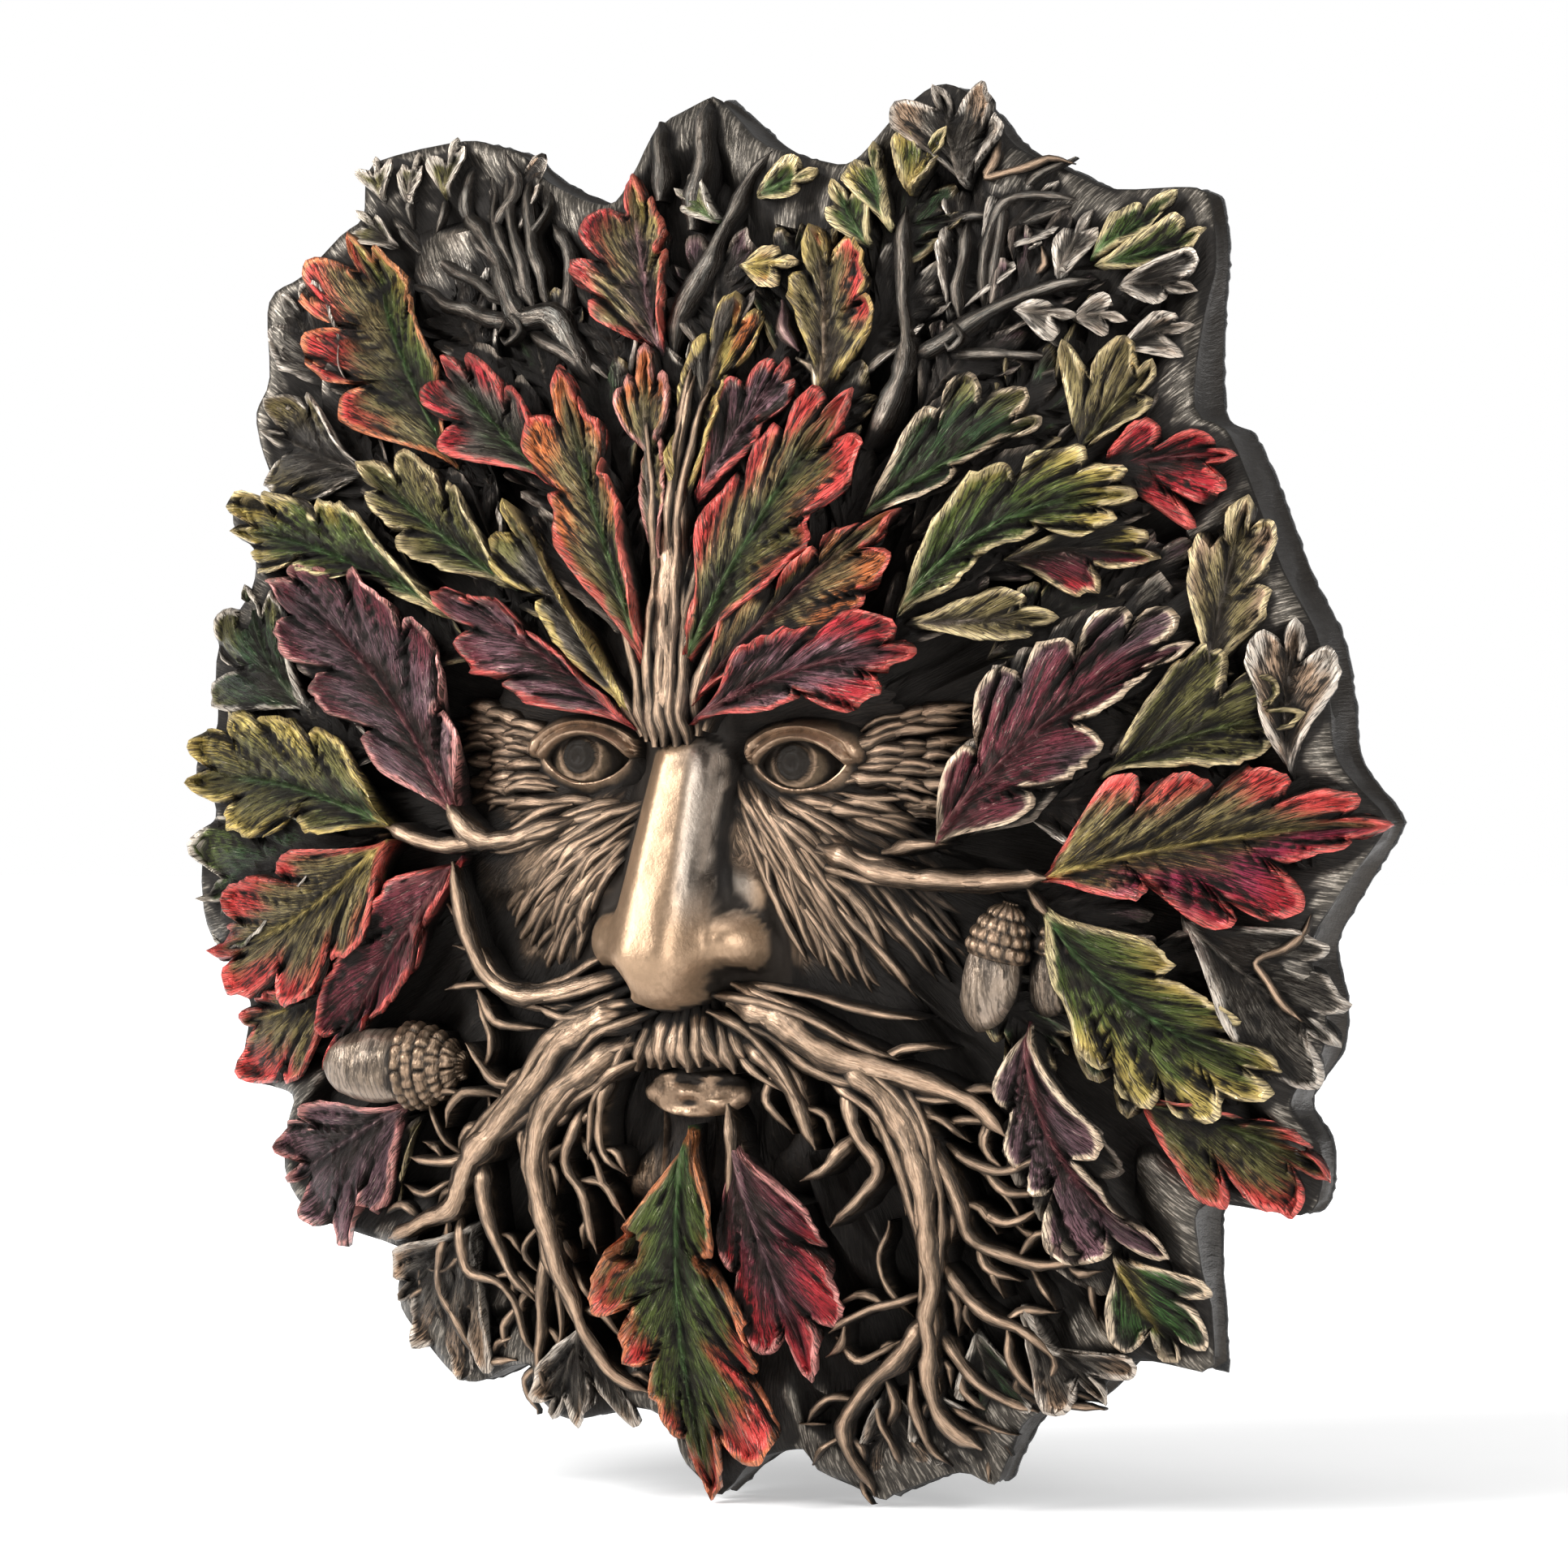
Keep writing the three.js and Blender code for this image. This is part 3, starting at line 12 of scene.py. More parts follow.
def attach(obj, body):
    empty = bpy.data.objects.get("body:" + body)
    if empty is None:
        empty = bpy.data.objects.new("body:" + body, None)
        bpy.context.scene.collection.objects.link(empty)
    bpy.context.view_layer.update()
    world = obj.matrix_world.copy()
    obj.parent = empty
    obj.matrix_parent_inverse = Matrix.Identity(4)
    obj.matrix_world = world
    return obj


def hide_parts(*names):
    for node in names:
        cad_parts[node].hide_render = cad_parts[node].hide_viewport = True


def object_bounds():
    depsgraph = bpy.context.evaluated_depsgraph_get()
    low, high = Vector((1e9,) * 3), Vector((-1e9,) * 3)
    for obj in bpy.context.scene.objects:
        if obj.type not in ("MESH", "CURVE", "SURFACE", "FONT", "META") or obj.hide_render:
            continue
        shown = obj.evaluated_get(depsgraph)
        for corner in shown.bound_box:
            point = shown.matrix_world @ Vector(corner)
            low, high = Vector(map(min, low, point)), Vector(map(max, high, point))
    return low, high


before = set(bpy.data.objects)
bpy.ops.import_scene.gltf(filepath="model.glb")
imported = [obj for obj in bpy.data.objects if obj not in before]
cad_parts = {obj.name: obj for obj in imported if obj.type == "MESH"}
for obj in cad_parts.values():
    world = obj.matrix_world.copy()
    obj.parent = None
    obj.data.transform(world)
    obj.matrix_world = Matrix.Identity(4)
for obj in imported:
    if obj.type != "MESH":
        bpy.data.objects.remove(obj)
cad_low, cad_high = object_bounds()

MM = 0.001
# The casting's flat back stands this many millimetres off the wall, with the felt in between
CAST_BACK = 1.5
# Distance to the edge of a leaf where there is none
NO_EDGE = 99
# Kinds of surface for the material: eyeball, plain casting, ground at the rim, bark and side wall
EYEBALL, PLAIN, RIM_GROUND, BARK, SIDE_WALL = -2.0, 0, 1, 2, 3

# Outline of the slab, in millimetres (x, z) as seen from the front
RIM = [
    (-4.4, 129.7), (0.8, 125.4), (7.1, 120.4), (18.6, 116.7), (25.8, 116.5), (32.8, 126.9),
    (38.6, 130.7), (43.5, 129.7), (47.8, 126), (54.8, 118.5), (64.2, 113.9), (73, 110.1), (88.9, 109.6),
    (91.8, 105.5), (92.6, 97), (91.8, 87), (92, 69), (97.3, 65), (101.8, 56), (108.5, 39), (114.1, 28),
    (116.3, 17), (117.8, 5.6), (124.8, -4), (124.8, -7.5), (117.8, -18.7), (113.1, -28), (115, -38),
    (114.1, -46.7), (108.5, -56), (112.2, -63.5), (112.3, -72), (108.5, -76.5), (93.2, -74.5),
    (91.3, -84), (92.3, -104), (90, -105.5), (76.7, -104), (69.4, -111), (57.8, -115), (52.5, -123.2),
    (49.8, -127.9), (43, -126), (30, -130.7), (27.2, -131.6), (16.3, -126.5), (14.5, -122.3), (4, -125),
    (-3.1, -131), (-5.8, -132.3), (-10.8, -126.9), (-11.7, -119.5), (-18, -115.7), (-34.8, -119.3),
    (-40.7, -115), (-40.2, -109.5), (-45.2, -109.2), (-57.2, -113.3), (-65.9, -106.4), (-71.8, -98),
    (-66.2, -89), (-71.4, -86.5), (-89, -83.1), (-96.2, -75), (-95.7, -66), (-92, -58.8), (-104.7, -56),
    (-104.7, -46.7), (-102.2, -41.1), (-110.7, -31.2), (-114.2, -24.3), (-114.6, -13), (-110.7, -3.7),
    (-115.8, 1), (-115, 8.4), (-110.7, 13.1), (-111.8, 20.5), (-110.2, 29.9), (-101.2, 39.2),
    (-101.7, 46.7), (-107.2, 50.6), (-107.2, 55.6), (-99.2, 58), (-101.8, 67.2), (-102.8, 73.7),
    (-100, 80.3), (-100, 95.2), (-92.9, 99.9), (-84.5, 107.5), (-79.7, 111), (-78.7, 119.5),
    (-73.5, 122.3), (-58, 124.6), (-50.8, 123.2), (-45.8, 121.3), (-38.8, 115.7), (-23.6, 110),
    (-19.2, 116), (-17.2, 123.2), (-14.5, 127), (-6.4, 130.7),
]

# Leaves: root and tip, bow of the midrib, lift off the crown, and the ends of the lobes
LEAVES = {
    "upper_left_outer": ((-48, 60), (-82, 108), 0, 0,
        [(-91, 98), (-89, 84), (-77, 71), (-71, 102), (-60, 91)]),
    "upper_left_rim": ((-74, 74), (-97, 97), 2, -3, [(-99, 85), (-88, 98)]),
    "upper_left_striped": ((-70, 60), (-101, 70), 0, -2, [(-97, 77), (-97, 58), (-86, 55), (-86, 76)]),
    "left_long": ((-46, 32), (-106.5, 50.5), -3.5, 1,
        [(-105, 57), (-92, 57), (-75, 55), (-98, 43.5), (-80, 41.5), (-62, 38)]),
    "left_middle_olive": ((-33, 37), (-72, 62.5), 0, 0, [(-56, 63), (-45, 56), (-66, 53), (-55, 44)]),
    "upper_left_red_edged": ((-26, 57), (-54, 81.5), 0, 1.5,
        [(-56, 74), (-50, 64), (-41, 79.5), (-32, 73)]),
    "crest_left": ((-3, 20), (-26, 79), 0, 2, [(-30.5, 64), (-24, 50), (-18, 70), (-11.5, 57)]),
    "crest_left_inner": ((-1, 33), (-8.5, 82.5), 1, 0.5, [(-13.5, 73), (-8, 58), (-3, 74.5), (-2, 60)]),
    "crest_strip": ((0, 46), (9, 91.5), 1, -1, [(0, 78), (13.5, 86), (9, 72)]),
    "crest_mauve": ((3, 52), (20, 79), 0, -0.5, [(8, 73.5), (16, 78), (21, 72), (15, 64)]),
    "crest_right": ((3, 22), (33, 73), 1, 2, [(24, 71.5), (16, 64.5), (8, 54), (36.5, 58.5), (27, 44.5)]),
    "crest_right_small": ((2, 20), (5, 48.5), 1, 0, [(8.5, 38), (2, 38)]),
    "top_middle": ((-6, 80), (-18, 115.6), 0, -0.5,
        [(-26.5, 104), (-26, 97), (-20, 88), (-11, 108), (-6.5, 97)]),
    "top_right_yellow": ((25.5, 70), (20.5, 104), -3, -0.5, [(19.5, 90), (32.5, 98), (36, 86.5)]),
    "right_upper_green": ((35, 49), (68, 67), 1, 0, [(46, 68), (53, 74.5), (62, 73), (58, 61), (50, 54)]),
    "right_large_green": ((43, 31), (85.6, 53.6), 6, 2,
        [(60, 58), (72, 62), (82, 58), (79, 46.5), (66, 45), (55, 37)]),
    "right_khaki": ((73, 60), (86, 77.5), 0, -1, [(68, 78), (79, 80.5), (84, 67)]),
    "right_red": ((77, 57), (101, 60), 1, -0.5, [(84, 66.5), (94, 64), (98, 52), (90, 46)]),
    "right_under_yellow": ((60, 41), (88.5, 41.5), 2, -3, [(84, 47), (74, 35)]),
    "right_under_khaki": ((43, 30), (72, 31), 0, -2.5, [(62, 36), (64, 27)]),
    "right_rim_upper": ((97, 20), (103, 53), 0, -1.5, [(94, 43), (107.5, 46), (107, 32)]),
    "right_rim_shining": ((111, 2), (112, 31), 1, -0.5, [(118.5, 22), (105, 26)]),
    "left_rim_green": ((-82, 15), (-102, 40), 2, -3, [(-110, 30), (-110, 17), (-90, 36)]),
    "left_burgundy": ((-45, -5), (-93, 40), -7, 1,
        [(-80, 43), (-65, 40), (-50, 28), (-44, 11), (-88, 28), (-79, 17.5), (-62, 3.5)]),
    "left_olive": ((-60, -7), (-115.5, 1.5), -4, 0.5,
        [(-112, 10.5), (-102, 14.5), (-88, 14.5), (-74, 11), (-97, -8.5), (-77, -8)]),
    "left_rim_lower": ((-66, -9), (-113, -21), 0, -3, [(-113, -8), (-109, -30), (-95, -3)]),
    "left_red": ((-61, -9), (-110, -31), 5, 1.5,
        [(-82.5, -11.5), (-98, -18), (-100, -39.5), (-83, -40), (-67, -29)]),
    "left_dark_red": ((-45, -12), (-79, -53), 0, -2, [(-49, -20), (-59, -37.5), (-61, -17), (-80, -43)]),
    "left_orange": ((-74, -37), (-104, -45), 1, -1, [(-94, -38.5), (-103, -56.5), (-87, -55)]),
    "left_purple": ((-60, -59), (-95, -76), 0, -1,
        [(-84, -60), (-95, -66), (-90, -84), (-80, -87), (-68, -79)]),
    "bottom_left_rim": ((-47, -81), (-70, -98), 0, -3, [(-69, -90), (-65, -107), (-57, -113), (-45, -108)]),
    "bottom_left_small": ((-25, -98), (-37, -119), 0, -3, [(-39.5, -113), (-27, -117.5), (-15, -115.5)]),
    "bottom_middle": ((1.5, -61), (-4, -133), -2, 1.5,
        [(-21, -94), (-15.5, -102.5), (-11, -114), (6, -78), (10, -104), (12, -118)]),
    "bottom_middle_red": ((9, -63), (21, -108.5), 0, -1, [(4.5, -82), (8.5, -99), (26, -79), (28, -91)]),
    "right_burgundy": ((50, -10), (95.5, 26.5), 4, 1.5,
        [(54.5, 6), (60.5, 20), (72, 27), (83, 33), (91, 32), (87.5, 19.5), (76.5, 4), (62, -10.5)]),
    "right_olive": ((78, 2), (114, 14), 2, -2, [(97, 26), (107, 20.5), (105, 5.5)]),
    "right_yellow_red": ((68, -16), (127.5, -6), 2, 0.5,
        [(83, 3), (94, 2.8), (107, 4.8), (119, 0.3), (118, -11), (110, -22.5), (100, -24), (87, -19)]),
    "right_green_yellow": ((69, -20), (109, -50), -5, 1,
        [(90, -27), (98.5, -37.5), (105, -55), (95, -59.5), (84, -55.5), (77.5, -48)]),
    "right_rim_lower": ((92, -22), (117, -46), 0, -2.5, [(115, -26), (117.5, -36), (111, -54)]),
    "bottom_right_red": ((83, -55), (116, -70), 2, -1, [(97, -56.5), (109, -61), (106, -75.5), (92, -73)]),
    "lower_right_burgundy": ((66, -41), (88, -84), -7, 0,
        [(60, -53), (61, -65), (65, -72), (68, -82), (77, -61), (79, -74)]),
    "lower_right_green": ((77, -83), (86, -104), 0, -2, [(92, -88), (92, -98), (76, -99)]),
    "brow_left": ((-7, 11), (-50, 37), -2.5, 1, [(-38, 36), (-24, 27), (-42, 23), (-30, 17)]),
    "brow_left_upper": ((-7, 13), (-34, 54), 0, 1, [(-37, 44), (-25, 31), (-23, 38), (-30, 49)]),
    "brow_left_behind": ((-10, 28), (-31, 51), 0, -3.5, [(-18, 44), (-27, 52)]),
    "brow_right": ((4, 15), (43, 51), 1.5, 1, [(13.5, 36.5), (27, 43), (32, 47), (42, 38), (38, 33)]),
    "brow_right_lower": ((4, 12), (48.5, 25.5), 3, 2, [(20, 28), (44, 31), (37, 15), (22, 15)]),
    "sprig_far_left": ((-74, 113), (-75, 122), 0, 0, [(-78.5, 118), (-71, 120)]),
    "sprig_left": ((-61, 113), (-58, 125), 0, 0, [(-64, 120), (-55.5, 122)]),
    "sprig_left_second": ((-69, 112), (-66, 122.5), 0, 0, [(-70, 119), (-65, 118)]),
    "sprig_middle": ((2, 105), (-8, 112), 0, 0, [(-5, 107), (-4, 114.5)]),
    "sprig_yellow_green": ((8.5, 109.5), (21, 114.5), 0, 0, [(15, 117.5), (15.5, 109)]),
    "sprig_yellow": ((7, 96.5), (20, 97), 0, -1, [(12.5, 100), (13.5, 92)]),
    "sprig_pale": ((35.5, 102), (29.5, 119.8), 0, 0, [(25.5, 113.5), (33.5, 112)]),
    "sprig_pale_upper": ((38, 109), (43.5, 122), 0, 1, [(34.5, 120), (42.5, 113)]),
    "sprig_pale_lower": ((32, 99), (23.5, 112.5), 0, -1, [(25, 104), (31, 108)]),
    "sprig_far_right": ((72, 96), (86.5, 109), 0, 0.5, [(75.5, 105), (83, 103)]),
    "sprig_far_right_low": ((73, 95), (92, 102), -1, 1, [(86, 104), (81, 94.5)]),
    "right_upright_curl": ((67, 92), (71, 106), 0, 0, [(66, 100), (73, 100)]),
    "right_curl_inner": ((60, 87), (72, 85.5), 0, 1, [(65, 88.5), (67, 81)]),
    "right_curl_outer": ((70, 85), (80.5, 84.5), 1, 0.5, [(75, 89.5), (76, 82)]),
    "right_curl_rim": ((79, 79), (91.5, 84), 1, 0, [(86, 86), (89, 77.5)]),
    "right_rim_top": ((77, 91), (92, 90), 1, 0, [(89, 98), (84, 87.5)]),
    "left_rim_curl": ((-71, 104), (-80, 112), 0, -2, [(-74, 110), (-80, 106)]),
    "bottom_right_rim": ((60, -93), (73, -112), 0, -2, [(79, -103), (65, -100), (62, -113)]),
    "rim_fan": ((48, 110), (40, 130), 0, 0.5, [(33.5, 124), (50.5, 128), (58, 118)]),
}

# Roots, branches and stalks: path, half width at its start and end, lift off the crown
STRANDS = {
    "forehead_stem": ([(0.5, 10), (0, 22), (-0.5, 40), (0, 58), (1.5, 76)], 4.6, 1, 2),
    "whisker_left": ([(-10, -33), (-28, -38), (-38, -35), (-43, -26), (-46, -13)], 3.4, 0.9, 0),
    "whisker_left_low": ([(-40, -36), (-50, -37)], 1.6, 0.7, -1),
    "root_left": (
        [(-8, -40), (-20, -44), (-31, -55), (-44, -67), (-51, -78), (-60, -82), (-69, -85)],
        5.5, 1.3, 1),
    "root_left_twig": ([(-33, -54), (-38, -54), (-45, -47)], 2, 0.9, 0.5),
    "root_left_hook": ([(-39, -57), (-46, -56), (-51.5, -63)], 1.5, 1, 0),
    "root_left_side": ([(-44, -67), (-50, -69.5), (-61, -69)], 1.8, 1, 0),
    "root_left_outer": ([(-44, -67), (-44, -76), (-41, -87), (-36, -96)], 2.2, 0.9, 0.5),
    "root_left_middle": ([(-51, -79), (-50, -90), (-42, -93), (-38.5, -107)], 1.8, 1, 0),
    "root_left_low": ([(-53, -81), (-58, -93), (-55, -101), (-51, -108), (-43, -108)], 1.8, 1, 0),
    "root_left_low_fork": ([(-58, -93), (-69, -98)], 1.3, 0.9, 0),
    "beard_left": (
        [(-10, -45), (-24, -55), (-31, -66), (-31, -78), (-28, -92), (-22, -107), (-14, -112)],
        4, 1, 1),
    "beard_left_fork": ([(-31, -84), (-35, -100), (-38, -115)], 1.8, 1, 0),
    "beard_left_inner": ([(-20, -56), (-25, -69), (-21, -76), (-20.5, -86)], 2, 0.9, -0.5),
    "beard_left_thin": ([(-14, -50), (-17, -60), (-17, -67), (-13, -70.5)], 1.6, 0.9, -0.5),
    "root_right": ([(10, -38), (20, -41), (30, -47), (45, -52), (56, -56), (61, -62)], 5.5, 1.2, 1),
    "beard_right": (
        [(30, -48), (40, -55), (45, -66), (46, -82), (44, -98), (43, -113), (49, -121)],
        4, 1.4, 1.5),
    "beard_right_inner": ([(12, -44), (22, -54), (26, -65)], 3.4, 0.8, 0),
    "loop_right": ([(32, -51), (34, -61), (37.5, -68), (34, -74), (27, -79)], 2.6, 1, 0.5),
    "loop_right_twig": ([(34, -61), (28, -68), (22, -70.5)], 1.8, 0.8, 0),
    "root_right_second": ([(46, -58), (50, -71), (54, -81), (64, -85), (76, -84)], 1.8, 1.2, 0),
    "root_right_outer": ([(46, -84), (53, -94), (60, -97), (65, -103), (62, -108)], 2, 1, 0.5),
    "root_right_side": ([(44, -91), (34, -94), (24, -99)], 1.5, 0.9, 0),
    "root_right_low": ([(44, -94), (38, -103), (28, -112), (24, -120), (27, -131)], 2.4, 1.4, 0.5),
    "root_right_low_fork": ([(38, -106), (39, -120), (42, -125)], 1.4, 1, 0),
    "root_right_rim": ([(44, -97), (52, -109), (60, -114)], 1.8, 1.2, 0),
    "root_right_wave": ([(48, -63), (59, -68), (69, -64)], 1.4, 1, -1),
    "root_right_upper_twig": ([(48, -59.5), (57, -59.5), (60, -62)], 1.2, 0.8, -1),
    "root_right_middle_twig": ([(52, -74), (59, -78), (66, -75)], 1.3, 0.8, -1),
    "root_right_drop": ([(54.5, -82), (57, -92)], 1.2, 0.8, -1),
    "root_right_scroll": ([(57, -97), (58, -104), (63, -111), (72, -113)], 1.5, 1.1, 0.5),
    "chin_root": ([(8, -57), (9, -66), (7.5, -77)], 1.6, 1, -1),
    "stalk_left": ([(-20, -5), (-34, -9), (-41, -8.5), (-48, -2)], 3, 1.8, 1),
    "stalk_left_outer": ([(-36, -9.5), (-50, -9.5), (-62, -7)], 2, 1.8, 0.5),
    "stalk_right": ([(28, -10), (38, -13.5), (50, -16), (60, -16), (70, -16)], 3, 1.8, 1),
    "stalk_right_leaf": ([(40, -11), (52, -9.5)], 1.8, 1.4, 1),
    "stalk_right_low": ([(66, -17), (71, -23)], 1.5, 1.2, 1),
    "branch_left": ([(-20, 74), (-30, 88), (-39, 89), (-47, 101), (-57, 112), (-55, 121)], 3.6, 1.5, -1),
    "branch_left_outer": ([(-34, 88), (-50, 96), (-64, 103), (-74, 112)], 2.2, 1.3, -2),
    "branch_left_low": ([(-34, 87), (-50, 90), (-62, 95), (-71, 97)], 2, 1.1, -2),
    "branch_left_stub": ([(-28, 85), (-29, 98), (-35, 107)], 2, 1.3, -2),
    "branch_left_rim": ([(-50, 104), (-45, 113), (-49, 122)], 2, 1.4, 0),
    "branch_middle": ([(-5, 80), (-3.5, 90), (1.5, 99), (5, 111), (9, 119)], 3, 1.2, -1),
    "branch_middle_left": ([(-12, 110), (-13, 119), (-15, 126)], 2.4, 2, 1),
    "branch_middle_rim": ([(-4, 104), (-4, 118), (-6, 130)], 2.4, 2.4, 1),
    "branch_right": ([(34, 62), (41, 76), (39, 90), (37, 107)], 3, 1.3, -1),
    "branch_right_outer": ([(41, 78), (49, 82), (58, 88), (73, 93)], 2.4, 1.2, -1),
    "branch_right_low": ([(46, 79), (67, 78)], 1.6, 1, -2),
    "branch_right_upright": ([(49.5, 85), (49, 104)], 1.6, 1.4, -1),
    "branch_right_arm": ([(53.5, 87), (55.5, 107), (69.5, 107)], 1.6, 1.1, -1),
}

# Finer roots and twigs: path, half width at its start and end, lift off the crown
FINE = {
    "whisker_fork_a": ([(-43, -37), (-40, -41), (-37, -43.5), (-28, -44)], 1.3, 0.7, -1),
    "whisker_fork_b": ([(-49, -21), (-45, -25)], 1.0, 0.6, -1),
    "whisker_fork_c": ([(-43, -30), (-48, -29)], 1.0, 0.6, -1),
    "beard_fine_a": ([(-31, -58), (-31.5, -66)], 1.1, 0.7, -1),
    "beard_fine_b": ([(-42, -57), (-42, -62), (-45, -65)], 1.0, 0.6, -1),
    "beard_fine_c": ([(-32, -80), (-36, -86), (-34, -91)], 1.1, 0.7, -0.5),
    "beard_fine_d": ([(-30, -88), (-30, -100), (-33, -105), (-37, -108)], 1.2, 0.7, -0.5),
    "beard_fine_e": ([(-28, -87), (-23, -94), (-22, -97)], 1.1, 0.6, -0.5),
    "chin_fine": ([(10, -64), (12, -70), (17, -74), (22, -75)], 1.2, 0.7, -1),
    "beard_fine_f": ([(25, -100), (29, -104), (34, -102), (38, -100)], 1.0, 0.8, -0.5),
    "beard_fine_g": ([(30, -111), (33, -120), (33, -126)], 1.1, 0.8, 0),
    "beard_fine_h": ([(20, -117), (15, -117)], 1.0, 0.7, 0),
    "beard_fine_i": ([(24, -118), (16, -125)], 1.0, 0.7, 0),
    "beard_fine_j": ([(43, -112), (53, -117), (56, -118)], 1.1, 0.7, 0.5),
    "beard_fine_k": ([(49, -121), (50, -127)], 1.0, 0.8, 0.5),
    "beard_fine_l": ([(62, -86), (66, -94)], 1.0, 0.7, -1),
    "beard_fine_m": ([(72, -87), (73, -96)], 1.0, 0.7, -1),
    "beard_fine_n": ([(-24, -62), (-19, -68), (-17, -76)], 1.1, 0.7, -1.5),
    "beard_fine_o": ([(36, -60), (41, -66), (42, -74)], 1.2, 0.7, -1.5),
    "beard_fine_p": ([(37, -78), (36, -88), (40, -96)], 1.0, 0.7, -1.5),
    "beard_fine_q": ([(-52, -73), (-58, -76), (-64, -75)], 1.0, 0.7, -1),
    "beard_fine_r": ([(-47, -70), (-53, -64), (-56, -58)], 1.0, 0.6, -1),
    "beard_fine_s": ([(54, -68), (60, -73), (62, -79)], 1.0, 0.6, -1),
    "beard_fine_t": ([(-49, -84), (-55, -90), (-62, -90)], 1.0, 0.6, 0),
    "brow_fibre_a": ([(-5.2, 9), (-6.5, 20), (-10, 34), (-15, 50)], 2.1, 0.6, 0.9),
    "brow_fibre_b": ([(-3.2, 8), (-3.4, 24), (-3.4, 40), (-5, 58), (-7, 70)], 2.3, 0.6, 1.7),
    "brow_fibre_c": ([(-1.2, 8), (-1, 25), (-0.6, 42), (0, 60), (1, 78)], 1.9, 0.6, 2.5),
    "brow_fibre_d": ([(1, 8), (1, 25), (1.2, 42), (2.4, 58), (5, 74)], 2.1, 0.6, 2.3),
    "brow_fibre_e": ([(3, 8), (3, 22), (4.4, 36), (8, 50)], 2.3, 0.6, 1.5),
    "brow_fibre_f": ([(4.8, 10), (6.5, 20), (12, 32), (18, 44)], 1.9, 0.6, 0.7),
    "brow_fibre_g": ([(-6.4, 10), (-10, 18), (-18, 26)], 2.1, 0.6, 0.5),
    "brow_fibre_h": ([(6, 11), (9, 16), (18, 22)], 2.3, 0.6, 0.9),
    "moustache_a": ([(-4, -40), (-12, -43), (-20, -49), (-26, -56)], 1.6, 0.9, 1.5),
    "moustache_b": ([(-5, -38), (-14, -40), (-22, -42), (-29, -40)], 1.5, 0.9, 0.5),
    "moustache_c": ([(6, -40), (14, -43), (20, -49), (24, -58)], 1.6, 0.9, 1.2),
    "moustache_d": ([(7, -37), (16, -38), (26, -41), (36, -46)], 1.5, 0.9, 1.4),
    "moustache_e": ([(12, -35), (24, -36), (36, -40), (46, -41)], 1.3, 0.7, -0.5),
    "moustache_f": ([(-8, -42), (-13, -50), (-18, -58), (-20, -68)], 1.4, 0.8, 0),
    "stem_pale": ([(20, 79), (24, 76), (25, 71)], 1.1, 0.8, 0),
    "bud_mauve": ([(16, 90), (18.5, 84), (21, 80)], 1.4, 1.5, 0.5),
    "twig_tl_a": ([(-56, 121), (-57, 112), (-52, 104), (-46, 100), (-40, 90)], 1.2, 1.6, -1),
    "twig_tl_b": ([(-65, 116), (-69, 113), (-68, 108)], 0.9, 1.0, -0.5),
    "twig_tl_c": ([(-62, 116), (-62, 110), (-64, 106)], 0.9, 1.0, -0.5),
    "twig_tl_d": ([(-74, 112), (-70, 106), (-64, 101)], 1.1, 1.2, -1),
    "log_rib_a": ([(-53, 122), (-48, 108), (-42, 99), (-37, 91)], 1.3, 1.6, -1),
    "log_rib_b": ([(-49, 121), (-44, 107), (-39, 98), (-35, 90)], 1.3, 1.6, 0),
    "log_rib_c": ([(-44, 119), (-40, 108), (-36, 99), (-32, 90)], 1.3, 1.6, -0.5),
    "arm_tr_a": ([(54, 88), (55, 99), (55, 108)], 1.5, 1.2, -1),
    "arm_tr_b": ([(56, 103), (62, 104), (69, 107)], 1.2, 0.9, -1),
    "arm_tr_c": ([(56, 108), (60, 112), (66, 116)], 1.2, 0.9, -1),
    "arm_tr_d": ([(44, 104), (49, 104.5), (54, 105)], 1.0, 1.0, -1),
    "curl_tr": ([(61, 93), (64, 95.5), (63, 99)], 1.0, 0.8, -0.5),
    "fan_fold_a": ([(51, 122), (53, 116), (52, 112), (58, 114), (62, 116), (66, 115)], 1.1, 1.0, 0.5),
    "rim_vein_r": (
        [(114, -20), (113, -25), (110, -28), (105, -30.5), (108, -36), (112, -41)], 1.0, 0.9, 0.5),
    "hub_ring": ([(-43, 86), (-40, 89), (-37, 86), (-40, 83.5), (-42, 85)], 1.0, 0.8, 0.5),
    "hub_arm": ([(-37, 86), (-30, 83), (-22, 78)], 1.8, 1.6, 0),
    "knot_tr": ([(47, 82), (49.5, 84.5), (52, 82), (49.5, 80), (48.5, 82)], 0.9, 0.7, 0.8),
    "ring_top": (
        [(-38.7, 115), (-35.9, 110), (-38.7, 105), (-41.5, 110), (-38.9, 114.6)], 0.9, 0.9, -0.5),
}

# Hair at the cheeks: fans of locks, each from a point on the cheek to its end, on either side
LOCK_FANS = {
    "left": [
        ((-25, 11), (-45, 15)), ((-25, 7), (-45, 9)), ((-25, 3), (-44, 2)), ((-22, -2), (-43, -4)),
        ((-14, -5), (-39, -16)), ((-13, -8), (-37, -25)), ((-12, -12), (-30, -31)),
        ((-12, -15), (-22, -32)),
    ],
    "right": [
        ((31, 10), (49, 15)), ((31, 6), (50, 9)), ((31, 2), (49, 0)), ((28, -3), (47, -6)),
        ((26, -5), (50, -19)), ((24, -8), (50, -32)), ((20, -8), (41, -35)), ((16, -7), (32, -35)),
        ((13, -6), (25, -33)),
    ],
}
LOCKS_PER_SIDE = 86

# Acorns: middle, tilt of the long axis in degrees, half length, half width, lift off the crown
ACORNS = [
    ((-62.5, -51.7), -89, 15, 7, 0.5),
    ((60, -31.5), -15, 12, 5.2, -0.5),
    ((70.5, -31), -12, 10, 4.8, -2.5),
]

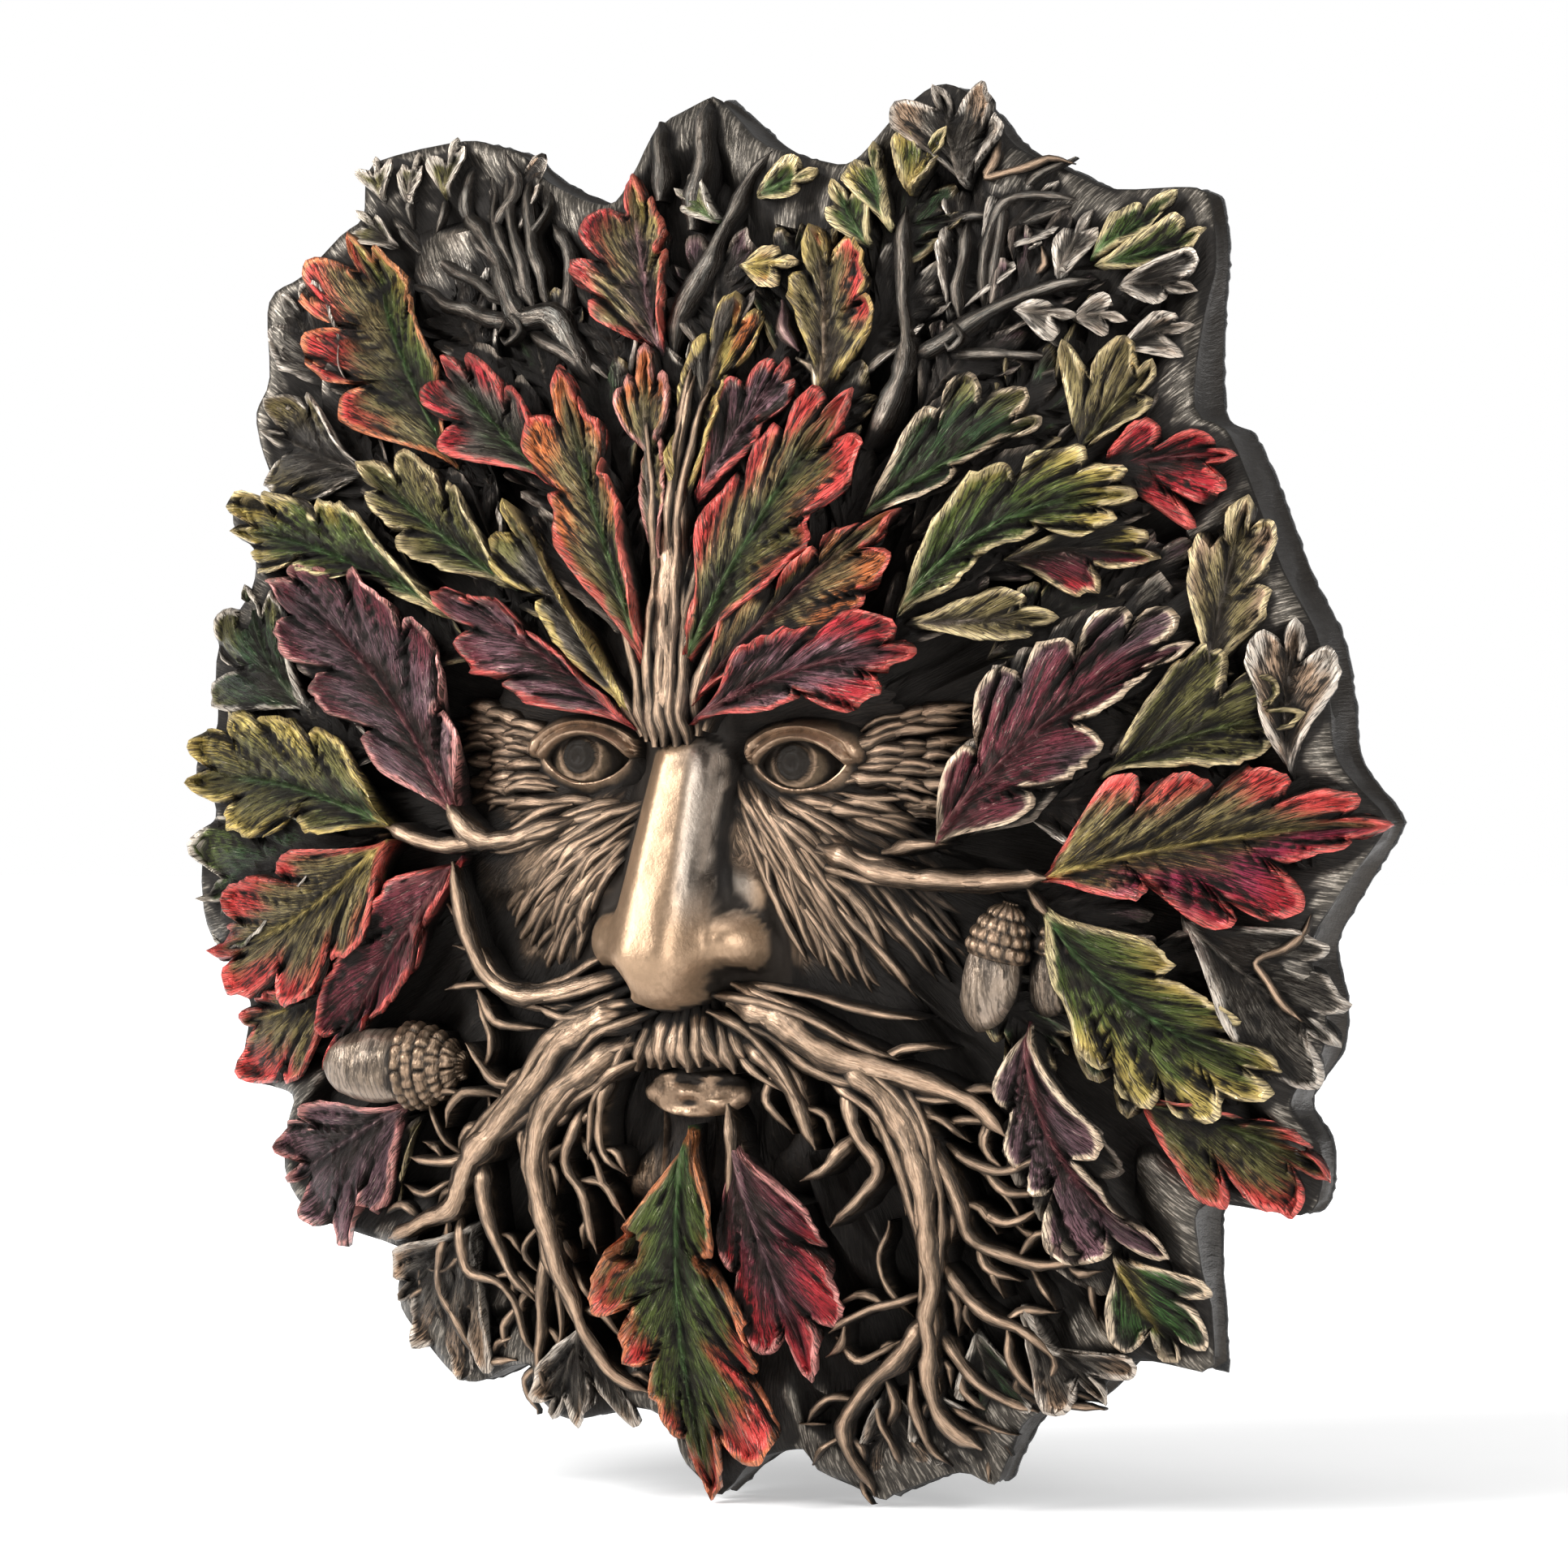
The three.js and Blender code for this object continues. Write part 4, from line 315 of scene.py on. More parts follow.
# Holes eaten through the leaves: middle, half width and half height
HOLES = [
    (97.3, 48.8, 2.4, 4.6), (-101.6, 33.9, 2, 3), (-107.5, -27, 3.5, 2.4), (-72, -81, 2.4, 2),
    (-12.5, -84, 3, 3.4),
]

# Paints, as linear red, green and blue
PAINT = {
    "green": (0.042, 0.105, 0.026), "deep_green": (0.026, 0.055, 0.022), "leaf": (0.07, 0.095, 0.022),
    "olive": (0.11, 0.10, 0.033), "khaki": (0.19, 0.15, 0.065), "yellow": (0.38, 0.29, 0.08),
    "cream": (0.52, 0.43, 0.23), "orange": (0.44, 0.13, 0.04), "coral": (0.50, 0.05, 0.045),
    "red": (0.36, 0.022, 0.03), "burgundy": (0.12, 0.022, 0.032), "magenta": (0.24, 0.025, 0.06),
    "mauve": (0.17, 0.085, 0.10), "purple": (0.10, 0.055, 0.065), "pink": (0.50, 0.20, 0.19),
    "grey": (0.085, 0.075, 0.062), "dark": (0.03, 0.026, 0.022), "bronze": (0.30, 0.20, 0.13),
    "pale": (0.62, 0.50, 0.36), "silver": (0.46, 0.42, 0.37), "wood": (0.052, 0.056, 0.052),
    "brown": (0.13, 0.09, 0.055), "polished": (0.30, 0.20, 0.125),
}
PAINT = {name: np.array(colour) for name, colour in PAINT.items()}

# Paint of each leaf: midrib, blade, edge zone and the thin line along the edge; then, where the two
# halves differ, the blade and edge zone of the half to the right of the midrib seen from its root
LEAF_PAINT = {
    "upper_left_outer": ("green", "khaki", "coral", "orange", "leaf", "yellow"),
    "upper_left_rim": ("grey", "grey", "grey", "silver"),
    "upper_left_striped": ("grey", "grey", "khaki", "silver"),
    "left_long": ("green", "leaf", "yellow", "cream"),
    "left_middle_olive": ("green", "olive", "khaki", "cream"),
    "upper_left_red_edged": ("green", "grey", "red", "coral"),
    "crest_left": ("green", "khaki", "orange", "coral"),
    "crest_left_inner": ("grey", "khaki", "orange", "pink"),
    "crest_strip": ("bronze", "grey", "grey", "yellow", "yellow", "orange"),
    "crest_mauve": ("mauve", "mauve", "purple", "coral"),
    "crest_right": ("green", "khaki", "coral", "coral", "olive", "coral"),
    "crest_right_small": ("grey", "grey", "grey", "pale"),
    "top_middle": ("mauve", "khaki", "red", "coral", "khaki", "yellow"),
    "top_right_yellow": ("brown", "khaki", "khaki", "yellow", "khaki", "coral"),
    "right_upper_green": ("green", "deep_green", "olive", "pale"),
    "right_large_green": ("green", "leaf", "yellow", "cream"),
    "right_khaki": ("olive", "khaki", "khaki", "cream"),
    "right_red": ("burgundy", "red", "red", "coral"),
    "right_under_yellow": ("dark", "olive", "yellow", "cream", "burgundy", "red"),
    "right_under_khaki": ("dark", "khaki", "khaki", "cream"),
    "right_rim_upper": ("dark", "khaki", "bronze", "cream"),
    "right_rim_shining": ("dark", "bronze", "silver", "silver"),
    "left_rim_green": ("deep_green", "deep_green", "olive", "silver"),
    "left_burgundy": ("burgundy", "purple", "burgundy", "pink"),
    "left_olive": ("green", "olive", "yellow", "yellow"),
    "left_rim_lower": ("deep_green", "deep_green", "leaf", "silver"),
    "left_red": ("yellow", "khaki", "coral", "coral"),
    "left_dark_red": ("burgundy", "burgundy", "burgundy", "coral"),
    "left_orange": ("yellow", "khaki", "coral", "coral"),
    "left_purple": ("purple", "purple", "mauve", "pink"),
    "bottom_left_rim": ("grey", "grey", "bronze", "silver"),
    "bottom_left_small": ("grey", "grey", "bronze", "silver"),
    "bottom_middle": ("green", "leaf", "coral", "orange"),
    "bottom_middle_red": ("mauve", "burgundy", "red", "pink"),
    "right_burgundy": ("burgundy", "burgundy", "purple", "pale"),
    "right_olive": ("leaf", "olive", "olive", "cream"),
    "right_yellow_red": ("yellow", "khaki", "coral", "coral", "magenta", "red"),
    "right_green_yellow": ("green", "leaf", "yellow", "cream"),
    "right_rim_lower": ("grey", "grey", "grey", "silver"),
    "bottom_right_red": ("leaf", "olive", "coral", "coral"),
    "lower_right_burgundy": ("burgundy", "purple", "mauve", "pale"),
    "lower_right_green": ("yellow", "green", "dark", "pale"),
    "brow_left": ("burgundy", "mauve", "burgundy", "coral"),
    "brow_left_upper": ("dark", "grey", "olive", "yellow", "grey", "coral"),
    "brow_left_behind": ("dark", "grey", "grey", "grey"),
    "brow_right": ("burgundy", "khaki", "orange", "coral"),
    "brow_right_lower": ("burgundy", "mauve", "red", "coral"),
    "sprig_far_left": ("olive", "olive", "khaki", "silver"),
    "sprig_left": ("olive", "olive", "khaki", "silver"),
    "sprig_left_second": ("grey", "olive", "khaki", "silver"),
    "sprig_middle": ("green", "olive", "leaf", "silver"),
    "sprig_yellow_green": ("green", "leaf", "yellow", "cream"),
    "sprig_yellow": ("yellow", "yellow", "orange", "cream"),
    "sprig_pale": ("green", "leaf", "yellow", "cream"),
    "sprig_pale_upper": ("yellow", "leaf", "yellow", "cream"),
    "sprig_pale_lower": ("green", "leaf", "olive", "cream"),
    "sprig_far_right": ("green", "leaf", "green", "cream"),
    "sprig_far_right_low": ("green", "leaf", "olive", "cream"),
    "right_upright_curl": ("grey", "grey", "grey", "silver"),
    "right_curl_inner": ("grey", "grey", "grey", "silver"),
    "right_curl_outer": ("grey", "grey", "bronze", "silver"),
    "right_curl_rim": ("dark", "grey", "bronze", "silver"),
    "right_rim_top": ("dark", "grey", "silver", "silver"),
    "left_rim_curl": ("grey", "olive", "khaki", "silver"),
    "bottom_right_rim": ("grey", "grey", "bronze", "silver"),
    "rim_fan": ("grey", "grey", "bronze", "silver"),
}

# Dome over the tops of the leaves: middle and half sizes of its oval, height at the rim and the rise
# from there, and how far the ground lies below it
DOME_MIDDLE, DOME_HALF_WIDTH, DOME_HALF_HEIGHT = 8, 120, 130
RIM_HEIGHT, DOME_RISE, VALLEY = 10.5, 33, 12


def dome_share(x, z):
    """Distance from the middle of the dome, 1 at its oval."""
    return np.hypot((x - DOME_MIDDLE) / DOME_HALF_WIDTH, z / DOME_HALF_HEIGHT)


def crown(x, z):
    """Height of the tops of the leaves off the back, in millimetres."""
    return RIM_HEIGHT + DOME_RISE * np.clip(1 - dome_share(x, z) ** 2.2, 0, 1) ** 0.8


def ground(x, z):
    """Height of the ground between the leaves."""
    return crown(x, z) - VALLEY * np.clip(1 - dome_share(x, z) ** 6, 0, 1) - 0.4


def mix(a, b, t):
    """From a to b as t goes from 0 to 1."""
    return a + (b - a) * t


def smooth(low, high, value):
    """0 at low and before it, 1 at high and beyond, with an even bend at both ends."""
    t = np.clip((value - low) / (high - low), 0, 1)
    return t * t * (3 - 2 * t)


def bell(distance, width):
    """1 at no distance, falling to nothing over a few widths."""
    return np.exp(-(distance / width) ** 2)


def hashed(ix, iy, seed):
    """A fixed value from 0 to 1 that looks random, for whole numbers and a seed."""
    value = np.sin(ix * 127.1 + iy * 311.7 + seed * 74.7) * 43758.5453
    return value - np.floor(value)


def noise(x, y, seed):
    """Smooth noise between -1 and 1 whose features are one unit wide."""
    x, y = np.broadcast_arrays(np.asarray(x, float), np.asarray(y, float))
    ix, iy = np.floor(x), np.floor(y)
    fx, fy = x - ix, y - iy
    fx, fy = fx * fx * (3 - 2 * fx), fy * fy * (3 - 2 * fy)
    low = hashed(ix, iy, seed) * (1 - fx) + hashed(ix + 1, iy, seed) * fx
    high = hashed(ix, iy + 1, seed) * (1 - fx) + hashed(ix + 1, iy + 1, seed) * fx
    return 2 * (low * (1 - fy) + high * fy) - 1


def grid_triangles(ids, hand=1):
    """Two triangles for each cell of a grid of point numbers, mirrored for the hand -1."""
    a, b, c, d = ids[:-1, :-1], ids[1:, :-1], ids[1:, 1:], ids[:-1, 1:]
    pair = ((a, b, c), (a, c, d)) if hand > 0 else ((a, d, b), (d, c, b))
    return np.concatenate([np.stack(corners, -1).reshape(-1, 3) for corners in pair])


def ring_ids(rows, columns):
    """Point numbers of a grid that closes round: its first column again at the end."""
    ids = np.arange(rows * columns).reshape(rows, columns)
    return np.concatenate([ids, ids[:, :1]], 1)


def end_caps(ids):
    """Triangles that close the first and the last ring of a grid."""
    caps = []
    for row in (ids[0], ids[-1][::-1]):
        caps += [(row[0], row[k], row[k + 1]) for k in range(1, len(row) - 2)]
    return np.array(caps)


def end_fans(ids, first_middle, last_middle):
    """Triangles from the first and the last ring of a grid to a point in the middle of each."""
    first, last = ids[0], ids[-1]
    count = len(first) - 1
    return (np.stack([first[:-1], first[1:], np.full(count, first_middle)], 1),
            np.stack([last[1:], last[:-1], np.full(count, last_middle)], 1))


def fan_behind(ring, point):
    """Triangles from a ring to a point behind it."""
    return np.stack([ring[:-1], np.full(len(ring) - 1, point), ring[1:]], 1)


def plain_flow(points):
    """Texture coordinates that follow no direction of the carving."""
    return np.stack([points[:, 0] / 3, points[:, 2] * 2, np.zeros(len(points))], -1)


def sideways(route):
    """Unit vectors across a route, to its left."""
    way = np.gradient(route, axis=0)
    way /= np.linalg.norm(way, axis=1, keepdims=True)
    return np.stack([-way[:, 1], way[:, 0]], -1)


def catmull(points, step, closed=False):
    """Points along a smooth curve through the given ones, about one step apart."""
    points = np.asarray(points, float)
    count = len(points)
    spans = count if closed else count - 1
    curve = []
    for i in range(spans):
        if closed:
            p = [points[(i + k - 1) % count] for k in range(4)]
        else:
            p = [points[min(max(i + k - 1, 0), count - 1)] for k in range(4)]
        pieces = max(1, int(round(np.linalg.norm(p[2] - p[1]) / step)))
        for t in np.arange(pieces) / pieces:
            curve.append(0.5 * (
                2 * p[1] + (p[2] - p[0]) * t + (2 * p[0] - 5 * p[1] + 4 * p[2] - p[3]) * t * t
                + (3 * p[1] - p[0] - 3 * p[2] + p[3]) * t ** 3))
    if not closed:
        curve.append(points[-1])
    return np.array(curve)


class Part:
    """A closed shell: points as x, height off the back and z in millimetres, with paint at each."""

    def __init__(self, name, points, triangles, **paint):
        used, back = np.unique(triangles, return_inverse=True)
        triangles = back.reshape(-1, 3)
        keep = ((triangles[:, 0] != triangles[:, 1]) & (triangles[:, 1] != triangles[:, 2])
                & (triangles[:, 0] != triangles[:, 2]))
        self.name = name
        self.points = np.asarray(points, float)[used]
        self.triangles = triangles[keep]
        count = len(points)
        values = {
            "paint": PAINT["bronze"], "accent": PAINT["brown"], "edge": PAINT["pale"],
            "flow": (0, 0, 0), "form": (NO_EDGE, PLAIN, 1), "mark": (0, 0, 0),
        }
        values.update(paint)
        self.values = {
            k: np.broadcast_to(np.asarray(v, float), (count, 3))[used] for k, v in values.items()}
        world = place(self.points)
        a, b, c = (world[self.triangles[:, k]] for k in range(3))
        if np.einsum("ij,ij->i", a, np.cross(b, c)).sum() < 0:
            self.triangles = self.triangles[:, ::-1]


def place(points):
    """Millimetres of the layout as metres of the frame."""
    x, height, z = points[:, 0], points[:, 1], points[:, 2]
    return np.stack([x, -(CAST_BACK + height), z], -1) * MM


# Leaf form: the share of the midrib that bears lobes, the angle of its side veins and where they
# turn to the tip, and half the width of the stalk
FAN_SHARE = 0.84
VEIN_ANGLE = math.radians(56)
TURN_FROM = 0.45
STALK_HALF = 1.2
# Step between the points along its edge, and the height of the wall under it
EDGE_STEP = 1.3
EDGE_WALL = 1.3
# Least and most reach of a leaf between two lobes, as shares of the shorter one
LOBE_FLOOR = (0.64, 0.86)
# Least share along the midrib of its first lobes
FIRST_LOBE = 0.15
# Roundness of the lobes: least, and how much more at most
LOBE_ROUND, LOBE_ROUNDER = 0.42, 0.16
# Stands for the miss of a vein that points away from a lobe
NO_VEIN = 1e9
# Relief of a leaf in millimetres: swell inside the edge, roll of the edge and how much it varies,
# grooves of the side veins, groove and ridge of the midrib, creases from the sinuses, dip of the
# sinuses, large waves, curl of the ends, grain along the veins and grit, rise of its middle
RELIEF = {
    "swell": 1.3, "roll": 2.3, "roll_varies": 1.2, "rib": 0.7, "midrib_groove": 1.6, "midrib": 1.1,
    "crease": 2.4, "dip": 1.6, "wave": 3.0, "curl": 3.1, "grain": 0.55, "grit": 0.16, "arch": 0.8,
}
# Depth of the eaten holes, in millimetres
HOLE_DEPTH = 5


class Leaf:
    """The plan of one oak leaf."""

    def __init__(self, root, tip, bow, lobes):
        self.root, self.tip = np.array(root, float), np.array(tip, float)
        along = self.tip - self.root
        self.length = np.hypot(*along)
        side = np.array([-along[1], along[0]]) / self.length
        self.control = (self.root + self.tip) / 2 + 2 * bow * side
        self.peaks = {hand: self.lobes_on(lobes, hand) for hand in (1, -1)}
        self.last = np.hypot(*(self.tip - self.at(np.array([1.0]))[0]))

    def at(self, t):
        s = (np.asarray(t, float) * FAN_SHARE)[:, None]
        return (1 - s) ** 2 * self.root + 2 * s * (1 - s) * self.control + s ** 2 * self.tip

    def vein(self, t, hand):
        """Direction in which the side veins leave the midrib, turning to the tip at its end."""
        t = np.asarray(t, float)
        s = (t * FAN_SHARE)[:, None]
        run = (1 - s) * (self.control - self.root) + s * (self.tip - self.control)
        ahead = self.tip - self.at(t)
        run = run / np.linalg.norm(run, axis=1, keepdims=True)
        ahead = ahead / np.linalg.norm(ahead, axis=1, keepdims=True)
        run = mix(run, ahead, np.clip((t[:, None] - 0.6) / 0.4, 0, 1))
        turn = hand * VEIN_ANGLE * (1 - np.clip((t - TURN_FROM) / (1 - TURN_FROM), 0, 1) ** 2.6)
        angle = np.arctan2(run[:, 1], run[:, 0]) + turn
        return np.stack([np.cos(angle), np.sin(angle)], -1)

    def lobes_on(self, lobes, hand):
        """Share along the midrib and reach of each lobe on one side."""
        t = np.linspace(0.02, 0.98, 97)
        middle, vein = self.at(t), self.vein(t, hand)
        found = []
        for lobe in lobes:
            away = np.array(lobe) - middle
            reach = (away * vein).sum(1)
            miss = np.abs(away[:, 0] * vein[:, 1] - away[:, 1] * vein[:, 0])
            miss[reach <= 0] = NO_VEIN
            best = int(np.argmin(miss))
            run = self.at(np.array([t[best] + 0.02]))[0] - middle[best]
            cross = run[0] * away[best][1] - run[1] * away[best][0]
            if miss[best] < NO_VEIN and np.sign(cross) == hand:
                found.append((t[best], reach[best]))
        found = sorted(found)
        if found:
            least = min(FIRST_LOBE, found[1][0] - 0.1) if len(found) > 1 else FIRST_LOBE
            found[0] = (max(found[0][0], least), found[0][1])
        return found

    def reach(self, t, hand, seed):
        """Distance from the midrib to the edge: round lobes with narrow sinuses between them."""
        peaks = self.peaks[hand]
        stops = [*peaks, (1.0, self.last)]
        width = np.full_like(t, STALK_HALF) * np.sqrt(np.clip(t / 0.03, 0, 1))
        for i, (here, tall) in enumerate(stops):
            roundness = LOBE_ROUND + LOBE_ROUNDER * hashed(i, hand, seed)
            if i == 0:
                start = 0.12 * here
                part = (t > start) & (t <= here)
                u = (here - t[part]) / (here - start)
                width[part] = mix(STALK_HALF, tall, (0.5 + 0.5 * np.cos(np.pi * u)) ** 0.85)
            for gap, beside in ((i, i - 1), (i + 1, i + 1)):
                if not 0 <= beside < len(stops):
                    continue
                there, other = stops[beside]
                middle = (there + here) / 2
                floor = mix(*LOBE_FLOOR, hashed(gap, hand + 3, seed)) * min(other, tall)
                part = (t > min(middle, here)) & (t <= max(middle, here))
                u = np.clip(np.abs(here - t[part]) / abs(here - middle) / 0.96, 0, 1)
                width[part] = mix(floor, tall, (1 - u ** 3.1) ** roundness)
        teeth = 1 - 2 * np.abs(noise(t * self.length / 4.2, hand * 3.1, seed))
        ripple = 0.5 * noise(t * self.length / 1.5, hand * 9.1, seed) + 1.1 * teeth
        ripple = ripple * np.clip(width / 11, 0, 0.7)
        return width + ripple * smooth(0.1, 0.3, t) * (1 - smooth(0.93, 1, t))

    def sinuses(self, hand):
        """Middle and width of each sinus on one side, as shares of the midrib."""
        stops = [peak[0] for peak in self.peaks[hand]] + [1.0]
        return [((a + b) / 2, b - a) for a, b in zip(stops, stops[1:])]

    def sinus(self, t, hand):
        """1 in the middle of each sinus, 0 at the lobes."""
        low = np.zeros_like(t)
        for middle, wide in self.sinuses(hand):
            low = np.maximum(low, bell(t - middle, max(0.22 * wide, 0.012)))
        return low


def nearest(points, others):
    """Distance from each point to the nearest of the others."""
    return np.sqrt(((points[:, None, :] - others[None]) ** 2).sum(-1).min(1))


def sweep(along, out, widest):
    """The same all along each of the lines that leave the midrib and turn out into the lobes."""
    return along - 1.3 * np.sqrt(widest * out + 0.3)


def leaf_part(name, root, tip, bow, lift, lobes, seed, names=None, step=EDGE_STEP):
    """A carved leaf; names are its paints where the table of paints doesn't have it."""
    plan = Leaf(root, tip, bow, lobes)
    lift = 0.6 * lift if lift < 0 else lift
    dense = np.linspace(0, 1, 500)
    middle = plan.at(dense)
    outline = {h: middle + plan.reach(dense, h, seed)[:, None] * plan.vein(dense, h) for h in (1, -1)}
    runs = [np.linalg.norm(np.diff(p, axis=0), axis=1) for p in (outline[1], outline[-1], middle)]
    run = np.concatenate([[0], np.cumsum(runs[0] + runs[1] + 0.6 * runs[2])])
    rows = int(np.clip((runs[0].sum() + runs[1].sum()) / 2 / step, 12, 96))
    t = np.interp(np.linspace(0, run[-1], rows), run, dense)
    main = np.array([peak[0] for h in (1, -1) for peak in plan.peaks[h]])
    beside = 0.75 / plan.length
    t = t[np.abs(t[:, None] - main).min(1) > 1.2 * beside] if len(main) else t
    t = np.unique(np.clip(np.concatenate([t, main, main - beside, main + beside, [0, 1]]), 0, 1))
    t = t[np.concatenate([[True], np.diff(t) > 0.25 / plan.length])]
    t[-1] = 1
    rows = len(t)
    reach = {h: plan.reach(t, h, seed) for h in (1, -1)}
    widest = max(reach[1].max(), reach[-1].max())
    columns = int(np.clip(round(widest / step), 4, 11))
    share = np.arange(columns + 1) / columns
    share = 0.6 * (0.5 - 0.5 * np.cos(np.pi * share)) + 0.4 * share
    size = float(np.clip(widest / 12, 0.3, 1))
    rim = np.concatenate([outline[1][10:], outline[-1][10:]])
    points, ids, total = [], {}, 0
    values = {k: [] for k in ("paint", "accent", "edge", "flow", "form", "mark")}
    loose = 0.4 if names else 1
    names = names or LEAF_PAINT[name]
    for hand in (1, -1):
        spots = plan.at(t)[:, None] + (reach[hand][:, None] * share)[..., None] * plan.vein(t, hand)[:, None]
        flat = spots.reshape(-1, 2)
        x, z = flat.T
        s = np.broadcast_to(share, (rows, columns + 1)).ravel()
        along = np.repeat(t, columns + 1)
        width = np.repeat(reach[hand], columns + 1)
        from_edge = nearest(flat, rim)
        from_midrib = s * width
        lines = sweep(along * plan.length, from_midrib, widest)
        crease = np.zeros(len(flat))
        for at, _ in plan.sinuses(hand):
            deep = plan.reach(np.array([at]), hand, seed)[0]
            crease = np.maximum(crease, bell(lines - sweep(at * plan.length, deep, widest), 1.3))
        crease *= smooth(0.05, 0.6, s)
        low = np.repeat(plan.sinus(t, hand), columns + 1)
        wave = noise(along * plan.length / 14, hand * 5.5, seed + 1)
        curl = noise(along * plan.length / 7, hand * 7.5 + 2, seed + 2)
        height = crown(x, z) + lift
        height += size * RELIEF["swell"] * (1 - bell(from_edge, 2.4))
        roll = RELIEF["roll"] + RELIEF["roll_varies"] * curl
        height += size * mix(0.5, 1, loose) * roll * bell(from_edge - 0.45, 0.85) * smooth(0, 0.3, along)
        ribs = np.zeros(len(flat))
        for at, far_out in plan.peaks[hand]:
            ribs = np.maximum(ribs, bell(lines - sweep(at * plan.length, 0.8 * far_out, widest), 0.55))
        ribs *= smooth(0.03, 0.15, s) * smooth(0.95, 0.7, s)
        height -= size * RELIEF["rib"] * ribs
        height -= size * RELIEF["midrib_groove"] * bell(from_midrib, 1.3 + 1.2 * size)
        height += size * RELIEF["midrib"] * bell(from_midrib, 0.7)
        height -= size * RELIEF["crease"] * crease
        height -= size * RELIEF["dip"] * low * s ** 1.6
        height += size * loose * (RELIEF["wave"] * wave * s ** 1.5 + RELIEF["curl"] * curl * s ** 3)
        ahead = along * plan.length + from_midrib
        height += RELIEF["grain"] * noise(lines / 1.5, ahead / 9, seed + 3)
        height += RELIEF["grit"] * noise(x / 2.1, z / 2.1, seed + 4)
        arch = RELIEF["arch"] * np.sin(np.pi * mix(0.12, 0.92, along))
        height += arch - 2 * (1 - smooth(0, 0.08, along))
        height -= 0.6 * smooth(0.9, 1, along) * s
        for hx, hz, half_x, half_z in HOLES:
            hole = ((x - hx) / half_x) ** 2 + ((z - hz) / half_z) ** 2
            height -= HOLE_DEPTH * (1 - smooth(0.5, 1.15, hole))
        blade, zone = names[4:6] if len(names) > 4 and hand < 0 else names[1:3]
        colours = [PAINT[c] for c in (names[0], blade, zone, names[3])]
        reach_in = np.clip(from_midrib / (0.75 * width.max() + 1), 0, 1)
        out = np.clip(0.55 * reach_in + 0.4 * along ** 1.5 + 0.3 * s - 0.06 + 0.22 * noise(
            along * plan.length / 5, from_midrib / 9, seed + 5), 0, 1)[:, None]
        paint = mix(colours[0], colours[1], smooth(0.08, 0.4, out))
        paint = mix(paint, colours[2], smooth(0.6, 0.92, out))
        on_rib = (bell(from_midrib, 0.9) * (1 - smooth(0.75, 0.95, along)))[:, None]
        paint = mix(paint, 1.15 * colours[0], on_rib)
        accent = mix(mix(colours[1], colours[2], smooth(0.4, 0.85, out)), 1.3 * colours[0], on_rib)
        grid = total + np.arange(rows * (columns + 1)).reshape(rows, columns + 1)
        total += grid.size
        points.append(np.stack([x, height, z], -1))
        values["paint"].append(paint)
        values["accent"].append(accent)
        values["edge"].append(np.broadcast_to(colours[3], paint.shape))
        values["flow"].append(np.stack([lines * hand, ahead, np.full(len(s), seed * 7.3)], -1))
        values["form"].append(np.stack([from_edge, np.zeros(len(s)), np.ones(len(s))], -1))
        # Painted shade in the creases, the vein grooves and round the midrib; a painted highlight along the
        # rolled edge and on the midrib
        groove = np.maximum(np.maximum(0.9 * crease, 0.8 * ribs), 0.6 * (1 - smooth(0.05, 0.5, out[:, 0])))
        groove = groove * (1 - 0.9 * bell(from_midrib, 0.8))
        crest = np.maximum(bell(from_edge - 0.4, 0.6), 0.6 * bell(from_midrib, 0.5))
        values["mark"].append(np.stack([groove, crest * smooth(0, 0.2, along), 0 * s], -1))
        # Under the edge: a short wall, set in a little
        wall = grid[:, -1] - grid[0, 0]
        under = points[-1][wall].copy()
        inward = plan.at(t) - under[:, [0, 2]]
        inward /= np.maximum(np.linalg.norm(inward, axis=1, keepdims=True), 1e-6)
        under[:, [0, 2]] += inward * np.minimum(0.35, 0.3 * reach[hand])[:, None]
        under[:, 1] = np.maximum(under[:, 1] - EDGE_WALL, ground(under[:, 0], under[:, 2]) - 1)
        points.append(under)
        for key in values:
            values[key].append(values[key][-1][wall])
        walls = total + np.arange(rows)
        total += rows
        ids[hand] = [grid, walls]
    keel_at = plan.at(np.minimum(t, 0.97))
    keel = np.stack([
        keel_at[:, 0], np.maximum(2, ground(keel_at[:, 0], keel_at[:, 1]) - 1.5), keel_at[:, 1]], -1)
    points.append(keel)
    for key in values:
        values[key].append(values[key][0][ids[1][0][:, 0]])
    keels = total + np.arange(rows)
    right, right_wall = ids[-1]
    left, left_wall = ids[1]
    right[:, 0] = left[:, 0]
    right[-1] = left[-1]
    left[0] = left[0, 0]
    right[0] = left[0, 0]
    left_wall[0] = right_wall[0] = keels[0]
    right_wall[-1] = left_wall[-1]
    triangles = []
    for hand, (grid, walls) in ids.items():
        sides = np.stack([grid[:, -1], walls, keels], 1)
        triangles += [grid_triangles(grid, hand), grid_triangles(sides, hand)]
    return Part(
        name, np.concatenate(points), np.concatenate(triangles),
        **{k: np.concatenate(v) for k, v in values.items()})


# Turns of the rounded back of a strand, seen along it, and its sunk foot
BACK_TURNS = np.radians([0, 32, 60, 78, 90, 102, 120, 148, 180])
BROAD_BACK_TURNS = np.radians([0, 18, 36, 52, 68, 82, 98, 112, 128, 144, 162, 180])
FOOT_DEPTH = 2
# How far a strand strays from its path, in millimetres
WOBBLE = 0.6
# Strands thicker than this at their start are broad: finer turns and softer shade at their sides
BROAD_FROM = 2.6
# How deep the grooves along a strand are, and how much its height varies in millimetres
GROOVED, STRAND_SWAY = 0.24, 0.5


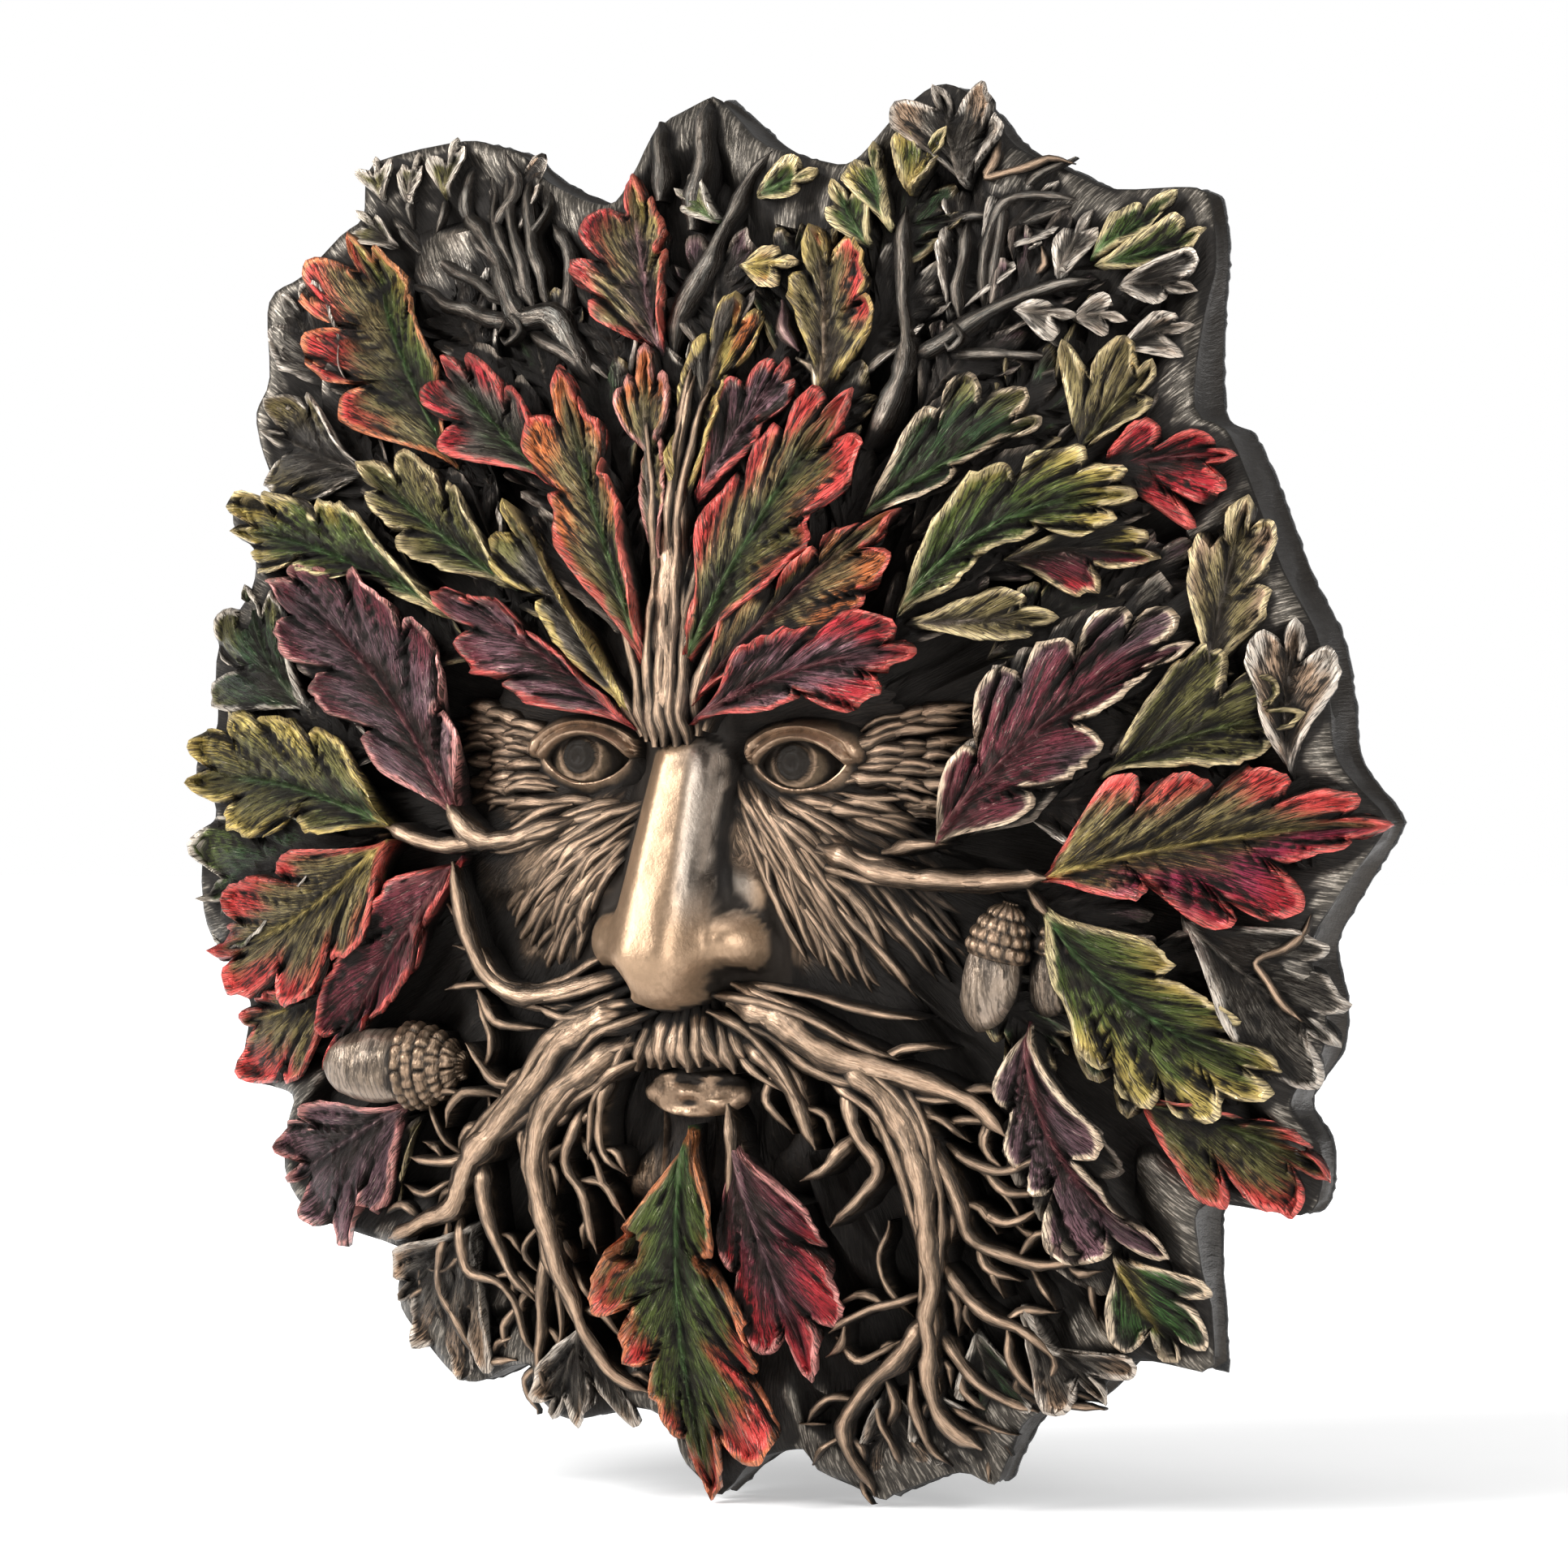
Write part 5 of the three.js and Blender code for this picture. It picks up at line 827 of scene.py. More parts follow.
def strand_part(name, path, start, end, lift, seed, paint, surface=crown, foot=ground, step=1.2,
                profile=None, turns=None, drop=3, wash_and_shade_weight=1):
    """A ridge with a rounded, grooved back that stands on the ground along a smooth path."""
    route = catmull(path, step)
    gaps = np.linalg.norm(np.diff(route, axis=0), axis=1)
    run = np.concatenate([[0], np.cumsum(gaps)])
    share = run / run[-1]
    across = sideways(route)
    route = route + across * (WOBBLE * noise(run / 6, 8.8, seed) * smooth(0, 5, run))[:, None]
    half = mix(start, end, share)
    half = half * (1 + 0.26 * noise(run / 4.5, 0, seed) + 0.14 * noise(run / 1.8, 5, seed))
    half *= mix(0.35, 1, smooth(0, 3 + start, run)) * mix(0.2, 1, smooth(0, 3.5, run[-1] - run))
    if turns is None:
        turns = BROAD_BACK_TURNS if start > BROAD_FROM else BACK_TURNS
    x, z = route.T
    sunk = drop * (1 - smooth(0, 7, run))
    height = surface(x, z) + lift - sunk - 1.6 * (1 - smooth(0, 4, run[-1] - run))
    if profile is not None:
        half, height = half * profile(share)[0], height + profile(share)[1]
    height = height + STRAND_SWAY * noise(run / 5, 3.3, seed)
    low = np.maximum(2, np.minimum(foot(x, z), height) - FOOT_DEPTH)
    bark = paint == "wood"
    rings, flows, marks = [], [], []
    for turn in turns:
        grooved = 1 + GROOVED * noise(turn * (1.6 + start / 1.6) + 0.09 * run, run / 11, seed + 1)
        out = np.cos(turn) * half * grooved
        up = (1.05 * np.sin(turn) - 0.65) * half * grooved
        rings.append(np.stack([x + across[:, 0] * out, height + up, z + across[:, 1] * out], -1))
        flows.append(np.stack([turn * 2.2 + 0 * run, run, 0 * run + seed * 5.1], -1))
        # Painted shade down the sides of the rounded back and, below, on its foot; a painted highlight along
        # its top
        shaded = (1 - np.sin(turn)) ** (0.4 if start > BROAD_FROM else 0.27)
        marks.append(np.full((len(run), 3), [shaded, np.sin(turn) ** 8, 0.1 if bark else 0.45]))
    for side in (-0.9, 0.9):
        rings.append(np.stack([x + across[:, 0] * half * side, low, z + across[:, 1] * half * side], -1))
        flows.append(np.stack([side * 2 + 0 * run, run, 0 * run + seed * 5.1], -1))
        marks.append(np.full((len(run), 3), [1.0, 0, 0]))
    points = np.stack(rings, 1)
    ids = ring_ids(*points.shape[:2])
    colour = np.broadcast_to(PAINT[paint], points.shape)
    if bark:
        worn = smooth(0.45, 1.0, share + 0.35 * noise(run / 6, 1.7, seed))[:, None, None]
        colour = mix(colour, 0.8 * PAINT["silver"], 0.5 * worn)
    return Part(
        name, points.reshape(-1, 3), np.concatenate([grid_triangles(ids), end_caps(ids)]),
        paint=colour.reshape(-1, 3), accent=PAINT["grey" if bark else "brown"],
        edge=PAINT["silver" if bark else "pale"],
        flow=np.stack(flows, 1).reshape(-1, 3), form=(NO_EDGE, BARK if bark else PLAIN, wash_and_shade_weight),
        mark=np.stack(marks, 1).reshape(-1, 3))


# The block of the face: its middle and half sizes, the height of its edge, the rise of its middle and
# how steeply it falls away outside
BLOCK = {"z": -15, "half_width": 49, "half_height": 63, "edge": 25, "rise": 14.5, "fall": 40}
# Swellings and hollows on it, the same on both sides: middle, half width and half height, and rise
SWELLINGS = [
    (25, -13, 11, 11, 3.4), (19, 18, 14, 4.5, 4), (20.5, 6, 11, 7, -3.5), (9.5, 4, 4, 7, -3),
    (0, -56, 24, 8, -3.5), (0, -52.3, 17, 1.6, -6), (14, -59, 5, 5, -8), (0, -65, 9, 4, 2),
]
# Carving of the skin, given the same way: creases under the eyes, folds beside the nose, hollows
CREASES = [
    (20, -4.5, 10, 1.3, -0.9), (18.5, -24, 2.2, 8, -2.2), (0, 12.5, 5, 2.0, -1.8),
    (16, -37, 5, 2.5, 1.0), (19, -52, 6, 3, -3), (14, 6, 4, 5, -1.0), (0, -64, 18, 6, -6),
]
# Nose: z of its upper end and its tip; heights of its bridge, its tip and its foot; half widths at
# both ends, radius of the round under the tip and flat share of its back; x of its upper end and tip
NOSE_TOP, NOSE_TIP = 10, -29
NOSE_BRIDGE, NOSE_HEIGHT, NOSE_FOOT = 42.5, 54.2, 31
NOSE_HALF_TOP, NOSE_HALF_TIP, NOSE_ROUND, NOSE_FLAT = 8.6, 13.8, 10.4, 0.2
NOSE_LEAN = (2.0, -1.5)
# Wing of the nose: its middle, half width and half height, the height it starts from and its rise
WING = (9.8, -27.4, 8.0, 7.2, 37.5, 9.0)
# Nostril: its middle, half width, half height and depth
NOSTRIL = (10.6, -34.6, 4.2, 2.4, 14)
# Softness of the fillets between nose and wing, and between nose and face
WING_FILLET, NOSE_FILLET = 4, 2.0
# How far the skin sinks from the roots of the locks to their ends
LOCK_BED = 2.2


def blend_up(a, b, soft):
    """The higher of two surfaces, with a soft fillet where they meet."""
    share = np.clip(0.5 + 0.5 * (a - b) / soft, 0, 1)
    return mix(b, a, share) + soft * share * (1 - share)


def nose_height(x, z):
    """A rounded wedge that rises to a ball at its tip, with a wing on either side."""
    down = np.clip((NOSE_TOP - z) / (NOSE_TOP - NOSE_TIP), 0, 1)
    ax = np.abs(x - mix(*NOSE_LEAN, down))
    half = mix(NOSE_HALF_TOP, NOSE_HALF_TIP, down ** 0.8)
    under = np.clip((NOSE_TIP - z) / NOSE_ROUND, 0, 1)
    round_end = np.sqrt(1 - under ** 2.5)
    top = mix(NOSE_BRIDGE, NOSE_HEIGHT, down) - NOSE_ROUND * (1 - round_end)
    top = top - 5 * np.maximum(NOSE_TIP - NOSE_ROUND - z, 0)
    half = half * mix(0.35, 1, round_end)
    flat = NOSE_FLAT * (1 - 0.7 * down ** 3)
    aside = np.clip((ax / half - flat) / (1 - flat), 0, 1)
    round_back = 1 - aside ** mix(1.8, 2.6, down ** 2)
    nose = NOSE_FOOT + (top - NOSE_FOOT) * round_back - 3 * np.maximum(ax - half, 0)
    cx, cz, wide, tall, low, rise = WING
    ax = np.abs(x)
    far = np.hypot((ax - cx) / wide, (z - cz) / tall)
    wing = low + np.where(far < 1, rise * np.maximum(1 - far ** 2, 0) ** 0.9, 12 * (1 - far))
    nose = blend_up(nose, wing, WING_FILLET)
    cx, cz, wide, tall, deep = NOSTRIL
    arched = z - cz + 0.05 * (ax - cx) ** 2
    nostril = np.exp(-((ax - cx) / wide) ** 2 - (arched / tall) ** 2)
    return nose - deep * nostril - 8 * smooth(7, 13, z) - 30 * smooth(12, 20, z)


def lock_share(x, z):
    """How far along the locks of the cheeks a point lies: 0 at their roots, 1 at their ends."""
    total, weights = np.zeros_like(x), np.full_like(x, 1e-6)
    for fan in LOCK_FANS.values():
        for start, end in fan:
            start, end = np.array(start, float), np.array(end, float)
            run = end - start
            length = np.hypot(*run)
            dx, dz = x - start[0], z - start[1]
            share = (dx * run[0] + dz * run[1]) / length ** 2
            aside = np.abs(dx * run[1] - dz * run[0]) / length
            weight = np.exp(-(aside / 7) ** 2)
            total += weight * share
            weights += weight
    return np.clip(total / weights, 0, 1.5)


def face_height(x, z, carved=True):
    """Height of the face off the back, with or without the nose and the carving of the skin."""
    ax = np.abs(x)
    oval = 1 - (x / BLOCK["half_width"]) ** 2 - ((z - BLOCK["z"]) / BLOCK["half_height"]) ** 2
    skin = BLOCK["edge"] + np.where(
        oval > 0, BLOCK["rise"] * np.sqrt(np.maximum(oval, 0)), BLOCK["fall"] * oval)
    for cx, cz, wide, tall, rise in SWELLINGS + (CREASES if carved else []):
        skin = skin + rise * np.exp(-((ax - cx) / wide) ** 2 - ((z - cz) / tall) ** 2)
    if not carved:
        return skin
    skin = skin - LOCK_BED * smooth(0.15, 1, lock_share(x, z))
    return blend_up(skin, nose_height(x, z), NOSE_FILLET)


def sheet_part(name, columns, rows, height, floor, **paint):
    """A grid of heights closed by side walls and a flat floor."""
    x, z = np.meshgrid(columns, rows)
    count = x.size
    ids = np.arange(count).reshape(x.shape)
    top = np.stack([x, np.maximum(height(x, z), floor + 1), z], -1).reshape(-1, 3)
    ring = np.concatenate([ids[0, :-1], ids[:-1, -1], ids[-1, :0:-1], ids[:0:-1, 0]])
    low = top[ring].copy()
    low[:, 1] = floor
    centre = np.array([[x.mean(), floor, z.mean()]])
    below = count + np.arange(len(ring))
    middle = count + len(ring)
    following = np.roll(np.arange(len(ring)), -1)
    sides = np.concatenate([
        np.stack([ring, below[following], below], 1),
        np.stack([ring, ring[following], below[following]], 1),
        np.stack([below, below[following], np.full(len(ring), middle)], 1)])
    points = np.concatenate([top, low, centre])
    triangles = np.concatenate([grid_triangles(ids), sides])
    return Part(name, points, triangles, flow=plain_flow(points), **paint)


def spaced(stops):
    """Positions that run through the stops given as (from, to, step)."""
    found = [stops[0][0]]
    for low, high, step in stops:
        count = max(1, int(round((high - low) / step)))
        found += list(low + (high - low) * (np.arange(count) + 1) / count)
    return np.array(found)


def fan_flow(x, z):
    """Lines that fan out over the cheeks from beside the bridge of the nose."""
    dx, dz = np.abs(x) - 3, z - 9
    return np.arctan2(dz, dx) * 17, np.hypot(dx, dz)


# Columns and rows of the grid of the face: from, to and step, finest at the nose
FACE_COLUMNS = [(-48, -32, 2), (-32, -24, 1.3), (-24, 24, 0.75), (24, 32, 1.3), (32, 48, 2)]
FACE_ROWS = [(-76, -62, 2), (-62, -44, 1.2), (-44, -22, 0.8), (-22, 18, 1.1), (18, 44, 3)]
# Flat floor that the face block stands on, off the back
FACE_FLOOR = 2


def face_part():
    """The face with bare skin in its middle, fibres over the cheeks and a worn side of the nose."""

    def height(x, z):
        h = face_height(x, z)
        rough = 0.2 * noise(x / 3, z / 3, 11) + 0.1 * noise(x / 1.4, z / 1.4, 12)
        turn, far = fan_flow(x, z)
        fibres = 0.7 * noise(turn, far / 11, 13)
        return h + 0.6 * rough + 1.3 * fibres * smooth(10, 15, np.abs(x)) * smooth(4, -3, z) * (
            1 - smooth(-17, -20, z) * smooth(23, 20, np.abs(x)))

    part = sheet_part("face", spaced(FACE_COLUMNS), spaced(FACE_ROWS), height, FACE_FLOOR,
                      paint=PAINT["bronze"], form=(NO_EDGE, PLAIN, 0.55))
    x, z = part.points[:, 0], part.points[:, 2]
    turn, far = fan_flow(x, z)
    half = mix(8, 20, smooth(-12, -20, z))
    bare = smooth(half + 3, half, np.abs(x)) * smooth(-47, -44, z)
    worn = smooth(2.5, 5.5, x) * smooth(17, 13, x) * smooth(-26, -16, z) * bare
    pits = worn * smooth(-0.1, 0.6, noise(x / 1.7, z / 2.4, 14) + 0.6 * noise(x / 0.8, z / 0.9, 15))
    beyond = np.maximum(smooth(33, 37, np.abs(x)) * smooth(-3, -8, z),
                        smooth(-30, -34, z) * smooth(19, 23, np.abs(x)))
    # Darker: a little painted shade over the face outside its bare skin, more on its far parts low between
    # the locks, and the dark pits of the worn side of the nose
    shaded = np.clip(0.2 * (1 - bare) + 0.75 * pits + beyond, 0, 1)
    part.values["mark"] = np.stack([shaded, 0 * x, mix(0.3, 1, bare)], -1)
    colour = mix(PAINT["bronze"], PAINT["polished"], bare[:, None])
    part.values["paint"] = mix(colour, 0.75 * PAINT["silver"], 0.7 * worn[:, None])
    smooth_skin = np.stack([x / 3, z * 1.5, 0 * x], -1)
    streaked = np.stack([turn * 1.7, far, 0 * x], -1)
    part.values["flow"] = mix(streaked, smooth_skin, bare[:, None])
    return part


# Eyes: their middles, and half the length and height of the opening
EYES = {-1: (-19.1, 6), 1: (23.3, 4.8)}
EYE_HALF_LENGTH, EYE_HALF_HEIGHT = 8.3, 4.3
# Radii of the iris and the pupil, and how far they sit up and to the outer corner
IRIS, PUPIL, IRIS_UP, IRIS_ASIDE = 3.7, 1.2, 0.4, -1.2
# Eyeball: height of its front, its radius squared, the most height that it may reach, and the height
# of the point behind it
BALL_FRONT, BALL_SQUARED, BALL_MOST, EYE_BEHIND = 38.9, 110, 39.2, 24
# Grid from the middle of the opening outwards: shares of the opening, the last ones over the lids
EYE_SHARES = [*np.linspace(0, 0.97, 20), 1.0, 1.03, 1.06, 1.11, 1.18, 1.28, 1.38, 1.46, 1.54, 1.62, 1.72,
              1.85, 2.0, 2.2, 2.4]
# Heights across the lids, at shares of the opening
UPPER_LID = [(1.0, 38.2), (1.03, 40.0), (1.1, 41.0), (1.22, 41.3), (1.34, 40.4), (1.42, 39.3), (1.5, 40.0),
             (1.62, 40.4), (1.75, 39.6), (1.9, 37.8), (2.1, 35.5), (2.4, 32)]
LOWER_LID = [(1.0, 37.3), (1.04, 38.1), (1.1, 38.3), (1.2, 37.9), (1.35, 37.3), (1.55, 36.9),
             (1.75, 36.0), (1.95, 35), (2.15, 33.5), (2.4, 32)]


def eye_part(hand, seed):
    """An eyeball with iris and pupil between its two lids."""
    cx, cz = EYES[hand]
    turns = np.linspace(0, 2 * np.pi, 73)[:-1]
    q, turn = np.meshgrid(EYE_SHARES, turns, indexing="ij")
    grow = np.where(q > 1, 1 + (q - 1) * 0.75, q)
    dx = grow * EYE_HALF_LENGTH * np.cos(turn)
    dz = q * EYE_HALF_HEIGHT * np.sin(turn) * np.abs(np.sin(turn)) ** mix(0.6, 0.15, smooth(1, 2, q))
    x = cx + hand * dx
    z = cz + dz
    out = np.hypot(hand * dx - IRIS_ASIDE, dz - IRIS_UP)
    ball = BALL_FRONT + np.sqrt(np.maximum(BALL_SQUARED - out ** 2, 0)) - math.sqrt(BALL_SQUARED)
    ball -= 0.6 * bell(out - IRIS, 0.4) + 0.35 * bell(out - 2.5, 0.35) + 0.9 * bell(out, PUPIL)
    outer = smooth(0, 0.7, np.cos(turn))
    rise = smooth(-0.05, 0.75, np.sin(turn))
    narrow = mix(mix(0.35, 0.75, outer), 1, rise)
    upper = np.interp(np.where(q > 1, 1 + (q - 1) / narrow, q), *zip(*UPPER_LID))
    lower = np.interp(q, *zip(*LOWER_LID))
    lid = mix(lower, upper, smooth(-0.1, 0.5, np.sin(turn)))
    height = np.where(q < 0.99, np.minimum(ball, BALL_MOST), lid) - 0.16 * np.abs(dx)
    height += (0.15 * noise(x / 1.5, z / 1.5, seed) + 0.5 * noise(x / 4, z / 3, seed + 5)) * (q > 1.05)
    ids = ring_ids(*q.shape)
    ids[0] = ids[0, 0]
    points = np.stack([x, height, z], -1).reshape(-1, 3)
    points = np.concatenate([points, [[cx, EYE_BEHIND, cz]]])
    triangles = np.concatenate([grid_triangles(ids), fan_behind(ids[-1], len(points) - 1)])
    colour = np.broadcast_to(PAINT["bronze"], (len(points), 3)).copy()
    inside = np.append((q < 1.0).ravel(), False)
    iris = np.append((out < IRIS - 0.2).ravel(), False)
    ring = np.append((np.abs(out - IRIS - 0.3) < 0.4).ravel(), False)
    lid_end = mix(1.12, 1 + 0.66 * narrow, smooth(-0.2, 0.4, np.sin(turn)))
    around = np.append(smooth(lid_end, lid_end + 0.3, q).ravel() * 0.85, 0)
    colour = mix(colour, 0.6 * PAINT["brown"], around[:, None])
    colour[inside] = PAINT["brown"] * 0.6
    colour[iris] = PAINT["dark"] * 0.5
    colour[inside & ring] = PAINT["bronze"] * 0.8
    nothing = np.zeros(len(points))
    form = np.stack([nothing + NO_EDGE, np.where(inside, EYEBALL, PLAIN), nothing + 0.6], -1)
    return Part(
        "eye", points, triangles, paint=colour, accent=colour, flow=plain_flow(points), form=form,
        mark=(0, 0, 0.7))


def dome_part(name, cx, cz, across, up, height, rise, rings=14, sides=44, carve=None, **paint):
    """A rounded lump that narrows to a point behind the skin."""
    q = np.sin(np.linspace(0, np.pi / 2, rings))[:, None]
    turn = (np.arange(sides) * 2 * np.pi / sides)[None]
    x = cx + across * q * np.cos(turn)
    z = cz + up * q * np.sin(turn)
    h = height + rise * np.sqrt(np.maximum(1 - q ** 2, 0)) + 0 * turn
    if carve is not None:
        h = h + carve(x, z)
    ids = ring_ids(*x.shape)
    ids[0] = ids[0, 0]
    points = np.concatenate([
        np.stack([x, h, z], -1).reshape(-1, 3), [[cx, min(20, height - 6), cz]]])
    triangles = np.concatenate([grid_triangles(ids), fan_behind(ids[-1], len(points) - 1)])
    return Part(name, points, triangles, flow=plain_flow(points), **paint)


# Tuft: from x, to x and z of the upper and the lower ends of its locks, their number and height
TUFT_TOP, TUFT_FOOT, TUFT_LOCKS = (-4.8, 7.8, -38), (-9.4, 13, -51.8), 9
TUFT_HEIGHT, TUFT_ARCH, TUFT_GROUND = 37.2, 2.2, 30


def tuft_parts():
    """Upright locks under the nose that widen to their blunt ends."""
    parts = []
    for k in range(TUFT_LOCKS):
        share = k / (TUFT_LOCKS - 1)
        top = np.array([mix(*TUFT_TOP[:2], share), TUFT_TOP[2]])
        foot = np.array([mix(*TUFT_FOOT[:2], share), TUFT_FOOT[2] + 1.6 * hashed(k, 1, 7)])
        bend = np.array([0.5 * (2 * hashed(k, 2, 7) - 1), 0])
        arch = TUFT_ARCH * np.sin(np.pi * share)

        def lift(x, z, arch=arch):
            return TUFT_HEIGHT + arch + 1.6 * smooth(-38, -44, z) - 1.2 * smooth(-47, -52, z) + 0 * x

        parts.append(strand_part(
            f"tuft_{k}", [top, mix(top, foot, 0.5) + bend, foot], 1.5, 2.5, 0, 30 + k, "bronze",
            surface=lift, foot=lambda x, z: TUFT_GROUND + 0 * x, step=1.2, drop=1))
    return parts


def lip_carve(x, z):
    """Cracks and grit of the lower lip, and the line across it."""
    return 1.3 * noise(x / 3.5, z / 2.2, 31) + 0.5 * noise(x / 1.5, z / 1.5, 32) - 0.9 * bell(z + 53.2, 0.7)


def on_face(x, z):
    """The height that the locks lie on: the face, or the ground outside it."""
    return np.maximum(face_height(x, z, carved=False), ground(x, z) + 3.5)


# Layers of locks, lowest first: share of the fan at the starts and ends, lift, half width
LOCK_LAYERS = [(0.2, 1.1, -1.6, 1.7), (-0.08, 0.88, -0.4, 1.5), (-0.35, 0.6, 0.4, 1.3)]
# Turns of the back of a lock, seen along it
LOCK_TURNS = np.radians([0, 48, 90, 132, 180])
# The locks beside the eyes, the first ones of each fan, start and end further out and stand higher:
# the places in the fan where that sets in and where it is complete, and how much it is
BESIDE_EYE, BESIDE_EYE_HIGHER = (3.6, 2.8), (3.6, 2.6)
BESIDE_EYE_SINCE, BESIDE_EYE_UNTIL, BESIDE_EYE_LIFT = 0.36, 0.12, 1.5


def lock_shape(share):
    """Width of a lock along its length, and how far its middle stands up."""
    width = np.interp(share, [0, 0.35, 0.7, 1], [0.45, 1, 0.75, 0.2])
    return width, 0.7 * np.sin(np.pi * np.clip(share * 1.15, 0, 1)) - 0.2


def lock_parts():
    """Pointed locks of hair that fan out over the cheeks in three layers."""
    parts = []
    for side, fan in LOCK_FANS.items():
        fan = np.array(fan, float)
        hand = -1 if side == "left" else 1
        for k in range(LOCKS_PER_SIDE):
            seed = 300 + 50 * hand + k
            jitter = [2 * hashed(k, n, seed) - 1 for n in range(6)]
            since, until, lift, broad = LOCK_LAYERS[k % len(LOCK_LAYERS)]
            w = np.clip((k + 1.2 * jitter[0]) / (LOCKS_PER_SIDE - 1), 0, 1) * (len(fan) - 1)
            i = min(int(w), len(fan) - 2)
            a = mix(fan[i][0], fan[i + 1][0], w - i)
            b = mix(fan[i][1], fan[i + 1][1], w - i)
            run = b - a
            length = np.hypot(*run)
            normal = np.array([-run[1], run[0]]) / length
            since += BESIDE_EYE_SINCE * smooth(*BESIDE_EYE, w)
            until += BESIDE_EYE_UNTIL * smooth(*BESIDE_EYE, w)
            start = a + run * (since + 0.07 * jitter[1])
            end = a + run * (until + 0.09 * jitter[2]) + normal * 0.9 * jitter[3]
            bend = normal * hand * (1.2 + 1.2 * jitter[4]) * (length / 24)
            path = [start, mix(start, end, 0.3) + bend * 0.7, mix(start, end, 0.6) + bend, end]
            parts.append(strand_part(
                f"lock_{side}_{k}", path, broad + 0.35 * jitter[5], broad + 0.35 * jitter[5],
                lift + BESIDE_EYE_LIFT * smooth(*BESIDE_EYE_HIGHER, w), seed,
                "bronze", surface=on_face, step=1.8, profile=lock_shape,
                turns=LOCK_TURNS, drop=1.6, wash_and_shade_weight=0.15 if w < 3 else 0.4))
    return parts


def bundle_parts(name, path, start, end, lift, seed, paint):
    """A thick root: strands that run side by side over a core and merge towards its end."""
    parts = [strand_part(name, path, 0.7 * start, end, lift, seed, paint)]
    route = catmull(path, 4)
    across = sideways(route)
    share = np.linspace(0, 1, len(route))
    count = 3 if start < 4 else 4
    for k in range(count):
        side = 2 * k / (count - 1) - 1
        last = max(4, int(len(route) * (0.55 + 0.45 * hashed(k, 2, seed))))
        sway = 0.3 * np.sin(6 * share + 6 * hashed(k, 3, seed))
        off = start * (1 - share) ** 0.8 * (0.85 * side + sway)
        line = (route + across * off[:, None])[:last]
        parts.append(strand_part(
            f"{name}_{k}", line, 0.2 * start + 0.55, 0.6, lift + 0.2 - 1.1 * abs(side), seed + 7 * k + 1,
            paint, step=1.5))
    return parts


def twig_parts(name, path, seed):
    """Thin side roots that leave a root on either side."""
    route = catmull(path, 1.5)
    parts = []
    for k, at in enumerate(np.arange(6, len(route) - 3, 5)):
        here, ahead = route[at], route[at + 2] - route[at]
        hand = 1 if k % 2 else -1
        turn = np.arctan2(ahead[1], ahead[0]) + hand * (0.6 + 0.5 * hashed(k, 1, seed))
        long = 6 + 7 * hashed(k, 2, seed)
        bend = turn - hand * (0.5 + 0.6 * hashed(k, 3, seed))
        first = here + 0.5 * long * np.array([np.cos(turn), np.sin(turn)])
        last = first + 0.6 * long * np.array([np.cos(bend), np.sin(bend)])
        parts.append(strand_part(
            f"{name}_{k}", [here, first, last], 1.05, 0.6, -1.3, seed + 3 * k, "bronze", drop=0.5))
    return parts


# Outline of an acorn from its point to the end of its cup: share of the half length and the half
# width there; where its cup starts, and the size of the scales of the cup
ACORN_OUTLINE = [
    (-1.0, 0.06), (-0.96, 0.2), (-0.88, 0.46), (-0.75, 0.72), (-0.55, 0.9), (-0.3, 1.0), (-0.05, 1.0),
    (0.13, 0.95), (0.15, 1.06), (0.2, 1.13), (0.35, 1.12), (0.55, 1.0), (0.72, 0.82), (0.86, 0.58),
    (0.95, 0.36), (1.0, 0.2)]
CUP_FROM, SCALE_SIZE = 0.14, 2.3


def acorn_part(name, centre, tilt, half_length, half_width, lift, seed):
    """An acorn lying half sunk: a smooth nut with a point, in a cup of small scales."""
    turn = math.radians(tilt)
    way = np.array([-math.sin(turn), math.cos(turn)])
    middle = crown(*centre) + lift - half_width * 0.35
    foot = max(2, middle - half_width * 1.8)
    along = np.concatenate([np.linspace(-1, 0.13, 18), np.linspace(0.15, 1, 26)])
    half = np.interp(along, *zip(*ACORN_OUTLINE))
    angles = np.radians(np.linspace(-20, 200, 41))
    a, g = np.meshgrid(along, angles, indexing="ij")
    h = np.repeat(half[:, None], len(angles), 1)
    rows, around = a * half_length / SCALE_SIZE, g * half_width / SCALE_SIZE
    scales = (np.abs(np.sin(rows * np.pi)) * np.abs(np.sin((around + 0.5 * np.floor(rows)) * np.pi))) ** 0.5
    h = h + np.where(a > 0.16, 0.17 * scales - 0.07, 0.035 * noise(a * 5, g * 4, seed))
    x = centre[0] + way[0] * a * half_length + way[1] * np.cos(g) * half_width * h
    z = centre[1] + way[1] * a * half_length - way[0] * np.cos(g) * half_width * h
    y = middle + np.sin(g) * half_width * h
    points = np.stack([x, y, z], -1)
    low = points[:, [-1, 0]].copy()
    low[..., 1] = foot
    points = np.concatenate([points, low], 1)
    ids = ring_ids(*points.shape[:2])
    cup = np.concatenate([a, a[:, :2]], 1) > CUP_FROM
    nut = mix(PAINT["bronze"], PAINT["silver"], 0.4) * 0.9
    colour = np.where(cup[..., None], PAINT["bronze"] * 0.8, nut)
    flow = np.stack([points[..., 0] / 2, points[..., 2], 0 * points[..., 0]], -1)
    deep = np.concatenate([scales, scales[:, :2]], 1)
    mark = np.stack([np.where(cup, 1 - deep, 0.35), 0 * deep, np.where(cup, 0.4, 0.3)], -1)
    return Part(
        name, points.reshape(-1, 3), np.concatenate([grid_triangles(ids), end_caps(ids)]),
        paint=colour.reshape(-1, 3), flow=flow.reshape(-1, 3), mark=mark.reshape(-1, 3))


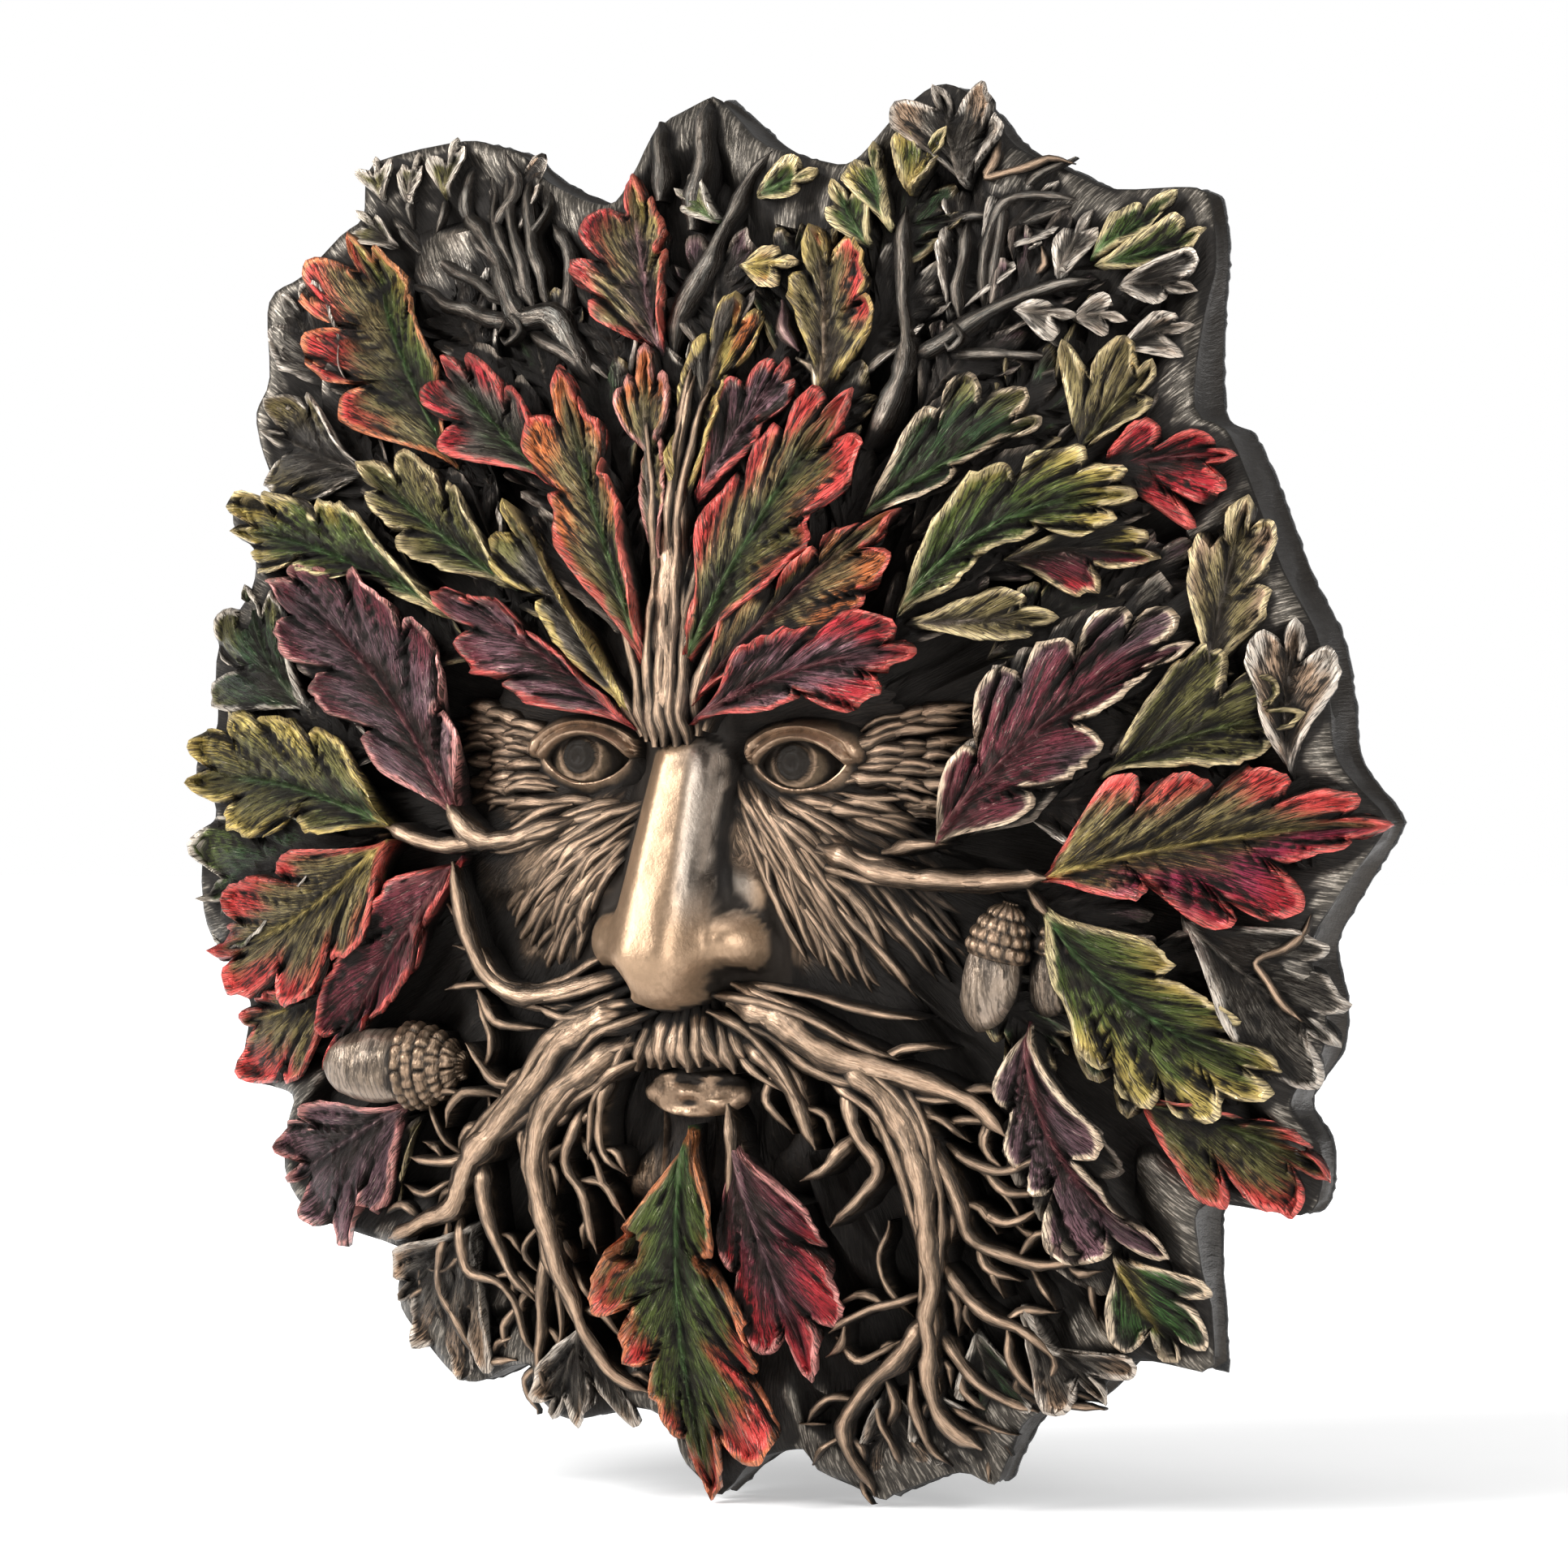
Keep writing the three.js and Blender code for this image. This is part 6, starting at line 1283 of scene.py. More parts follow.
# Rings of the slab from its side walls inwards: share of the outline, and the drop from the crown at
# the rim; further in the front is the ground
SLAB_RINGS = [(1.0, 3.4), (0.998, 2.8), (0.992, 2.3), (0.98, 2.0), (0.962, 2.2), (0.94, 2.8),
              (0.915, 3.8), (0.885, 4.8)]
SLAB_INNER = np.linspace(0.86, 0.08, 26)
# Rise of the streaks of the ground, and of the finer ones between them
STREAK, FINE_STREAK = 2.6, 0.9
# Rings of its side walls: share of the height, and how far they are set in on average
WALL_RINGS = [(0.12, 0.5), (0.32, 1.0), (0.55, 1.2), (0.8, 0.8)]


def slab_part():
    """The slab with worn side walls, a rounded rim and streaked ground."""
    rim = catmull(RIM, 1.9, closed=True)
    count = len(rim)
    middle = np.array([DOME_MIDDLE, 0.0])
    angle = np.arctan2(rim[:, 1], rim[:, 0] - DOME_MIDDLE)
    far = np.hypot(rim[:, 0] - DOME_MIDDLE, rim[:, 1])
    levels = [np.stack([rim[:, 0], np.zeros(count), rim[:, 1]], -1)]
    wall_top = crown(*rim.T) - SLAB_RINGS[0][1]
    depth = [-wall_top]
    for up, inset in WALL_RINGS:
        worn = inset * (1 + noise(angle * 13, up * 2, 48) + 0.6 * noise(angle * 41, up * 3, 49))
        spot = middle + (rim - middle) * (1 - np.maximum(worn, 0.05) / far)[:, None]
        levels.append(np.stack([spot[:, 0], up * wall_top, spot[:, 1]], -1))
        depth.append((up - 1) * wall_top)
    ridges = [np.zeros(count)] * (len(levels) + len(SLAB_RINGS))
    for share, drop in SLAB_RINGS:
        spot = middle + (rim - middle) * share
        top = np.minimum(crown(*spot.T) - drop, crown(*rim.T) - drop + 6)
        sharp = smooth(1.0, 0.97, share)
        pleat = 1 - 2 * np.abs(noise(angle * 12 + 0.4 * noise(angle * 9, share * 9, 46), 4, 41))
        rays = 1.5 * pleat + 0.8 * noise(angle * 34, share * 6, 47) + 0.7 * noise(angle * 70, share * 8, 42)
        levels.append(np.stack([spot[:, 0], top + sharp * rays, spot[:, 1]], -1))
        depth.append(far * (1 - share) + 0.6)
    for share in SLAB_INNER:
        spot = middle + (rim - middle) * share
        sway = 5 * noise(spot[:, 0] / 24, spot[:, 1] / 24, 44)
        streak = 1 - 2 * np.abs(noise(angle * 11 + sway / 5, far * share / 26, 43))
        fine = noise(angle * 34 + sway / 2, far * share / 15, 45)
        rise = (STREAK * streak + FINE_STREAK * fine) * smooth(0.12, 0.4, share)
        levels.append(np.stack([spot[:, 0], ground(*spot.T) + rise, spot[:, 1]], -1))
        depth.append(far * (1 - share))
        ridges.append(smooth(0.35, 0.95, streak + 0.3 * fine) * smooth(0.25, 0.5, share))
    points = np.stack(levels, 0)
    ids = ring_ids(len(levels), count)
    flat = points.reshape(-1, 3)
    back_fan, front_fan = end_fans(ids, len(flat) + 1, len(flat))
    flat = np.concatenate([flat, [[DOME_MIDDLE, ground(DOME_MIDDLE, 0.0), 0], [DOME_MIDDLE, 0, 0]]])
    around = np.broadcast_to(angle * 95, points.shape[:2])
    inward = np.stack(depth, 0)
    flow = np.stack([around, inward * 0.8, 0 * inward], -1).reshape(-1, 3)
    flow = np.concatenate([flow, np.zeros((2, 3))])
    walls = (len(WALL_RINGS) + 2) * count
    kinds = np.repeat([SIDE_WALL, RIM_GROUND, SIDE_WALL], [walls, len(flat) - walls - 1, 1])
    ridged = np.concatenate([*ridges, [0, 0]])
    # The ridges of the streaked ground take less of the wash and painted shade, and a painted highlight
    form = np.stack([np.full(len(flat), NO_EDGE), kinds, 1 - 0.45 * ridged], -1)
    mark = np.stack([0 * ridged, 0.6 * ridged, 0.45 + 0 * ridged], -1)
    return Part(
        "slab", flat, np.concatenate([grid_triangles(ids), front_fan, back_fan]), paint=PAINT["grey"],
        accent=PAINT["dark"], edge=PAINT["silver"], flow=flow, form=form, mark=mark)


# Dark leaf behind each of the larger ones: its paint, and how much larger and lower it is; a leaf
# that lies lower than the last of these has none
UNDER_PAINT = ("dark", "dark", "grey", "grey")
UNDER_SCALE, UNDER_DROP, UNDER_LEAST_LIFT = 1.13, 7, -2
# Rings of low leaves that fill the gaps: distance from the middle and spacing; their paints and lift
FILL_RINGS = [(48, 15), (66, 16), (84, 17), (102, 17)]
FILL_PAINTS = [("dark", "dark", "grey", "silver"), ("dark", "deep_green", "grey", "khaki"),
               ("dark", "dark", "purple", "grey")]
FILL_LIFT = -7


def filling_parts():
    """Dark leaves that point outwards, low between the others."""
    parts = []
    for ring, (far, gap) in enumerate(FILL_RINGS):
        count = int(2 * np.pi * far / gap)
        for k in range(count):
            seed = 700 + 60 * ring + k
            turn = 2 * np.pi * (k + 0.5 * (ring % 2) + 0.5 * hashed(k, 1, seed)) / count
            out = np.array([0.93 * np.cos(turn), np.sin(turn)])
            side = np.array([-out[1], out[0]])
            root = np.array([DOME_MIDDLE, 0]) + out * (far - 8)
            lean = 5 * (2 * hashed(k, 2, seed) - 1)
            tip = root + out * (24 + 6 * hashed(k, 3, seed)) + side * lean
            lobes = [tuple(mix(root, tip, along) + hand * side * (9 * wide + 2 * hashed(k, 4, seed + hand)))
                     for hand in (1, -1) for along, wide in ((0.5, 0.75), (0.72, 1.0), (0.92, 0.6))]
            bare = (abs(root[0]) < 50 and -78 < root[1] < 20) or (root[1] < -40 and abs(root[0] - 4) < 62)
            if not bare and all(within(*p) for p in (tuple(tip), *lobes)):
                parts.append(leaf_part(
                    f"fill_{ring}_{k}", tuple(root), tuple(tip), 0, FILL_LIFT, lobes, seed,
                    names=FILL_PAINTS[k % len(FILL_PAINTS)], step=2.1))
    return parts


# Small leaves at the rim: their spacing, length and inset from it, their lift, the least distance
# from the tips and lobes of the others, and their paints
RIM_LEAF_EVERY, RIM_LEAF_LONG, RIM_LEAF_INSET = 14, 19, 2.2
RIM_LEAF_LIFT, RIM_LEAF_CLEAR = -5, 8
RIM_PAINTS = [("dark", "grey", "grey", "silver"), ("dark", "grey", "bronze", "silver"),
              ("dark", "deep_green", "grey", "silver")]


def rim_parts():
    """Small leaves along the rim wherever none of the others ends there."""
    route = catmull(RIM, 1, closed=True)
    run = np.concatenate([[0], np.cumsum(np.linalg.norm(np.diff(route, axis=0), axis=1))])
    taken = np.array([spot for leaf in LEAVES.values() for spot in (
        leaf[1], *leaf[4], tuple(mix(np.array(leaf[0]), np.array(leaf[1]), 0.6)))], float)
    parts = []
    for k, at in enumerate(np.arange(0, run[-1], RIM_LEAF_EVERY)):
        seed = 900 + k
        i = int(np.searchsorted(run, at + 3 * hashed(k, 1, seed)))
        out = route[i] - (DOME_MIDDLE, 0)
        out /= np.hypot(*out)
        tip = route[i] - RIM_LEAF_INSET * out
        side = np.array([-out[1], out[0]])
        root = tip - out * RIM_LEAF_LONG + side * 5 * (2 * hashed(k, 2, seed) - 1)
        if min(np.hypot(*(taken - spot).T).min() for spot in (tip, mix(root, tip, 0.5))) < RIM_LEAF_CLEAR:
            continue
        lobes = [tuple(mix(root, tip, along) + hand * side * (wide + hashed(k, 4, seed + hand)))
                 for hand in (1, -1) for along, wide in ((0.55, 6), (0.82, 6.5))]
        parts.append(leaf_part(
            f"rim_{k}", tuple(root), tuple(tip), 0, RIM_LEAF_LIFT, lobes, seed,
            names=RIM_PAINTS[k % len(RIM_PAINTS)], step=2.0))
    return parts


# Least distance from the corners of the outline that counts as off its edge
OFF_EDGE = 4


def within(x, z):
    """Whether a point lies inside the outline of the plaque, off its edge."""
    rim = np.array(RIM, float)
    following = np.roll(rim, -1, axis=0)
    crosses = (rim[:, 1] > z) != (following[:, 1] > z)
    rise = np.where(crosses, following[:, 1] - rim[:, 1], 1)
    at = rim[:, 0] + (z - rim[:, 1]) / rise * (following[:, 0] - rim[:, 0])
    return (crosses & (x < at)).sum() % 2 == 1 and np.hypot(*(rim - (x, z)).T).min() > OFF_EDGE


# Leaves that have no dark leaf behind them, strands that are bark and paints of the odd ones
UNBACKED = ("brow", "crest", "bottom_middle", "sprig", "rim", "top")
BARK_NAMES = ("branch", "twig", "log", "arm", "hub", "knot", "ring")
STRAND_PAINT = {"bud_mauve": "mauve", "stem_pale": "pale"}
# Half width from which a root is a bundle of strands, and how slender the others are made
BUNDLE_FROM, SLENDER = 3, 0.78
# Lumps under the tuft and the lip: middle, half width and half height, height of the edge and rise
TUFT_LUMP, LIP_LUMP = (1.6, -45, 10, 7, 31, 6.5), (1.2, -55.2, 10.5, 4.6, 32, 3.0)


def all_parts():
    """The closed shells of the casting, in the order in which they are joined."""
    parts = [slab_part(), face_part(), eye_part(1, 21), eye_part(-1, 22), *tuft_parts()]
    parts.append(dome_part("tuft", *TUFT_LUMP, mark=(0, 0, 0.7)))
    parts.append(dome_part("lip", *LIP_LUMP, carve=lip_carve, mark=(0, 0, 0.7)))
    for n, (name, (root, tip, bow, lift, lobes)) in enumerate(LEAVES.items()):
        parts.append(leaf_part(name, root, tip, bow, lift, lobes, 60 + n))
        backed = lift > UNDER_LEAST_LIFT and not name.startswith(UNBACKED)
        behind = [tuple(np.array(root) + (np.array(p) - root) * UNDER_SCALE) for p in (tip, *lobes)]
        if backed and all(within(*p) for p in behind):
            parts.append(leaf_part(
                name + "_under", root, behind[0], bow, lift - UNDER_DROP, behind[1:], 160 + n,
                names=UNDER_PAINT, step=2.1))
    for n, (name, (path, start, end, lift)) in enumerate({**STRANDS, **FINE}.items()):
        wooden = name.startswith(BARK_NAMES)
        paint = "wood" if wooden else STRAND_PAINT.get(name, "bronze")
        if start >= BUNDLE_FROM and not wooden:
            parts += bundle_parts(name, path, start, end, lift, 160 + n, paint)
        else:
            parts.append(strand_part(
                name, path, SLENDER * start, SLENDER * end, lift, 160 + n, paint))
        if name in STRANDS and name.startswith(("root", "beard")):
            parts += twig_parts(name + "_side", path, 400 + n)
    parts += lock_parts()
    parts += filling_parts() + rim_parts()
    for n, acorn in enumerate(ACORNS):
        parts.append(acorn_part(f"acorn_{n}", *acorn, seed=50 + n))
    return parts


def mesh_of(part, number):
    """The shell as a mesh whose faces know the number of their shell."""
    mesh = bpy.data.meshes.new(part.name)
    mesh.from_pydata(place(part.points).tolist(), [], part.triangles.tolist())
    tag = mesh.attributes.new("part", "INT", "FACE")
    tag.data.foreach_set("value", np.full(len(mesh.polygons), number, np.int32))
    return mesh


def join_all(meshes):
    """One closed skin round all the shells, joined two by two."""
    scene = bpy.context.scene
    base = bpy.data.objects.new("joining", meshes[0])
    tool = bpy.data.objects.new("joined", meshes[0])
    for o in (base, tool):
        scene.collection.objects.link(o)
    union = base.modifiers.new("union", "BOOLEAN")
    union.operation = "UNION"
    union.solver = "MANIFOLD"
    union.object = tool
    while len(meshes) > 1:
        following = []
        for first, second in zip(meshes[::2], meshes[1::2]):
            base.data, tool.data = first, second
            graph = bpy.context.evaluated_depsgraph_get()
            following.append(bpy.data.meshes.new_from_object(base.evaluated_get(graph)))
            base.data, tool.data = following[-1], following[-1]
            bpy.data.meshes.remove(first)
            bpy.data.meshes.remove(second)
        if len(meshes) % 2:
            following.append(meshes[-1])
        meshes = following
    for o in (base, tool):
        bpy.data.objects.remove(o)
    return meshes[0]


def read(data, name, width, kind=np.float32):
    """One value of every item of a Blender collection as an array."""
    values = np.empty(len(data) * width, kind)
    data.foreach_get(name, values)
    return values.reshape(-1, width) if width > 1 else values


def thin_out(mesh, limit):
    """The same skin in fewer triangles, taken where it is flattest."""
    count = sum(len(p.vertices) - 2 for p in mesh.polygons)
    if count <= limit:
        return mesh
    o = bpy.data.objects.new("thinning", mesh)
    bpy.context.scene.collection.objects.link(o)
    fewer = o.modifiers.new("fewer", "DECIMATE")
    fewer.ratio = limit / count
    fewer.use_collapse_triangulate = True
    graph = bpy.context.evaluated_depsgraph_get()
    thinned = bpy.data.meshes.new_from_object(o.evaluated_get(graph))
    bpy.data.objects.remove(o)
    return thinned


def largest_piece(points, triangles):
    """Marks the triangles of the largest connected piece."""
    label = np.arange(len(points))
    while True:
        low = label[triangles].min(1)
        fresh = label.copy()
        for k in range(3):
            np.minimum.at(fresh, triangles[:, k], low)
        fresh = fresh[fresh]
        if (fresh == label).all():
            break
        label = fresh
    names, counts = np.unique(label[triangles[:, 0]], return_counts=True)
    return label[triangles[:, 0]] == names[counts.argmax()]


def blur(values, radius):
    """A grid averaged with its surroundings; the radius is in cells."""
    reach = int(3 * radius) + 1
    weights = np.exp(-0.5 * (np.arange(-reach, reach + 1) / radius) ** 2)
    weights /= weights.sum()
    for axis in (0, 1):
        pad = [(0, 0), (0, 0)]
        pad[axis] = (reach, reach)
        padded = np.pad(values, pad, mode="edge")
        size = values.shape[axis]
        values = sum(
            w * np.take(padded, np.arange(k, k + size), axis=axis) for k, w in enumerate(weights))
    return values


# Map of heights: its step and reach in x and z, in millimetres, and where its rays start, in metres
MAP_STEP, MAP_X, MAP_Z, MAP_FROM = 0.6, (-122, 134), (-137, 137), -0.08
# Radii over which the heights are averaged for the wash and painted shade and for the rubs and painted
# highlights, in millimetres
NEAR, AROUND, WIDE = 1.1, 3.2, 8


def height_map(tree):
    """Heights of the front seen square on, on a grid in millimetres."""
    xs = np.arange(*MAP_X, MAP_STEP)
    zs = np.arange(*MAP_Z, MAP_STEP)
    grid = np.empty((len(zs), len(xs)))
    ahead = Vector((0, 1, 0))
    for r, z in enumerate(zs):
        for c, x in enumerate(xs):
            spot = tree.ray_cast(Vector((x * MM, MAP_FROM, z * MM)), ahead)[0]
            grid[r, c] = np.nan if spot is None else -spot.y / MM - CAST_BACK
    x, z = np.meshgrid(xs, zs)
    empty = np.isnan(grid) | (grid < 0.5)
    grid[empty] = (crown(x, z) - 4)[empty]
    return xs, zs, grid


def sample(xs, zs, grid, x, z):
    """The values of a grid at points between its own."""
    fx = np.clip((x - xs[0]) / (xs[1] - xs[0]), 0, len(xs) - 1.001)
    fz = np.clip((z - zs[0]) / (zs[1] - zs[0]), 0, len(zs) - 1.001)
    i, j = fx.astype(int), fz.astype(int)
    a, b = fx - i, fz - j
    return ((grid[j, i] * (1 - a) + grid[j, i + 1] * a) * (1 - b)
            + (grid[j + 1, i] * (1 - a) + grid[j + 1, i + 1] * a) * b)


def corner_shares(a, b, c, spots):
    """Shares of the three corners of triangles at spots that lie on them."""
    u, v, w = b - a, c - a, spots - a
    uu, uv, vv = (u * u).sum(1), (u * v).sum(1), (v * v).sum(1)
    wu, wv = (w * u).sum(1), (w * v).sum(1)
    area = np.maximum(uu * vv - uv * uv, 1e-30)
    second = np.clip((vv * wu - uv * wv) / area, 0, 1)
    third = np.clip((uu * wv - uv * wu) / area, 0, 1)
    return np.clip(1 - second - third, 0, 1), second, third


def wash_shade_and_lit(points, triangles):
    """How far each point lies in a hollow, for the wash and painted shade, and how far it stands out, for
    the painted highlights, from 0 up.
    """
    xs, zs, heights = height_map(BVHTree.FromPolygons(points.tolist(), triangles.tolist()))
    x, h, z = points[:, 0] / MM, -points[:, 1] / MM - CAST_BACK, points[:, 2] / MM
    near, around, wide = (
        sample(xs, zs, blur(heights, radius / MAP_STEP), x, z) for radius in (NEAR, AROUND, WIDE))
    wash_and_shade = (0.6 * np.clip((near - h) / 0.8, 0, 1) + 0.7 * np.clip((around - h - 0.4) / 2.6, 0, 1)
            + 0.7 * np.clip((wide - h - 1.5) / 5, 0, 1) + 0.5 * np.clip((crown(x, z) - h - 4) / 6, 0, 1))
    lit = 0.7 * np.clip((h - near - 0.1) / 0.8, 0, 1) + 0.6 * np.clip((h - around - 0.4) / 2.2, 0, 1)
    return wash_and_shade, lit


# Most triangles of the casting, how far it stays inside the solid's bounds at the left and right, in
# metres, and the angle from which an edge looks sharp
MOST_TRIANGLES = 197000
SIDE_MARGIN = 0.0004
SHARP_FROM = math.radians(52)


def carved_cast():
    """The casting as one closed mesh with its paint stored at the corners of its faces."""
    parts = all_parts()
    mesh = join_all([mesh_of(part, n) for n, part in enumerate(parts)])
    mesh = thin_out(mesh, MOST_TRIANGLES)
    if any(len(p.vertices) > 3 for p in mesh.polygons):
        work = bmesh.new()
        work.from_mesh(mesh)
        bmesh.ops.triangulate(work, faces=work.faces)
        work.to_mesh(mesh)
        work.free()
    points = read(mesh.vertices, "co", 3).astype(float)
    triangles = read(mesh.loops, "vertex_index", 1, np.int32).reshape(-1, 3)
    owner = read(mesh.attributes["part"].data, "value", 1, np.int32)
    keep = largest_piece(points, triangles)
    triangles, owner = triangles[keep], owner[keep]
    used, back = np.unique(triangles, return_inverse=True)
    points, triangles = points[used], back.reshape(-1, 3)
    # Paint at each corner, from the shell that its face came from
    corners = triangles.ravel()
    corner_part = np.repeat(owner, 3)
    key = corner_part.astype(np.int64) * len(points) + corners
    pairs, which = np.unique(key, return_inverse=True)
    pair_part, pair_point = pairs // len(points), pairs % len(points)
    values = {k: np.zeros((len(pairs), 3)) for k in parts[0].values}
    for number, part in enumerate(parts):
        mine = np.nonzero(pair_part == number)[0]
        if not len(mine):
            continue
        world = place(part.points)
        tree = BVHTree.FromPolygons(world.tolist(), part.triangles.tolist())
        hits = [tree.find_nearest(Vector(spot)) for spot in points[pair_point[mine]]]
        chosen = part.triangles[[h[2] for h in hits]]
        corners_at = (world[chosen[:, k]] for k in range(3))
        shares = corner_shares(*corners_at, np.array([h[0] for h in hits]))
        for k, found in values.items():
            found[mine] = sum(part.values[k][chosen[:, n]] * shares[n][:, None] for n in range(3))
    wash_and_shade, lit = wash_shade_and_lit(points, triangles)
    low = np.array([cad_low[k] for k in range(3)]) + [SIDE_MARGIN, 0, 0]
    high = np.array([cad_high[k] for k in range(3)]) - [SIDE_MARGIN, CAST_BACK * MM, 0]
    points = np.clip(points, low, high)
    made = bpy.data.meshes.new("cast_mask_carved")
    made.from_pydata(points.tolist(), [], triangles.tolist())
    for k, found in values.items():
        kind = "FLOAT_VECTOR" if k in ("flow", "form", "mark") else "FLOAT_COLOR"
        layer = made.attributes.new(k, kind, "CORNER")
        if kind == "FLOAT_VECTOR":
            layer.data.foreach_set("vector", found[which].astype(np.float32).ravel())
        else:
            solid = np.concatenate([found[which], np.ones((len(which), 1))], 1)
            layer.data.foreach_set("color", solid.astype(np.float32).ravel())
    for name, found in (("wash_and_shade", wash_and_shade), ("lit", lit)):
        layer = made.attributes.new(name, "FLOAT", "POINT")
        layer.data.foreach_set("value", np.clip(found, 0, 1).astype(np.float32))
    made.polygons.foreach_set("use_smooth", np.ones(len(made.polygons), bool))
    made.set_sharp_from_angle(angle=SHARP_FROM)
    made.update()
    return made


class Nodes:
    """Short names for the nodes of a material."""

    def __init__(self, name):
        self.material = bpy.data.materials.new(name)
        self.material.use_nodes = True
        self.tree = self.material.node_tree
        self.shader = self.tree.nodes["Principled BSDF"]

    def new(self, kind, **settings):
        node = self.tree.nodes.new(kind)
        for key, value in settings.items():
            setattr(node, key, value)
        return node

    def link(self, source, socket):
        self.tree.links.new(source, socket)

    def feed(self, socket, value):
        if isinstance(value, bpy.types.NodeSocket):
            self.link(value, socket)
        else:
            socket.default_value = value

    def attribute(self, name):
        return self.new("ShaderNodeAttribute", attribute_name=name)

    def math(self, operation, a, b=0.0):
        node = self.new("ShaderNodeMath", operation=operation)
        self.feed(node.inputs[0], a)
        self.feed(node.inputs[1], b)
        return node.outputs[0]

    def times(self, a, b):
        return self.math("MULTIPLY", a, b)

    def plus(self, a, b):
        return self.math("ADD", a, b)

    def less(self, a, b):
        return self.math("SUBTRACT", a, b)

    def span(self, value, low, high, to_low=0.0, to_high=1.0):
        node = self.new("ShaderNodeMapRange", interpolation_type="SMOOTHSTEP")
        for socket, item in zip(node.inputs, (value, low, high, to_low, to_high)):
            self.feed(socket, item)
        return node.outputs[0]

    def mix(self, share, a, b, how="MIX"):
        node = self.new("ShaderNodeMix", data_type="RGBA", blend_type=how)
        self.feed(node.inputs[0], share)
        for socket, item in ((node.inputs[6], a), (node.inputs[7], b)):
            self.feed(socket, item if isinstance(item, bpy.types.NodeSocket) else (*item, 1))
        return node.outputs[2]

    def noise(self, where, scale=1.0, detail=3.0, roughness=0.55, distortion=0.0):
        node = self.new("ShaderNodeTexNoise")
        self.link(where, node.inputs["Vector"])
        for key, value in (("Scale", scale), ("Detail", detail), ("Roughness", roughness),
                           ("Distortion", distortion)):
            node.inputs[key].default_value = value
        return node.outputs[0]

    def bump(self, height, depth):
        node = self.new("ShaderNodeBump")
        node.inputs["Strength"].default_value = 0.8
        node.inputs["Distance"].default_value = depth
        self.link(height, node.inputs["Height"])
        self.link(node.outputs[0], self.shader.inputs["Normal"])

    def stretched(self, where, by):
        node = self.new("ShaderNodeVectorMath", operation="MULTIPLY")
        self.link(where, node.inputs[0])
        node.inputs[1].default_value = by
        return node.outputs[0]


# Thin dark glazes of the casting and the dark colours of its painted shade, as linear red, green and blue;
# the shade, wash and fall colours are painted shade in whole or in part
GLAZE_AND_SHADE = {
    "streaks": (0.016, 0.013, 0.011), "scratches": (0.010, 0.008, 0.007), "fall": (0.020, 0.016, 0.013),
    "shade": (0.018, 0.014, 0.011), "wall": (0.03, 0.025, 0.021), "wash_and_shade": (0.009, 0.0075, 0.0065),
    "specks": (0.02, 0.015, 0.01),
}
# Colours rubbed and brushed over it, and how much brighter the paint gets under the rub; both also make a
# painted highlight
RUBBED_HIGHLIGHT, BRUSHED, RAYED = (0.64, 0.51, 0.41), (0.58, 0.50, 0.40), (0.40, 0.35, 0.29)
HIGHLIGHT_GAIN = (2.2, 2.1, 2.0)
# Scales of the grit and of the patches, per metre, and the depth of the bumps, in metres
GRIT_SCALE, PATCH_SCALE, BUMP_DEPTH = 1100, 160, 0.0006


